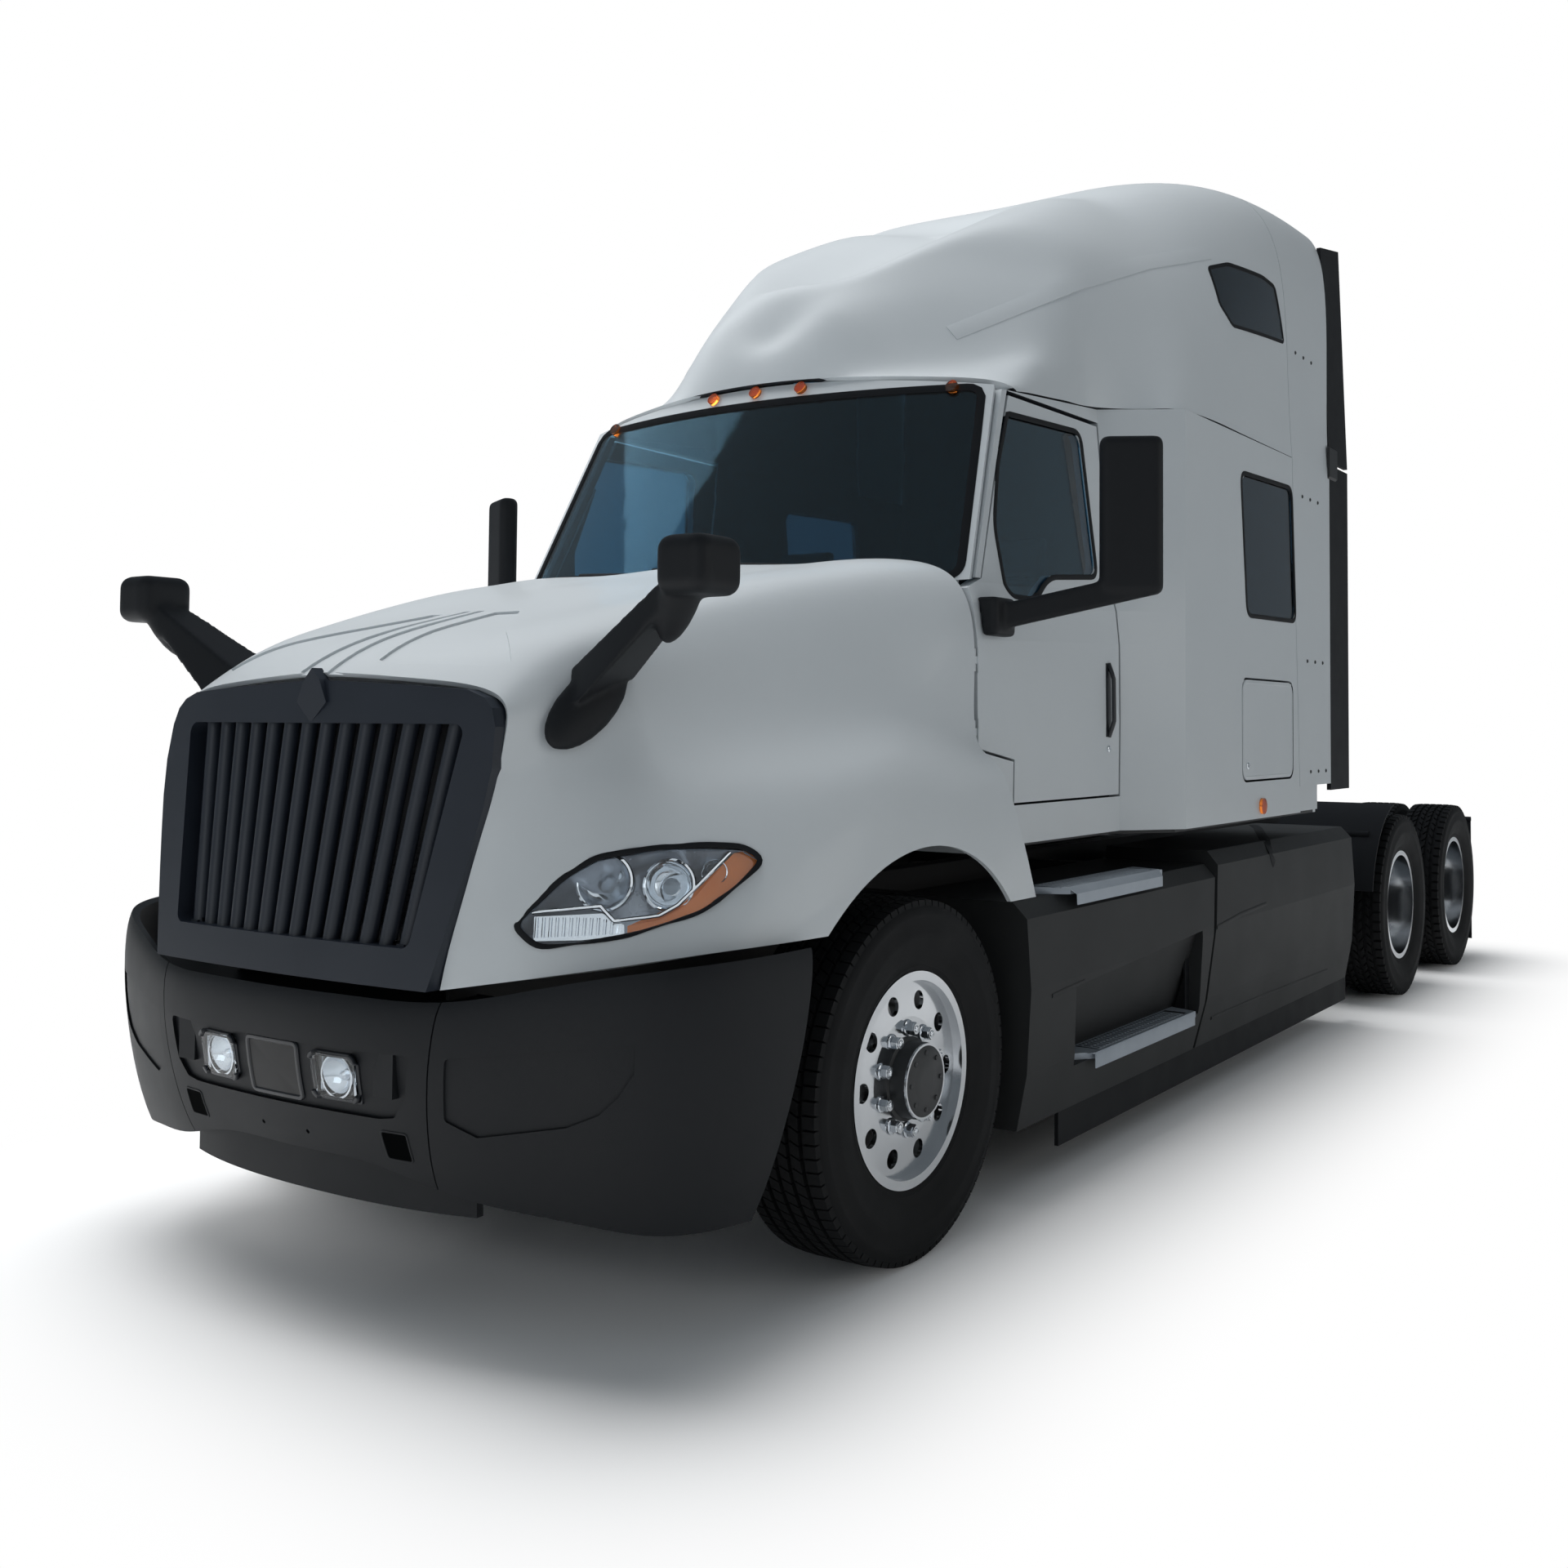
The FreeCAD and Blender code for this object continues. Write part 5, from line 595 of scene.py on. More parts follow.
# Finishes of the CAD nodes
def dress(material, *names):
    for name in names:
        mesh = nodes[name].data
        mesh.materials.clear()
        mesh.materials.append(material)


dress(PAINT, "hood_shell", "side_extenders", "luggage_hatch_left", "luggage_hatch_right")
dress(CAB_PAINT, "cab_sides", "cab_front", "cab_rear_wall", "roof_cap", "door_left",
      "door_right")
dress(CHARCOAL, "side_fairings")
dress(BUMPER, "bumper", "hood_mirrors", "mirror_left", "mirror_right")
dress(GRILLE, "grille")
dress(STEEL, "frame_rails", "crossmembers", "deck_plate", "radiator", "cab_floor")
dress(CAST, "engine_block", "driveline", "front_axle", "knuckle_left", "knuckle_right",
      "tie_rod", "drive_axles", "rear_suspension", "coupling_base")
dress(GREASE, "coupling_plate")
dress(ALUMINIUM, "rim_front_left", "rim_front_right", "rims_drive_one_left",
      "rims_drive_one_right", "rims_drive_two_left", "rims_drive_two_right", "fuel_tanks")
dress(TREAD, "step_treads")
dress(TYRE, "tyre_front_left", "tyre_front_right", "tyres_drive_one_left",
      "tyres_drive_one_right", "tyres_drive_two_left", "tyres_drive_two_right")
dress(RUBBER, "rubber_skirts", "extender_flaps", "mud_guards")
dress(GLASS, "windshield", "door_glass_left", "door_glass_right")
dress(CAB_GLASS, "sleeper_windows")
dress(LENS, "headlamps", "fog_lamps")
dress(AMBER, "marker_lamps")
dress(RED, "tail_lamps")
dress(FABRIC, "seats", "bunk")
dress(CABIN, "dashboard")


# Geometry trees for what repeats
def start_tree(name, *inputs):
    tree = bpy.data.node_groups.new(name, "GeometryNodeTree")
    socket(tree, "Geometry", "Geometry", "INPUT")
    for label, kind in inputs:
        socket(tree, label, kind, "INPUT")
    socket(tree, "Material", "Material", "INPUT")
    socket(tree, "Geometry", "Geometry", "OUTPUT")
    return tree, tree.nodes.new("NodeGroupInput"), tree.nodes.new("NodeGroupOutput")


def end_tree(tree, start, end, copies):
    real = node(tree, "GeometryNodeRealizeInstances", {0: copies})
    painted = node(tree, "GeometryNodeSetMaterial", {"Geometry": real.outputs[0],
                                                     "Material": start.outputs["Material"]})
    tree.links.new(painted.outputs[0], end.inputs[0])
    return tree


def make_round_tree():
    """Copies a piece evenly round the X axis, as treads and wheel nuts are."""
    tree, start, end = start_tree("repeat_round_axle", ("Count", "Int"))
    line = node(tree, "GeometryNodeMeshLine", {"Count": start.outputs["Count"],
                                               "Offset": (0, 0, 0)})
    step = math_node(tree, "DIVIDE", tau, start.outputs["Count"])
    index = node(tree, "GeometryNodeInputIndex").outputs[0]
    turn = node(tree, "ShaderNodeCombineXYZ", {0: math_node(tree, "MULTIPLY", index, step)})
    copies = node(tree, "GeometryNodeInstanceOnPoints",
                  {"Points": line.outputs[0], "Instance": start.outputs["Geometry"],
                   "Rotation": turn.outputs[0]})
    return end_tree(tree, start, end, copies.outputs[0])


def make_row_tree():
    """Copies a piece along a straight row."""
    tree, start, end = start_tree("repeat_in_row", ("Count", "Int"), ("Step", "Vector"))
    line = node(tree, "GeometryNodeMeshLine", {"Count": start.outputs["Count"],
                                               "Offset": start.outputs["Step"]})
    copies = node(tree, "GeometryNodeInstanceOnPoints",
                  {"Points": line.outputs[0], "Instance": start.outputs["Geometry"]})
    return end_tree(tree, start, end, copies.outputs[0])


def make_spot_tree():
    """Sets a piece on each of the points, turned to face the way the point faces."""
    tree, start, end = start_tree("set_on_spots", ("Piece", "Object"))
    facing = node(tree, "GeometryNodeInputNamedAttribute", {"Name": "facing"},
                  data_type="FLOAT_VECTOR")
    turn = node(tree, "FunctionNodeAlignEulerToVector", {"Vector": facing.outputs[0]},
                axis="Z")
    item = node(tree, "GeometryNodeObjectInfo", {"Object": start.outputs["Piece"]})
    copies = node(tree, "GeometryNodeInstanceOnPoints",
                  {"Points": start.outputs["Geometry"], "Instance": item.outputs["Geometry"],
                   "Rotation": turn.outputs[0]})
    return end_tree(tree, start, end, copies.outputs[0])


ROUND_TREE = make_round_tree()
ROW_TREE = make_row_tree()
SPOT_TREE = make_spot_tree()


def grown(name, part, tree, material, place=None, facing=None, **inputs):
    """The points and faces that a geometry tree makes, set in their place."""
    holder = placed(name, mesh_of(name, *part))
    if facing:
        field = holder.data.attributes.new("facing", "FLOAT_VECTOR", "POINT")
        for item, value in zip(field.data, facing):
            item.vector = value
    grow = holder.modifiers.new("repeat", "NODES")
    grow.node_group = tree
    inputs["Material"] = material
    for item in tree.interface.items_tree:
        if item.in_out == "INPUT" and item.name in inputs:
            grow[item.identifier] = inputs[item.name]
    mesh = settled(holder)
    if place is not None:
        mesh.transform(Matrix.Translation(place))
    return as_part(outward(mesh, SHARP))


def spun(profile, steps, place, axis, start=0.0):
    """A closed body turned about an axis: (along, radius) points from foot to head."""
    axis = axis.normalized()
    side = axis.cross(UP if abs(axis.z) < 0.9 else LEFT).normalized()
    rise = axis.cross(side)
    points = []
    for i in range(steps):
        a = start + tau * i / steps
        points += [place + axis * along + side * (r * cos(a)) + rise * (r * sin(a))
                   for along, r in profile]
    return points, grid_faces(steps, len(profile), True, False)


# Wheels. Of each tyre: where its middle lies, half its width, and half that of its beads
FRONT_TYRE = (1.040, 0.145, 0.1112)
OUTER_TYRE, INNER_TYRE = (1.083, 0.140, 0.1037), (0.746, 0.140, 0.1037)
BLOCK_FOOT, BLOCK_TOP = 0.489, 0.5085
SHOULDER_FOOT, SHOULDER_TOP = 0.474, 0.5078
RIBS = 4
TYRE_STEPS = 120
FRONT_PITCHES, DRIVE_PITCHES = 84, 60
NUTS, NUT_RADIUS, NUT_CIRCLE = 10, 0.0185, 0.143
CAP_BOLTS, CAP_CIRCLE = 8, 0.080
# The body of a wheel end, where its hub lies, and how long its nuts and hub cap are
WHEEL_ENDS = (("wheel_front_", 1.1345, 0, 0.03069, 0.0625),
              ("wheels_drive_one_", 0.9265, DRIVE_STATIONS[0], 0.059985, 0.1570),
              ("wheels_drive_two_", 0.9265, DRIVE_STATIONS[1], 0.059985, 0.1570))


def tread_block(x0, x1, a0, a1, r0, r1, skew=0.0, draft=0.0015):
    """One block of a tread, narrower at its top and slanted by skew."""
    points = []
    for r, d in ((r0, 0.0), (r1, draft)):
        for x, a in ((x0 + d, a0), (x1 - d, a0), (x1 - d, a1), (x0 + d, a1)):
            turn = a + skew * (x - (x0 + x1) / 2) + (d / r1 if a == a0 else -d / r1)
            points.append(Vector((x, r * cos(turn), r * sin(turn))))
    faces = [(0, 1, 2, 3), (4, 7, 6, 5), (0, 4, 5, 1), (1, 5, 6, 2), (2, 6, 7, 3), (3, 7, 4, 0)]
    return points, faces


def carcass(half, bead):
    """The tyre's casing: bead, bulged sidewall with its ridges, shoulder and crown."""
    side = [(bead, 0.2862), (bead + 0.001, 0.302), (bead + 0.008, 0.3125),
            (bead + 0.011, 0.318), (bead + 0.010, 0.323), (half * 0.90, 0.345),
            (half * 0.955, 0.372), (half * 0.985, 0.398), (half * 0.996, 0.404),
            (half * 0.998, 0.412), (half * 0.992, 0.417), (half * 0.985, 0.438),
            (half * 0.965, 0.458), (half * 0.972, 0.462), (half * 0.968, 0.467),
            (half * 0.93, 0.484), (half * 0.87, 0.4925), (half * 0.5, 0.4955),
            (0, 0.4965)]
    return side + [(-x, r) for x, r in side[-2::-1]]


def tread(half, count, drive):
    """One pitch of the tread: centre ribs or staggered lugs, and shoulder blocks."""
    pitch = tau / count
    parts = []
    groove = 0.016 if drive else 0.0105
    shoulder = half * 0.235
    run = half * 0.86 * 2 - shoulder * 2
    wide = (run - groove * (RIBS + 1)) / RIBS
    fill = pitch * (0.74 if drive else 0.93)
    for i in range(RIBS):
        x0 = -run / 2 + groove + i * (wide + groove)
        shift = pitch * (0.5 if drive and i % 2 else 0.0)
        skew = (2.2 if i % 2 else -2.2) if drive else 0.9
        parts.append(tread_block(x0, x0 + wide, shift, shift + fill, BLOCK_FOOT, BLOCK_TOP,
                                 skew))
    fill = pitch * (0.80 if drive else 0.93)
    for way in (-1, 1):
        low, high = sorted((way * run / 2, way * (run / 2 + shoulder)))
        points, faces = tread_block(low, high, 0, fill, SHOULDER_FOOT, SHOULDER_TOP)
        # The outer edge leans with the shoulder and drops off at its top
        for p in points:
            if abs(p.x) > half * 0.8:
                r = sqrt(p.y ** 2 + p.z ** 2)
                p.yz = p.yz * ((r - 0.004) / r)
                p.x = way * half * (0.93 if r < BLOCK_FOOT + 0.001 else 0.885)
        parts.append((points, faces))
    return join_lists(parts)


def tyre_part(tyre, station, drive):
    """A whole tyre with its tread round the axle."""
    x, half, bead = tyre
    place = at(x, station, HUB_HEIGHT)
    count = DRIVE_PITCHES if drive else FRONT_PITCHES
    return join_lists([lathe(carcass(half, bead), TYRE_STEPS, place),
                       grown("tread", tread(half, count, drive), ROUND_TREE, TYRE, place,
                             Count=count)])


def hex_nut(x, length):
    """A flanged wheel nut with its stud end, on the bolt circle of a wheel."""
    r = NUT_RADIUS
    place = Vector((x, NUT_CIRCLE * cos(pi / NUTS), NUT_CIRCLE * sin(pi / NUTS)))
    flange = [(0, 0), (0, r * 1.3), (length * 0.16, r * 1.24), (length * 0.24, r * 0.9),
              (length * 0.24, 0)]
    nut = [(length * 0.2, 0), (length * 0.2, r), (length * 0.86, r),
           (length * 0.95, r * 0.86), (length * 0.95, 0)]
    stud = [(length * 0.9, 0), (length * 0.9, r * 0.5), (length * 1.1, r * 0.5),
            (length * 1.14, r * 0.4), (length * 1.14, 0)]
    return join_lists([spun(profile, steps, place, LEFT)
                       for profile, steps in ((flange, 20), (nut, 6), (stud, 12))])


def add_wheels():
    pair("front_tread_", [tyre_part(FRONT_TYRE, 0, False)], TYRE, "wheel_front_", "tyre_front_")
    for word, station in zip(("one_", "two_"), DRIVE_STATIONS):
        for which, tyre in (("outer_", OUTER_TYRE), ("inner_", INNER_TYRE)):
            pair("drive_" + word + "tread_" + which, [tyre_part(tyre, station, True)], TYRE,
                 "wheels_drive_" + word, "tyres_drive_" + word)
    for body, x, station, nut_length, cap in WHEEL_ENDS:
        place = at(0, station, HUB_HEIGHT)
        nuts = grown("nuts", hex_nut(x, nut_length), ROUND_TREE, CHROME, place, Count=NUTS)
        dome = spun([(0, 0), (0, 0.118), (0.006, 0.1175), (0.010, 0.1075),
                     (cap * 0.80, 0.1068), (cap * 0.93, 0.1045), (cap + 0.0008, 0.097),
                     (cap + 0.0008, 0.062), (cap + 0.0030, 0.056), (cap + 0.0042, 0.030),
                     (cap + 0.0045, 0)], 48, at(x, station, HUB_HEIGHT), LEFT)
        bolt = spun([(0, 0), (0, 0.0075), (0.004, 0.0075), (0.0055, 0.005), (0.0055, 0)], 6,
                    Vector((x + cap - 0.001, CAP_CIRCLE, 0)), LEFT)
        bolts = grown("cap_bolts", bolt, ROUND_TREE, STEEL, place, Count=CAP_BOLTS)
        pair(body + "nuts_", [nuts], CHROME, body)
        pair(body + "hub_", [dome, bolts], HUB, body)


add_wheels()


# Flat patches and rings round openings
def patch(points, normals, depth, thick, mid=None):
    """A thin body under a skin: the outline sunk by depth, its back further in by thick."""
    n = len(points)
    centre = mid if mid is not None else sum(points, Vector()) / n
    facing = sum(normals, Vector()).normalized()
    front = [p - m * depth for p, m in zip(points, normals)]
    back = [p - m * (depth + thick) for p, m in zip(points, normals)]
    listed = front + [centre - facing * depth] + back + [centre - facing * (depth + thick)]
    faces = []
    for i, j in neighbours(n, True):
        faces += [(i, j, n), (n + 1 + j, n + 1 + i, 2 * n + 1), (i, n + 1 + i, n + 1 + j, j)]
    return listed, faces


def rounded(corners, radius, steps=6):
    """The corners of a flat outline rounded off; points are 2-D."""
    out = []
    count = len(corners)
    for i, corner in enumerate(corners):
        c = Vector(corner)
        before, after = Vector(corners[i - 1]) - c, Vector(corners[(i + 1) % count]) - c
        r = min(radius, before.length * 0.45, after.length * 0.45)
        a, b = c + before.normalized() * r, c + after.normalized() * r
        for k in range(steps + 1):
            t = k / steps
            out.append(a * (1 - t) ** 2 + c * (2 * t * (1 - t)) + b * t ** 2)
    return out


def oblong(x, z, half_wide, half_high):
    """The corners of an upright rectangle round a place."""
    return [(x + w * half_wide, z + h * half_high)
            for w, h in ((-1, -1), (1, -1), (1, 1), (-1, 1))]


def window_corners(window, shares, grow=0.0):
    """Corners from shares of a (y0, y1, z0, z1) window, let out by grow."""
    y0, y1, z0, z1 = window
    return [(y0 + (y1 - y0) * along + (grow if along > 0.5 else -grow),
             z0 + (z1 - z0) * up + (grow if up > 0.5 else -grow)) for along, up in shares]


def side_ring(corners, radius, skin):
    """A closed path on the truck's left side from (y, z) corners."""
    path = [at(BESIDE, y, z) for y, z in rounded(corners, radius)]
    return press(resample(path, 0.03, True), skin, -LEFT)


def front_ring(corners, radius, step, *names):
    """A closed path on nodes of the truck's front from (x, z) corners."""
    path = [at(x, AHEAD, z) for x, z in rounded(corners, radius)]
    return press(resample(path, step, True), skin_of(*names), REARWARD)


# Openings of the left side as (y0, y1, z0, z1), and their corners as shares of that
DOOR_WINDOW = (0.790, 1.540, 1.952, 2.612)
SLEEPER_WINDOW = (2.536, 3.256, 1.992, 2.606)
UPPER_WINDOW = (2.483, 3.137, 3.234, 3.534)
HATCH = (2.535, 3.220, 1.275, 1.720)
DOOR_SHARES = [(0.177, 0.964), (0.951, 1), (1, 0.188), (0.5, 0.14), (0.3, 0),
               (0.048, 0), (0, 0.364)]
SLEEPER_SHARES = [(0, 0.966), (0.931, 1), (1, 0.02), (0.102, 0)]
UPPER_SHARES = [(0, 0.783), (0.255, 0.967), (0.696, 1), (0.882, 0.943),
                (1, 0.163), (0.116, 0), (0, 0.26)]
SCREEN = [(-0.972, 1.994), (0.972, 1.994), (0.882, 2.684), (-0.882, 2.684)]
WINDOW_BEND = 0.055


def gasket(corners, radius, width, *names):
    places, normals = side_ring(corners, radius, skin_of(*names))
    return ribbon(places, normals, width, 0.003, True)


def add_window_seals():
    door = gasket(window_corners(DOOR_WINDOW, DOOR_SHARES, 0.006), WINDOW_BEND, 0.020,
                  "door_left", "door_glass_left")
    pair("door_seal_", [door], RUBBER, "door_")
    low = gasket(window_corners(SLEEPER_WINDOW, SLEEPER_SHARES, 0.006), WINDOW_BEND, 0.020,
                 "cab_sides", "sleeper_windows")
    high = gasket(window_corners(UPPER_WINDOW, UPPER_SHARES, 0.005), 0.022, 0.016,
                  "roof_cap", "sleeper_windows")
    piece("sleeper_seals", [low, high], RUBBER, both=True)
    places, normals = front_ring(SCREEN, WINDOW_BEND, 0.04, "windshield", "cab_front")
    piece("screen_seal", [ribbon(places, normals, 0.030, 0.003, True)], RUBBER)


add_window_seals()


# Headlamps: outlines as points of the picture
LAMP_OUTLINE = [(629.5, 1134), (656, 1161), (712, 1155), (769, 1146), (860, 1117),
                (903.6, 1084), (936, 1053), (912, 1036), (870, 1034), (808, 1037),
                (730, 1049), (687, 1076), (643, 1119)]
AMBER_OUTLINE = [(768, 1133), (768, 1145), (807, 1139), (855, 1124), (895, 1096),
                 (932, 1055), (920, 1040), (900, 1043), (865, 1077), (832, 1109),
                 (807, 1123)]
FLUTE_OUTLINE = [(653, 1122), (652, 1152), (712, 1150), (764, 1143), (764, 1131),
                 (737, 1117)]
LAMP_TRIM = ((651, 1117), (735, 1109), (752, 1127), (807, 1120), (830, 1107), (862, 1076),
             (895, 1042))
# Each lamp's place in the picture, and its radius
LAMPS = ((746, 1076, 0.066), (826, 1078, 0.060), (884, 1062, 0.030))
# How deep the bowl is at each of its steps, and how far it is drawn in there
BOWL_STEPS = ((0.016, 0.0), (0.030, 0.03), (0.060, 0.06), (0.085, 0.12))
BOWL_DEPTH, BOWL_WALL = 0.095, 0.003
LAMP_FOOT = 0.070
FLUTES, FIRST_FLUTE, FLUTE_STEP = 13, 657, 8.4


def drawn_in(points, share):
    u = sum(p[0] for p in points) / len(points)
    v = sum(p[1] for p in points) / len(points)
    return [(a + (u - a) * share, b + (v - b) * share) for a, b in points]


def add_headlamps():
    skin = skin_of("headlamps", "hood_shell")
    rim_places, rim_normals = seen(drawn_in(LAMP_OUTLINE, 0.01), skin)
    middle = sum(rim_places, Vector()) / len(rim_places)
    inward = -sum(rim_normals, Vector()).normalized()
    n = len(rim_places)
    points = [p.lerp(middle, share) - m * depth * 0.35 + inward * depth * 0.65
              for depth, share in BOWL_STEPS for p, m in zip(rim_places, rim_normals)]
    faces = grid_faces(len(BOWL_STEPS), n)
    last = (len(BOWL_STEPS) - 1) * n
    points.append(middle + inward * BOWL_DEPTH)
    faces += [(last + i, last + j, len(points) - 1) for i, j in neighbours(n, True)]
    bowl = mesh_of("bowl", points, faces)
    work = bmesh.new()
    work.from_mesh(bowl)
    bmesh.ops.recalc_face_normals(work, faces=work.faces)
    bmesh.ops.solidify(work, geom=work.faces[:], thickness=BOWL_WALL)
    work.to_mesh(bowl)
    work.free()
    piece("lamp_bowls", [as_part(bowl)], SILVER, "hood", True)
    bowls, rings, domes = [], [], []
    for u, v, size in LAMPS:
        spots, facings = seen([(u, v)], skin)
        out = (facings[0] + Vector((0.1, -0.8, 0.05))).normalized()
        foot = spots[0] - facings[0] * LAMP_FOOT
        bowls.append(spun([(0.0, size * 0.30), (-0.002, size * 0.30), (-0.002, size * 1.02),
                           (0.042, size * 1.04), (0.042, size * 0.98),
                           (0.022, size * 0.86), (0.010, size * 0.66), (0.003, size * 0.42),
                           (0.0, size * 0.30)], 36, foot, out))
        rings.append(spun([(0.036, size * 0.98), (0.036, size * 1.12), (0.044, size * 1.10),
                           (0.046, size * 1.02), (0.044, size * 0.98),
                           (0.036, size * 0.98)], 36, foot, out))
        domes.append(spun([(0.0, 0.0), (0.0, size * 0.36), (0.016, size * 0.36),
                           (0.024, size * 0.26), (0.028, size * 0.12), (0.029, 0.0)], 28,
                          foot, out))
    piece("lamp_reflectors", bowls + rings, CHROME, "hood", True)
    piece("lamp_bulbs", domes, LENS, "hood", True)
    wedge = patch(*seen(AMBER_OUTLINE, skin), 0.016, 0.006)
    piece("amber_wedges", [wedge], AMBER_PANEL, "hood", True)
    places, normals = seen(picture_path(LAMP_TRIM, 9), skin)
    strip = ribbon([p - m * 0.015 for p, m in zip(places, normals)], normals, 0.010, 0.004)
    piece("lamp_trims", [strip], CHROME, "hood", True)
    back = patch(*seen(FLUTE_OUTLINE, skin), 0.024, 0.004)
    flutes = []
    for k in range(FLUTES):
        u = FIRST_FLUTE + k * FLUTE_STEP
        top = 1121 if u < 737 else 1121 + (u - 737) * 0.4
        foot = 1148 - (u - FIRST_FLUTE) * 0.06
        ends, facings = seen([(u, top + 2), (u - 2, foot)], skin)
        flutes.append(tube([p - m * 0.021 for p, m in zip(ends, facings)], 0.0045, 8))
    piece("lamp_flutes", [back] + flutes, CHROME, "hood", True)
    # A dark rim round each lens, in its seat
    bend = picture_path(rounded(LAMP_OUTLINE, 16, 4), 7, True)
    seam_places, seam_normals = seen_evenly(bend, skin)
    seam = ribbon(seam_places, seam_normals, 0.015, 0.0025, True)
    piece("lamp_seams", [seam], RUBBER, "hood", True)


add_headlamps()


# Grille backing: fins of the cooler's shutter behind the bars, and a wall behind them
BACK_HALF, BACK_HEIGHT, BACK_WALL = 0.545, 0.56, 0.006
BACK_FOOT = at(0, -1.015, 0.975)
FINS, FIN_HALF_DEEP, FIN_HALF_HIGH = 30, 0.010, 0.0022
FIRST_FIN, FIN_STEP = at(0, -1.035, 0.985), (0, 0.0022, 0.0185)


def add_grille_back():
    fin = soft_box(-BACK_HALF, BACK_HALF, -FIN_HALF_DEEP, FIN_HALF_DEEP, -FIN_HALF_HIGH,
                   FIN_HALF_HIGH)
    fins = grown("fins", fin, ROW_TREE, GRILLE_DARK, FIRST_FIN, Count=FINS, Step=FIN_STEP)
    wall = soft_box(-BACK_HALF, BACK_HALF, 0, BACK_WALL, 0, BACK_HEIGHT)
    piece("grille_shutter", [fins, moved(wall, BACK_FOOT)], GRILLE_DARK, "hood")


add_grille_back()


# Door handles: upright bars that stand off the doors, with a lock below
HANDLE_STATION, HANDLE_ENDS = 1.556, (1.470, 1.745)
HANDLE_FOOT, HANDLE_LIFT = 0.002, 0.020
LOCK_DROP = UP * 0.045


def add_door_furniture():
    path = resample([at(BESIDE, HANDLE_STATION, z) for z in HANDLE_ENDS], 0.02)
    places, normals = press(path, skin_of("door_left"), -LEFT)
    plate = ribbon(places, normals, 0.046, 0.003)
    shares = [i / (len(places) - 1) for i in range(len(places))]
    lifts = [HANDLE_FOOT + HANDLE_LIFT * min(1, 5 * t, 5 * (1 - t)) for t in shares]
    grip = tube([p + m * lift for p, m, lift in zip(places, normals, lifts)], 0.011, 12,
                flat=0.7, facing=normals)
    lock = spun([(0, 0), (0, 0.013), (0.004, 0.013), (0.006, 0.010), (0.006, 0)], 24,
                places[0] - LOCK_DROP, normals[0])
    pair("door_handle_", [plate, grip], BEZEL, "door_")
    pair("door_lock_", [lock], CHROME, "door_")


add_door_furniture()


# Seats and bunk: padded pieces on their frames
CUSHION_CUTS = 15
WAIST, EDGE_TAPER = 0.035, 0.05
CHANNEL_DEPTH, CHANNEL_PITCH, CHANNEL_SHARPNESS = 0.16, 5.0, 3
SEAT_STATION, SEAT_ACROSS, SEAT_HALF = 1.230, 0.520, 0.255
SEAT_LEAN = radians(-10.2)
MATTRESS = 0.120


def cushion(name, x0, x1, y0, y1, z0, z1, crown, thin, turn=0.0, pivot=None, seams=3):
    """A stuffed pad, crowned along its thin way, pulled in between its corners, with sewn
    channels."""
    work = bmesh.new()
    bmesh.ops.create_cube(work, size=1.0)
    bmesh.ops.subdivide_edges(work, edges=work.edges[:], cuts=CUSHION_CUTS,
                              use_grid_fill=True)
    size = Vector((x1 - x0, y1 - y0, z1 - z0))
    low = Vector((x0, y0, z0))
    a, b = [k for k in range(3) if k != thin]
    for v in work.verts:
        c = v.co + Vector((0.5, 0.5, 0.5))
        s = [c[k] * 2 - 1 for k in range(3)]
        fullness = (1 - s[a] ** 4) * (1 - s[b] ** 4)
        pull = WAIST * (1 - s[thin] ** 2)
        s2 = list(s)
        for k, other in ((a, b), (b, a)):
            waist = pull * (1 - s[other] ** 2) if abs(s[k]) > 0.99 else 0
            s2[k] = s[k] * (1 - waist) * (1 - EDGE_TAPER * abs(s[thin]) ** 3)
        top = s[thin] * (1 - crown * (1 - fullness))
        across_share = c[b] if size[b] > size[a] else c[a]
        groove = 0
        for q in range(1, seams + 1):
            d = (across_share - q / (seams + 1)) * (seams + 1) * CHANNEL_PITCH
            groove += CHANNEL_DEPTH / (1 + d * d * CHANNEL_SHARPNESS)
        s2[thin] = top * (1 - groove * fullness * abs(s[thin]))
        v.co = low + Vector([(s2[k] + 1) / 2 * size[k] for k in range(3)])
    if turn:
        matrix = Matrix.Rotation(turn, 3, "X")
        for v in work.verts:
            v.co = matrix @ (v.co - pivot) + pivot
    mesh = bpy.data.meshes.new(name)
    work.to_mesh(mesh)
    work.free()
    holder = placed(name, outward(mesh))
    smooth = holder.modifiers.new("smooth", "SUBSURF")
    smooth.levels = smooth.render_levels = 1
    pad = link(name, settled(holder), FABRIC)
    return pad


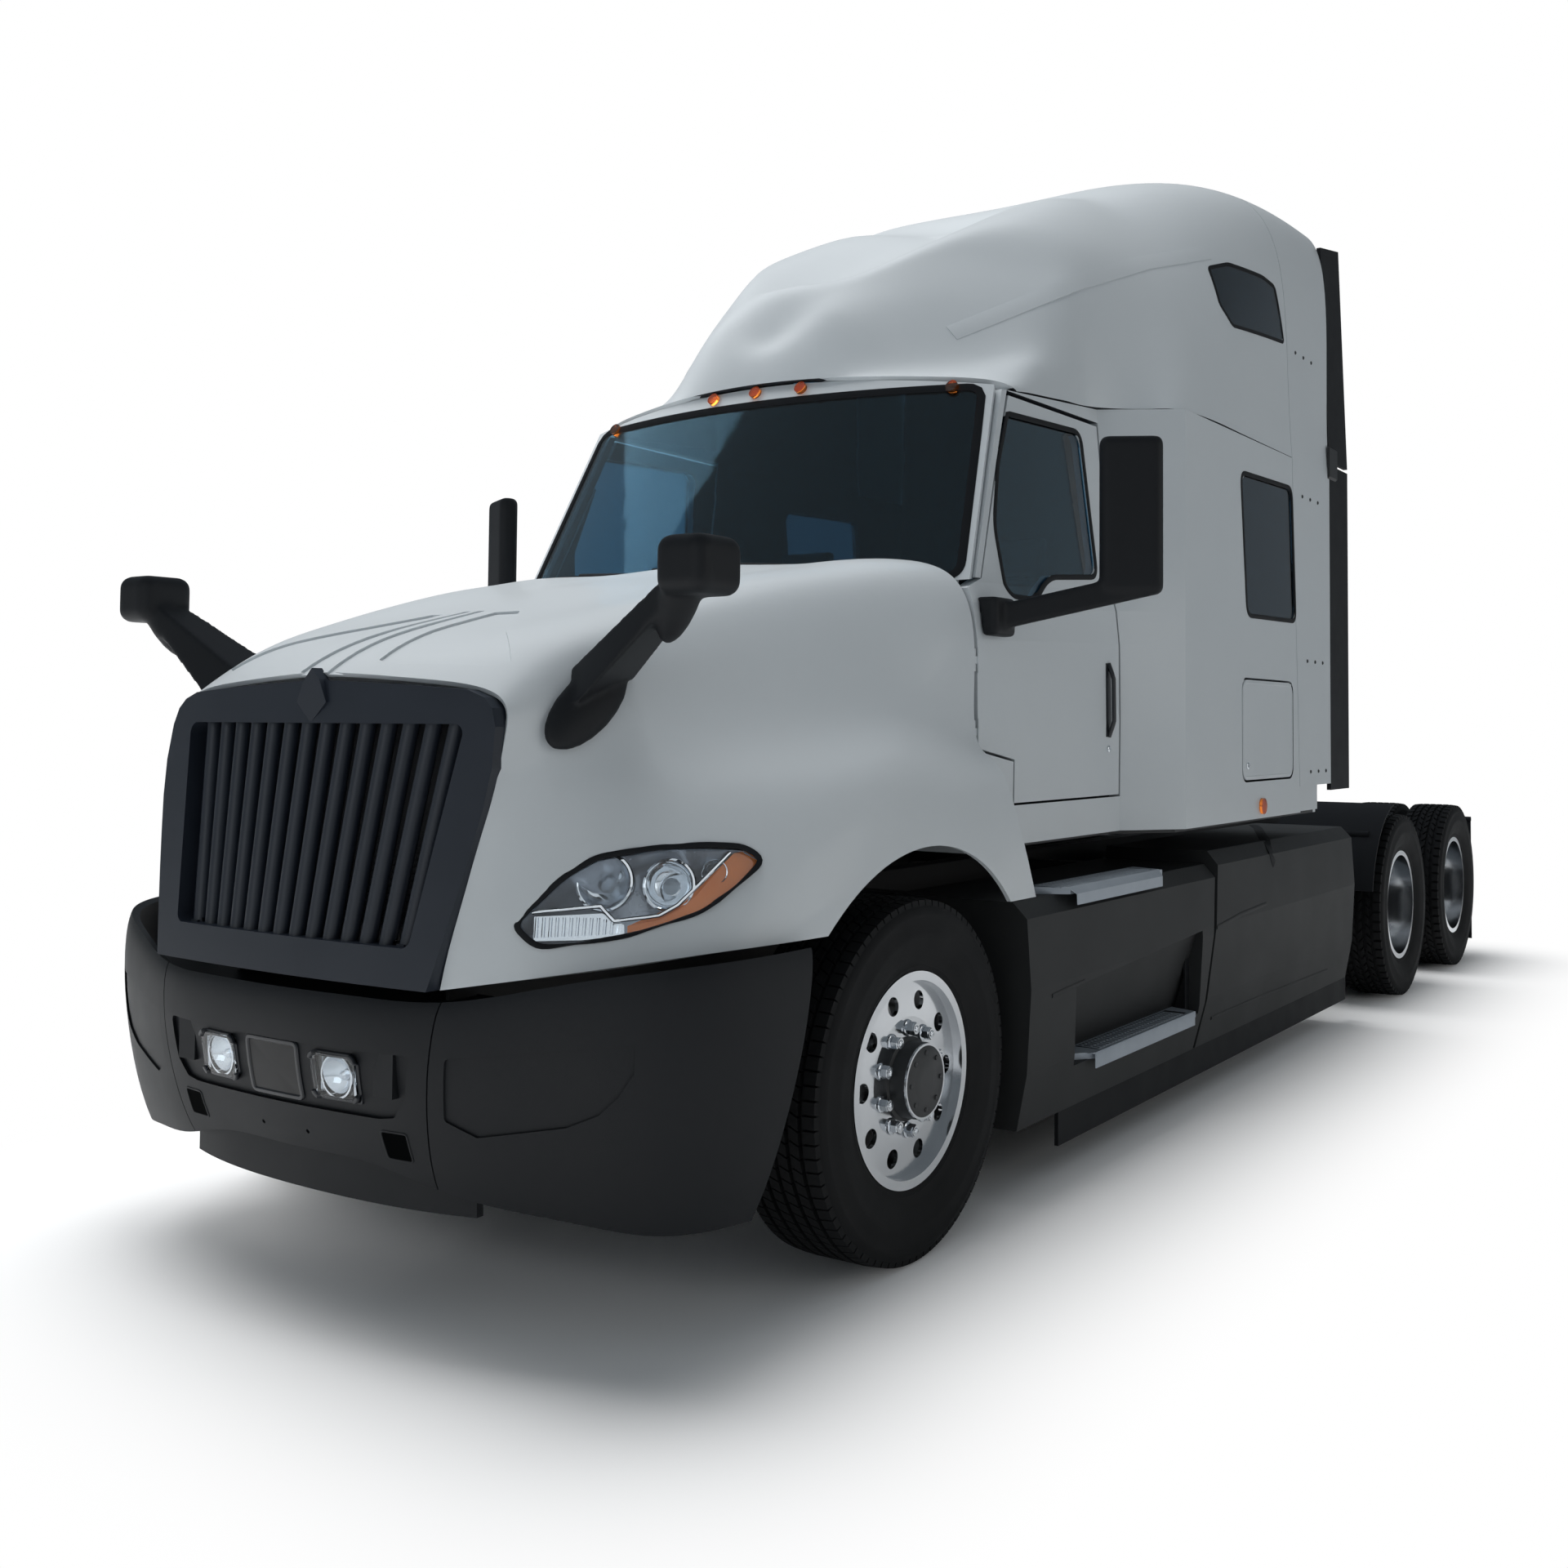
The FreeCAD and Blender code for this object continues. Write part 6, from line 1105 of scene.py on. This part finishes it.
def add_seats():
    y = SEAT_STATION - AXLE_TO_MIDDLE
    for side, x in (("left", SEAT_ACROSS), ("right", -SEAT_ACROSS)):
        x0, x1 = x - SEAT_HALF, x + SEAT_HALF
        hinge = Vector((x, y + 0.52, 1.56))
        pads = [cushion("seat_pad_" + side, x0, x1, y - 0.115, y + 0.42, 1.562, 1.678,
                        0.42, 2),
                cushion("seat_back_" + side, x0 + 0.01, x1 - 0.01, y + 0.405, y + 0.520,
                        1.640, 2.085, 0.40, 1, SEAT_LEAN, hinge, 4),
                cushion("seat_head_" + side, x - 0.13, x + 0.13, y + 0.420, y + 0.510,
                        2.105, 2.265, 0.5, 1, SEAT_LEAN, hinge, 0)]
        foot = spun([(0, 0), (0, 0.21), (0.02, 0.21), (0.05, 0.15), (0.22, 0.13),
                     (0.36, 0.17), (0.405, 0.20), (0.405, 0)], 4,
                    Vector((x, y + 0.14, 1.152)), UP, pi / 4)
        rail = soft_box(x0 + 0.03, x1 - 0.03, y - 0.06, y + 0.40, 1.545, 1.568, 0.008)
        arm = tube([Vector((x0 + 0.012, y + along, z)) for along, z in
                    ((0.43, 1.80), (0.16, 1.81), (0.10, 1.80))], 0.022, 10, flat=0.8)
        neck = [tube([Vector((x + d, y + 0.56, 2.06)), Vector((x + d, y + 0.568, 2.14))],
                     0.008) for d in (-0.06, 0.06)]
        base = piece("seat_frame_" + side, [foot, rail, arm] + neck, CABIN)
        for made in pads + [base]:
            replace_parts(made, "seats")


def add_bunk():
    back = 3.650 - AXLE_TO_MIDDLE
    low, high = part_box("bunk")
    top = high[2] - MATTRESS
    x, front = high[0], low[1]
    board = soft_box(-x + 0.002, x - 0.002, front + 0.002, back - 0.002, top - 0.038,
                     top - 0.001, 0.006)
    face = soft_box(-x + 0.122, x - 0.122, front + 0.002, front + 0.036, low[2] + 0.002,
                    top - 0.03, 0.006)
    grips = [tube([Vector((s + across, front + along, top - 0.12)) for across, along in
                   ((-0.09, 0.003), (-0.09, 0.0), (0.09, 0.0))], 0.003) for s in (-0.6, 0.6)]
    base = piece("bunk_board", [board, face] + grips, CABIN)
    pad = cushion("bunk_pad", -x + 0.065, x - 0.065, front + 0.04, back - 0.035, top,
                  high[2] - 0.002, 0.30, 2, seams=6)
    for made in (base, pad):
        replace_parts(made, "bunk")


add_seats()
add_bunk()


# Fog lamps, the sensor cover between them, and the tow openings
FOG_DEPTH, FOG_PLAY = 0.052, 0.003
# Of each: how far it lies across and up, and half its width and height
FOG_LAMP = (0.232, 0.633, 0.076, 0.056)
SENSOR_COVER = (0.0, 0.630, 0.098, 0.070)
TOW_OPENING = (0.403, 0.475, 0.041, 0.037)


def on_both_sides(place):
    across, up, w, h = place
    return [oblong(side * across, up, w, h) for side in (-1, 1)]


def fog_lamp(spot):
    """The housing of a lamp behind its lens, and the bowl, bulb and flutes in it."""
    foot = spot + REARWARD * FOG_DEPTH
    bowl = spun([(0.0, 0.014), (-0.002, 0.014), (-0.002, 0.052), (0.034, 0.056),
                 (0.034, 0.051), (0.012, 0.038), (0.003, 0.022), (0.0, 0.014)], 32, foot,
                -REARWARD)
    bulb = spun([(0, 0), (0, 0.013), (0.012, 0.012), (0.018, 0.006), (0.019, 0)], 20, foot,
                -REARWARD)
    flutes = [tube([spot + Vector((d, 0.030, z)) for z in (-0.042, 0.042)], 0.0035, 6)
              for d in (-0.066, -0.058, 0.058, 0.066)]
    w, h = [half + FOG_PLAY for half in FOG_LAMP[2:]]
    walls = [soft_box(-w - 0.001, w + 0.001, 0.055, 0.060, -h - 0.001, h + 0.001)]
    walls += [soft_box(s * w - 0.003, s * w + 0.003, 0.024, 0.058, -h - 0.001, h + 0.001)
              for s in (-1, 1)]
    walls += [soft_box(-w - 0.001, w + 0.001, 0.024, 0.058, s * h - 0.003, s * h + 0.003)
              for s in (-1, 1)]
    return [moved(wall, spot) for wall in walls], [bowl, bulb] + flutes


def add_bumper_details():
    housings, mirrors = [], []
    for corners in on_both_sides(FOG_LAMP):
        places, normals = front_ring(corners, 0.020, 0.012, "bumper", "fog_lamps")
        middle = at((corners[0][0] + corners[1][0]) / 2, AHEAD, FOG_LAMP[1])
        spot = press([middle], skin_of("bumper", "fog_lamps"), REARWARD)[0][0]
        walls, bright = fog_lamp(spot)
        housings += [ribbon(places, normals, 0.013, 0.006, True)] + walls
        mirrors += bright
    piece("fog_bezels", housings, BEZEL)
    piece("fog_reflectors", mirrors, CHROME)
    # Square cover with a raised frame
    places, normals = front_ring(oblong(*SENSOR_COVER), 0.014, 0.012, "bumper")
    mid = press([at(0, AHEAD, SENSOR_COVER[1])], skin_of("bumper"), REARWARD)[0][0]
    cover = patch([p + m * 0.003 for p, m in zip(places, normals)], normals, 0.0, 0.004,
                  mid - REARWARD * 0.003)
    piece("sensor_frame", [ribbon(places, normals, 0.014, 0.007, True)], BEZEL)
    piece("sensor_cover", [cover], SENSOR)
    # Rolled edges of the tow openings, and black plates over them: painted shade for the dark
    # of their depth
    rings = [front_ring(corners, 0.010, 0.010, "bumper") for corners in
             on_both_sides(TOW_OPENING)]
    piece("tow_edges", [ribbon(*ring, 0.006, 0.002, True) for ring in rings], BUMPER)
    piece("tow_plugs", [patch(*ring, -0.0012, 0.003) for ring in rings], HOLLOW_SHADE)


add_bumper_details()


# Apron behind the bumper: closes the gap below the grille
APRON_HALF, APRON_BACK, APRON_SHEET = 0.84, -0.955, 0.006
APRON_TOP, APRON_FOOT = 0.812, 0.585
APRON_RIBS, APRON_RIB_STEP = 9, 0.18


def add_apron():
    half = [(0.30, -1.178), (0.56, -1.128), (APRON_HALF, -1.030)]
    front = [(-x, y) for x, y in half[::-1]] + [(0, -1.192)] + half
    ledge = slab(front + [(APRON_HALF, APRON_BACK), (-APRON_HALF, APRON_BACK)],
                 APRON_TOP - APRON_SHEET, APRON_TOP)
    wall = moved(soft_box(-APRON_HALF, APRON_HALF, 0, APRON_SHEET, 0, 0.23),
                 at(0, APRON_BACK - 0.003, APRON_FOOT))
    first = -APRON_RIB_STEP * (APRON_RIBS - 1) / 2
    ribs = [moved(soft_box(-0.006, 0.006, 0, 0.020, 0, 0.20),
                  at(first + k * APRON_RIB_STEP, APRON_BACK + 0.002, APRON_FOOT + 0.015))
            for k in range(APRON_RIBS)]
    piece("apron", [ledge, wall] + ribs, BUMPER)


add_apron()


# Mirrors with the soft corners of moulded covers
COVER_GRID = 0.007


def softened(name, source, extra, body, rounds):
    """A CAD node and extra parts grown into one skin, with its corners rubbed soft."""
    own = as_part(nodes[source].data)
    holder = placed(name, mesh_of(name, *join_lists([own] + extra)))
    remesh = holder.modifiers.new("grid", "REMESH")
    remesh.mode = "VOXEL"
    remesh.voxel_size = COVER_GRID
    soft = holder.modifiers.new("soft", "SMOOTH")
    soft.factor, soft.iterations = 0.5, rounds
    made = settled(holder)
    made.name = name
    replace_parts(link(name, made, BUMPER, body), source)


def egg(middle, long_way, wide_way, half_long, half_wide, half_deep, steps=20):
    """A flattened round boss lying along two given ways."""
    a = long_way.normalized()
    b = (wide_way - a * wide_way.dot(a)).normalized()
    c = a.cross(b)
    points, rows = [], steps // 2
    for i in range(1, rows):
        tilt = pi * i / rows
        for k in range(steps):
            turn = tau * k / steps
            points.append(middle + a * (half_long * cos(tilt))
                          + b * (half_wide * sin(tilt) * cos(turn))
                          + c * (half_deep * sin(tilt) * sin(turn)))
    faces = grid_faces(rows - 1, steps)
    ends, last = len(points), (rows - 2) * steps
    points += [middle + a * half_long, middle - a * half_long]
    for k, j in neighbours(steps, True):
        faces += [(j, k, ends), (last + k, last + j, ends + 1)]
    return points, faces


# The hood mirror's boss on the hood, and its head, as points of the picture
BOSS_MIDDLE, BOSS_TOP = (716, 866), (752, 828)
NECK_PLACE, NECK_WAY = at(1.050, -0.905, 1.835), Vector((0.30, -0.12, 0.52))


def add_mirrors():
    skin = skin_of("hood_shell")
    (foot, head), (facing, _) = seen([BOSS_MIDDLE, BOSS_TOP], skin)
    rise = head - foot
    boss = egg(foot + facing * 0.012, rise, facing.cross(rise), 0.155, 0.072, 0.034)
    neck = egg(NECK_PLACE, NECK_WAY, REARWARD, 0.150, 0.058, 0.046)
    softened("hood_mirror_covers", "hood_mirrors",
             [boss, neck, flipped(boss), flipped(neck)], "hood", 7)
    for side in ("left", "right"):
        softened("mirror_cover_" + side, "mirror_" + side, [], "door_" + side, 9)


add_mirrors()


# Creases and seams: fine raised lines on the shell
def picture_line(points, skin, width, height):
    """A strip through points of the picture."""
    return ribbon(*seen(picture_path(points, 6), skin), width, height)


def side_line(points, skin, width, height):
    """A strip along (y, z) points of the left side."""
    path = resample([at(BESIDE, y, z) for y, z in points], 0.04)
    return ribbon(*press(path, skin, -LEFT), width, height)


def back_line(points, skin, width, height):
    """A strip along (x, z) points of the cab's back."""
    return ribbon(*press([at(x, BEHIND, z) for x, z in points], skin, -REARWARD), width,
                  height)


def screws(name, places, normals, radius):
    """Round-headed screws with a dished crown, on both sides."""
    head = spun([(-0.001, 0), (-0.001, radius), (radius * 0.25, radius * 0.95),
                 (radius * 0.5, radius * 0.6), (radius * 0.46, radius * 0.3),
                 (radius * 0.3, 0.0)], 12, Vector(), UP)
    holder = placed("head", mesh_of("head", *head))
    made = grown(name, (places, []), SPOT_TREE, STEEL, None, normals, Piece=holder)
    bpy.data.objects.remove(holder)
    piece(name, [made], STEEL, both=True)


SCREW_HEIGHTS, SCREW_SHIFTS = (3.265, 2.593, 1.821, 1.300), (0.0, 0.12, 0.24)
LATCH_PLACE = at(BESIDE, 2.60, 1.345)


def add_side_trim():
    sides = skin_of("cab_sides", "side_extenders", "luggage_hatch_left", "roof_cap")
    # The rows of screws lean forwards with the extender's edge
    spots = [at(BESIDE, 3.48 - (z - 1.266) * 0.085 + d, z) for z in SCREW_HEIGHTS
             for d in SCREW_SHIFTS]
    screws("extender_screws", *press(spots, sides, -LEFT), 0.009)
    places, normals = press([LATCH_PLACE], sides, -LEFT)
    latch = spun([(0, 0), (0, 0.015), (0.004, 0.015), (0.006, 0.012), (0.006, 0.004),
                  (0.004, 0)], 24, places[0], normals[0])
    pair("hatch_latch_", [latch], CHROME, "luggage_hatch_")
    corners = window_corners(HATCH, [(0, 0), (1, 0), (1, 1), (0, 1)], -0.022)
    places, normals = side_ring(corners, 0.03, skin_of("luggage_hatch_left"))
    pair("hatch_fold_", [ribbon(places, normals, 0.008, 0.0015, True)], PAINT, "luggage_hatch_")


add_side_trim()


# Treads: raised grip rows and dots on the step plates, and mats under them
ROW_STEP, DOT_STEP = 0.026, 0.034
# Of each tread: where its rows start across, its two ends, its top, and the length of a row
TREADS = ((1.075, 0.905, 1.695, 0.9722, 0.098), (1.112, 1.160, 1.950, 0.4002, 0.088))
# Of each mat: its two sides, its two ends and its foot
MATS = ((1.072, 1.176, 0.900, 1.702, 0.9721), (1.109, 1.203, 1.150, 1.960, 0.4001))


def add_treads():
    grips = []
    for x, y0, y1, z, length in TREADS:
        count = int((y1 - y0) / ROW_STEP)
        bar = soft_box(0.0, length, -0.004, 0.004, -0.001, 0.0035, 0.0015)
        dots = [spun([(-0.001, 0), (-0.001, 0.0045), (0.003, 0.0038), (0.0035, 0.0)], 8,
                     Vector((0.015 + k * DOT_STEP, ROW_STEP / 2, 0)), UP) for k in range(3)]
        for part, number in [(bar, count)] + [(dot, count - 1) for dot in dots]:
            grips.append(grown("grips", part, ROW_TREE, TREAD, at(x, y0, z), Count=number,
                               Step=(0, ROW_STEP, 0)))
    piece("tread_grips", grips, TREAD, both=True)
    mats = [slab([(x0, y0), (x1, y0), (x1, y1), (x0, y1)], z, z + 0.001)
            for x0, x1, y0, y1, z in MATS]
    piece("tread_mats", mats, RUBBER, both=True)


add_treads()


# Frame: bolts, dampers, chequer plate and the rims of the tail lamps
RAIL_SIDE = 0.430
BOLT_STATIONS = (4.414, 4.93, 5.50, 5.88, 6.25, 6.82, 7.041)
DAMPER_ACROSS = 0.520
CHEQUERS, CHEQUER_STEP, CHEQUER_START = 15, 0.054, at(-0.392, 3.860, 0.992)
TAIL_LAMPS = [at(x, 7.0862, 0.911) for x in (0.287, 0.143)]


def add_frame_details():
    # Bolt heads where the cross members and hangers meet the rails
    places = [at(RAIL_SIDE, y + d, z) for y in BOLT_STATIONS for d in (-0.03, 0.03)
              for z in (0.74, 0.82, 0.90)]
    screws("rail_bolts", places, [LEFT] * len(places), 0.015)
    # Dampers between rail and axle, with a pin at each end
    dampers = []
    for station in DRIVE_STATIONS:
        foot, head = [at(DAMPER_ACROSS, station - before, z)
                      for before, z in ((0.30, 0.545), (0.16, 0.880))]
        long = (head - foot).length
        dampers.append(spun([(-0.02, 0.0), (-0.02, 0.026), (0.0, 0.036), (0.012, 0.038),
                             (0.19, 0.038), (0.20, 0.032), (0.205, 0.016), (long, 0.016),
                             (long, 0.0)], 20, foot, head - foot))
        dampers += [spun([(0, 0.0), (0, 0.018), (0.11, 0.018), (0.115, 0.014), (0.115, 0.0)],
                         14, spot - LEFT * 0.095, LEFT) for spot in (foot, head)]
    piece("axle_dampers", dampers, STEEL, both=True)
    # Chequer plate: two sets of crossed bars
    bar, faces = soft_box(-0.015, 0.015, -0.0035, 0.0035, -0.001, 0.0025, 0.001)
    plates = []
    for angle, shift in ((pi / 4, 0.0), (-pi / 4, CHEQUER_STEP / 2)):
        turned = [Matrix.Rotation(angle, 3, "Z") @ p for p in bar]
        row = grown("chequer_row", (turned, faces), ROW_TREE, STEEL, Count=CHEQUERS,
                    Step=(CHEQUER_STEP, 0, 0))
        plates.append(grown("chequer", row, ROW_TREE, STEEL,
                            CHEQUER_START + Vector((shift, shift, 0)), Count=CHEQUERS,
                            Step=(0, CHEQUER_STEP, 0)))
    piece("deck_chequer", plates, STEEL)
    rims = [spun([(0, 0.0405), (0, 0.050), (0.007, 0.049), (0.010, 0.045), (0.008, 0.0405),
                  (0, 0.0405)], 32, spot, REARWARD) for spot in TAIL_LAMPS]
    piece("tail_lamp_rims", rims, CHROME, both=True)


# Cab: ribs and seams on its back, the extenders' brackets and the creases of the roof
BACK_RIBS, BACK_RIB_FOOT = (-0.84, -0.42, 0.0, 0.42, 0.84), 1.42
# Of each seam: its right end, its height, and the number of its points
BACK_SEAMS, SEAM_STEP = ((-1.12, 1.29, 29), (-1.08, 3.76, 28)), 0.08
# Outlines of the clamp and the stay that join the two flaps of each extender, and their ends
CLAMP = [(1.2205, 2.735), (1.2205, 2.895), (1.232, 2.885), (1.232, 2.745)], 3.770, 3.900
STAY = [(1.150, 2.700), (1.150, 2.930), (1.158, 2.930), (1.158, 2.700)], 3.805, 3.960
ROOF_FOLD = [(1165, 408), (1240, 378), (1320, 345), (1400, 322), (1478, 309)]


def add_cab_details():
    wall = skin_of("cab_rear_wall")
    ribs = [back_line([(x, BACK_RIB_FOOT + k * 0.1) for k in range(23)], wall, 0.085, 0.010)
            for x in BACK_RIBS]
    piece("rear_wall_ribs", ribs, PAINT)
    seams = [back_line([(x + k * SEAM_STEP, z) for k in range(count)], wall, 0.010, 0.003)
             for x, z, count in BACK_SEAMS]
    piece("rear_wall_seams", seams, RUBBER)
    piece("flap_brackets", [pulled(*CLAMP), pulled(*STAY)], STEEL, both=True)
    fold = picture_line(ROOF_FOLD, skin_of("roof_cap"), 0.070, 0.003)
    piece("roof_creases", [fold], PAINT, both=True)


# Fairings: lips of the treads, backing of the seam, creases and the tank's strap
BACKING = [(1.150, 0.330), (1.150, 0.905), (1.156, 0.905), (1.156, 0.330)], 2.050, 2.330
TANK_STRAP = [(1524, 1003), (1540, 1014), (1552, 1034), (1560, 1058)]
# Of each lip: its outline, its two ends and the slope of its ends
LIPS = (([(1.150, 0.9722), (1.194, 0.9752), (1.2175, 0.952), (1.2185, 0.915),
          (1.2170, 0.915), (1.2160, 0.950), (1.193, 0.9722)], 0.880, 1.735, 0.9),
        ([(1.190, 0.4002), (1.2165, 0.4030), (1.2195, 0.398), (1.2195, 0.350),
          (1.2165, 0.350), (1.2165, 0.398), (1.205, 0.4002)], 1.060, 2.020, 0.9))
# Of each crease: its (y, z) points, its width and its height
CREASES = (([(2.245, 0.700), (2.535, 0.726), (2.847, 0.738)], 0.016, 0.003),
           ([(2.260, 0.331), (2.825, 0.331), (3.852, 0.317)], 0.014, 0.004),
           ([(0.760, 0.640), (1.000, 0.655)], 0.014, 0.003))


def add_fairing_details():
    piece("tread_lips", [pulled(*lip) for lip in LIPS], TREAD, both=True)
    piece("fairing_backing", [pulled(*BACKING)], BUMPER, both=True)
    skin = skin_of("side_fairings")
    creases = [side_line(points, skin, width, height) for points, width, height in CREASES]
    piece("fairing_creases", creases, CHARCOAL, both=True)
    strap = picture_line(TANK_STRAP, skin, 0.045, 0.003)
    piece("fairing_straps", [strap], RUBBER, both=True)


add_frame_details()
add_cab_details()
add_fairing_details()


# Wipers on the screen: (x, z) points of each arm and of its blade
WIPERS = (([(0.62, 2.012), (0.36, 2.04), (0.10, 2.055)], [(0.33, 2.045), (-0.22, 2.055)]),
          ([(-0.08, 2.012), (-0.35, 2.04), (-0.62, 2.055)], [(-0.36, 2.045), (-0.86, 2.06)]))


def add_wipers():
    skin = skin_of("windshield", "cab_front")
    arms, blades = [], []
    for arm, blade in WIPERS:
        bars = []
        for line, lift in ((arm, 0.020), (blade, 0.010)):
            path = resample([at(x, AHEAD, z) for x, z in line], 0.03)
            places, normals = press(path, skin, REARWARD)
            bars.append(([p + m * lift for p, m in zip(places, normals)], normals))
            if line is arm:
                arms.append(spun([(0.001, 0), (0.001, 0.016), (0.020, 0.014),
                                  (0.026, 0.008), (0.026, 0)], 16, places[0], normals[0]))
        (high, high_facing), (low, low_facing) = bars
        arms.append(tube(high, 0.006, 8, flat=0.6, facing=high_facing))
        blades.append(tube(low, 0.006, 6, flat=1.2, facing=low_facing))
    piece("wiper_arms", arms, STEEL)
    piece("wiper_blades", blades, RUBBER)


add_wipers()


# Floor, backdrop and light
FLOOR_REACH, FLOOR_COLOUR = 40, (0.93, 0.93, 0.93, 1)
# The floor keeps its shade by the truck and fades to white this far from a rectangle
SHADE_HALVES, SHADE_FADE = (1.0, 3.9, 0), 1.15
SKY_COLOUR, SKY_STRENGTH = (0.84, 0.93, 1.0, 1), 0.22
WHITE = (1, 1, 1, 1)
# Each lamp's place, target, size, power and colour, and whether gloss shows it
LAMP_PANELS = {
    "sky_panel": ((-5, -1, 12), (0, 0, 1), (9, 14), 2150, (1, 1, 1), False),
    "front_panel": ((1.5, -14, 4), (0, -3, 1.5), (8, 5), 112, (0.9, 0.96, 1), True),
    "side_panel": ((14, 1, 4), (1, 0, 1.6), (12, 5), 168, (1, 0.98, 0.94), True),
    "far_panel": ((-14, 2, 5), (-1, 0, 1.8), (12, 6), 700, (1, 1, 1), False)}


def add_floor():
    r = FLOOR_REACH
    floor = mesh_of("floor", [(-r, -r, 0), (r, -r, 0), (r, r, 0), (-r, r, 0)],
                    [(0, 1, 2, 3)])
    made = bpy.data.materials.new("studio_floor")
    made.use_nodes = True
    tree = made.node_tree
    shader = tree.nodes["Principled BSDF"]
    shader.inputs["Base Color"].default_value = FLOOR_COLOUR
    shader.inputs["Roughness"].default_value = 1.0
    shader.inputs["Specular IOR Level"].default_value = 0.0
    # Far from the truck the floor is the backdrop's own white
    place = tree.nodes.new("ShaderNodeTexCoord").outputs["Object"]
    folded = node(tree, "ShaderNodeVectorMath", {0: place}, operation="ABSOLUTE").outputs[0]
    beyond = node(tree, "ShaderNodeVectorMath", {0: folded, 1: SHADE_HALVES},
                  operation="SUBTRACT").outputs[0]
    beyond = node(tree, "ShaderNodeVectorMath", {0: beyond, 1: (0, 0, 0)},
                  operation="MAXIMUM").outputs[0]
    away = node(tree, "ShaderNodeVectorMath", {0: beyond}, operation="LENGTH")
    fade = node(tree, "ShaderNodeMapRange", {"Value": away.outputs["Value"],
                                             "From Min": 0.0, "From Max": SHADE_FADE},
                interpolation_type="SMOOTHSTEP").outputs[0]
    path = node(tree, "ShaderNodeLightPath")
    share = math_node(tree, "MULTIPLY", fade, path.outputs["Is Camera Ray"])
    white = node(tree, "ShaderNodeEmission", {"Color": WHITE, "Strength": 1.0})
    mix = node(tree, "ShaderNodeMixShader", {0: share})
    tree.links.new(shader.outputs[0], mix.inputs[1])
    tree.links.new(white.outputs[0], mix.inputs[2])
    tree.links.new(mix.outputs[0], tree.nodes["Material Output"].inputs["Surface"])
    link("floor", floor, made, None, smooth=False)


def add_sky():
    world = bpy.data.worlds.new("studio")
    scene.world = world
    world.use_nodes = True
    tree = world.node_tree
    back = tree.nodes["Background"]
    back.inputs["Color"].default_value = SKY_COLOUR
    back.inputs["Strength"].default_value = SKY_STRENGTH
    white = node(tree, "ShaderNodeBackground", {"Color": WHITE, "Strength": 1.0})
    path = node(tree, "ShaderNodeLightPath")
    either = math_node(tree, "MAXIMUM", path.outputs["Is Camera Ray"],
                       path.outputs["Is Transmission Ray"])
    mix = node(tree, "ShaderNodeMixShader", {0: either})
    tree.links.new(back.outputs[0], mix.inputs[1])
    tree.links.new(white.outputs[0], mix.inputs[2])
    tree.links.new(mix.outputs[0], tree.nodes["World Output"].inputs["Surface"])


def add_lamps():
    for name, (place, target, size, power, colour, glossy) in LAMP_PANELS.items():
        data = bpy.data.lights.new(name, "AREA")
        data.shape = "RECTANGLE"
        data.size, data.size_y = size
        data.energy = power
        data.color = colour
        lamp = placed(name, data)
        lamp.location = place
        way = Vector(target) - Vector(place)
        lamp.rotation_euler = way.to_track_quat("-Z", "Y").to_euler()
        lamp.visible_glossy = glossy


add_floor()
add_sky()
add_lamps()

scene.view_settings.view_transform = "Standard"
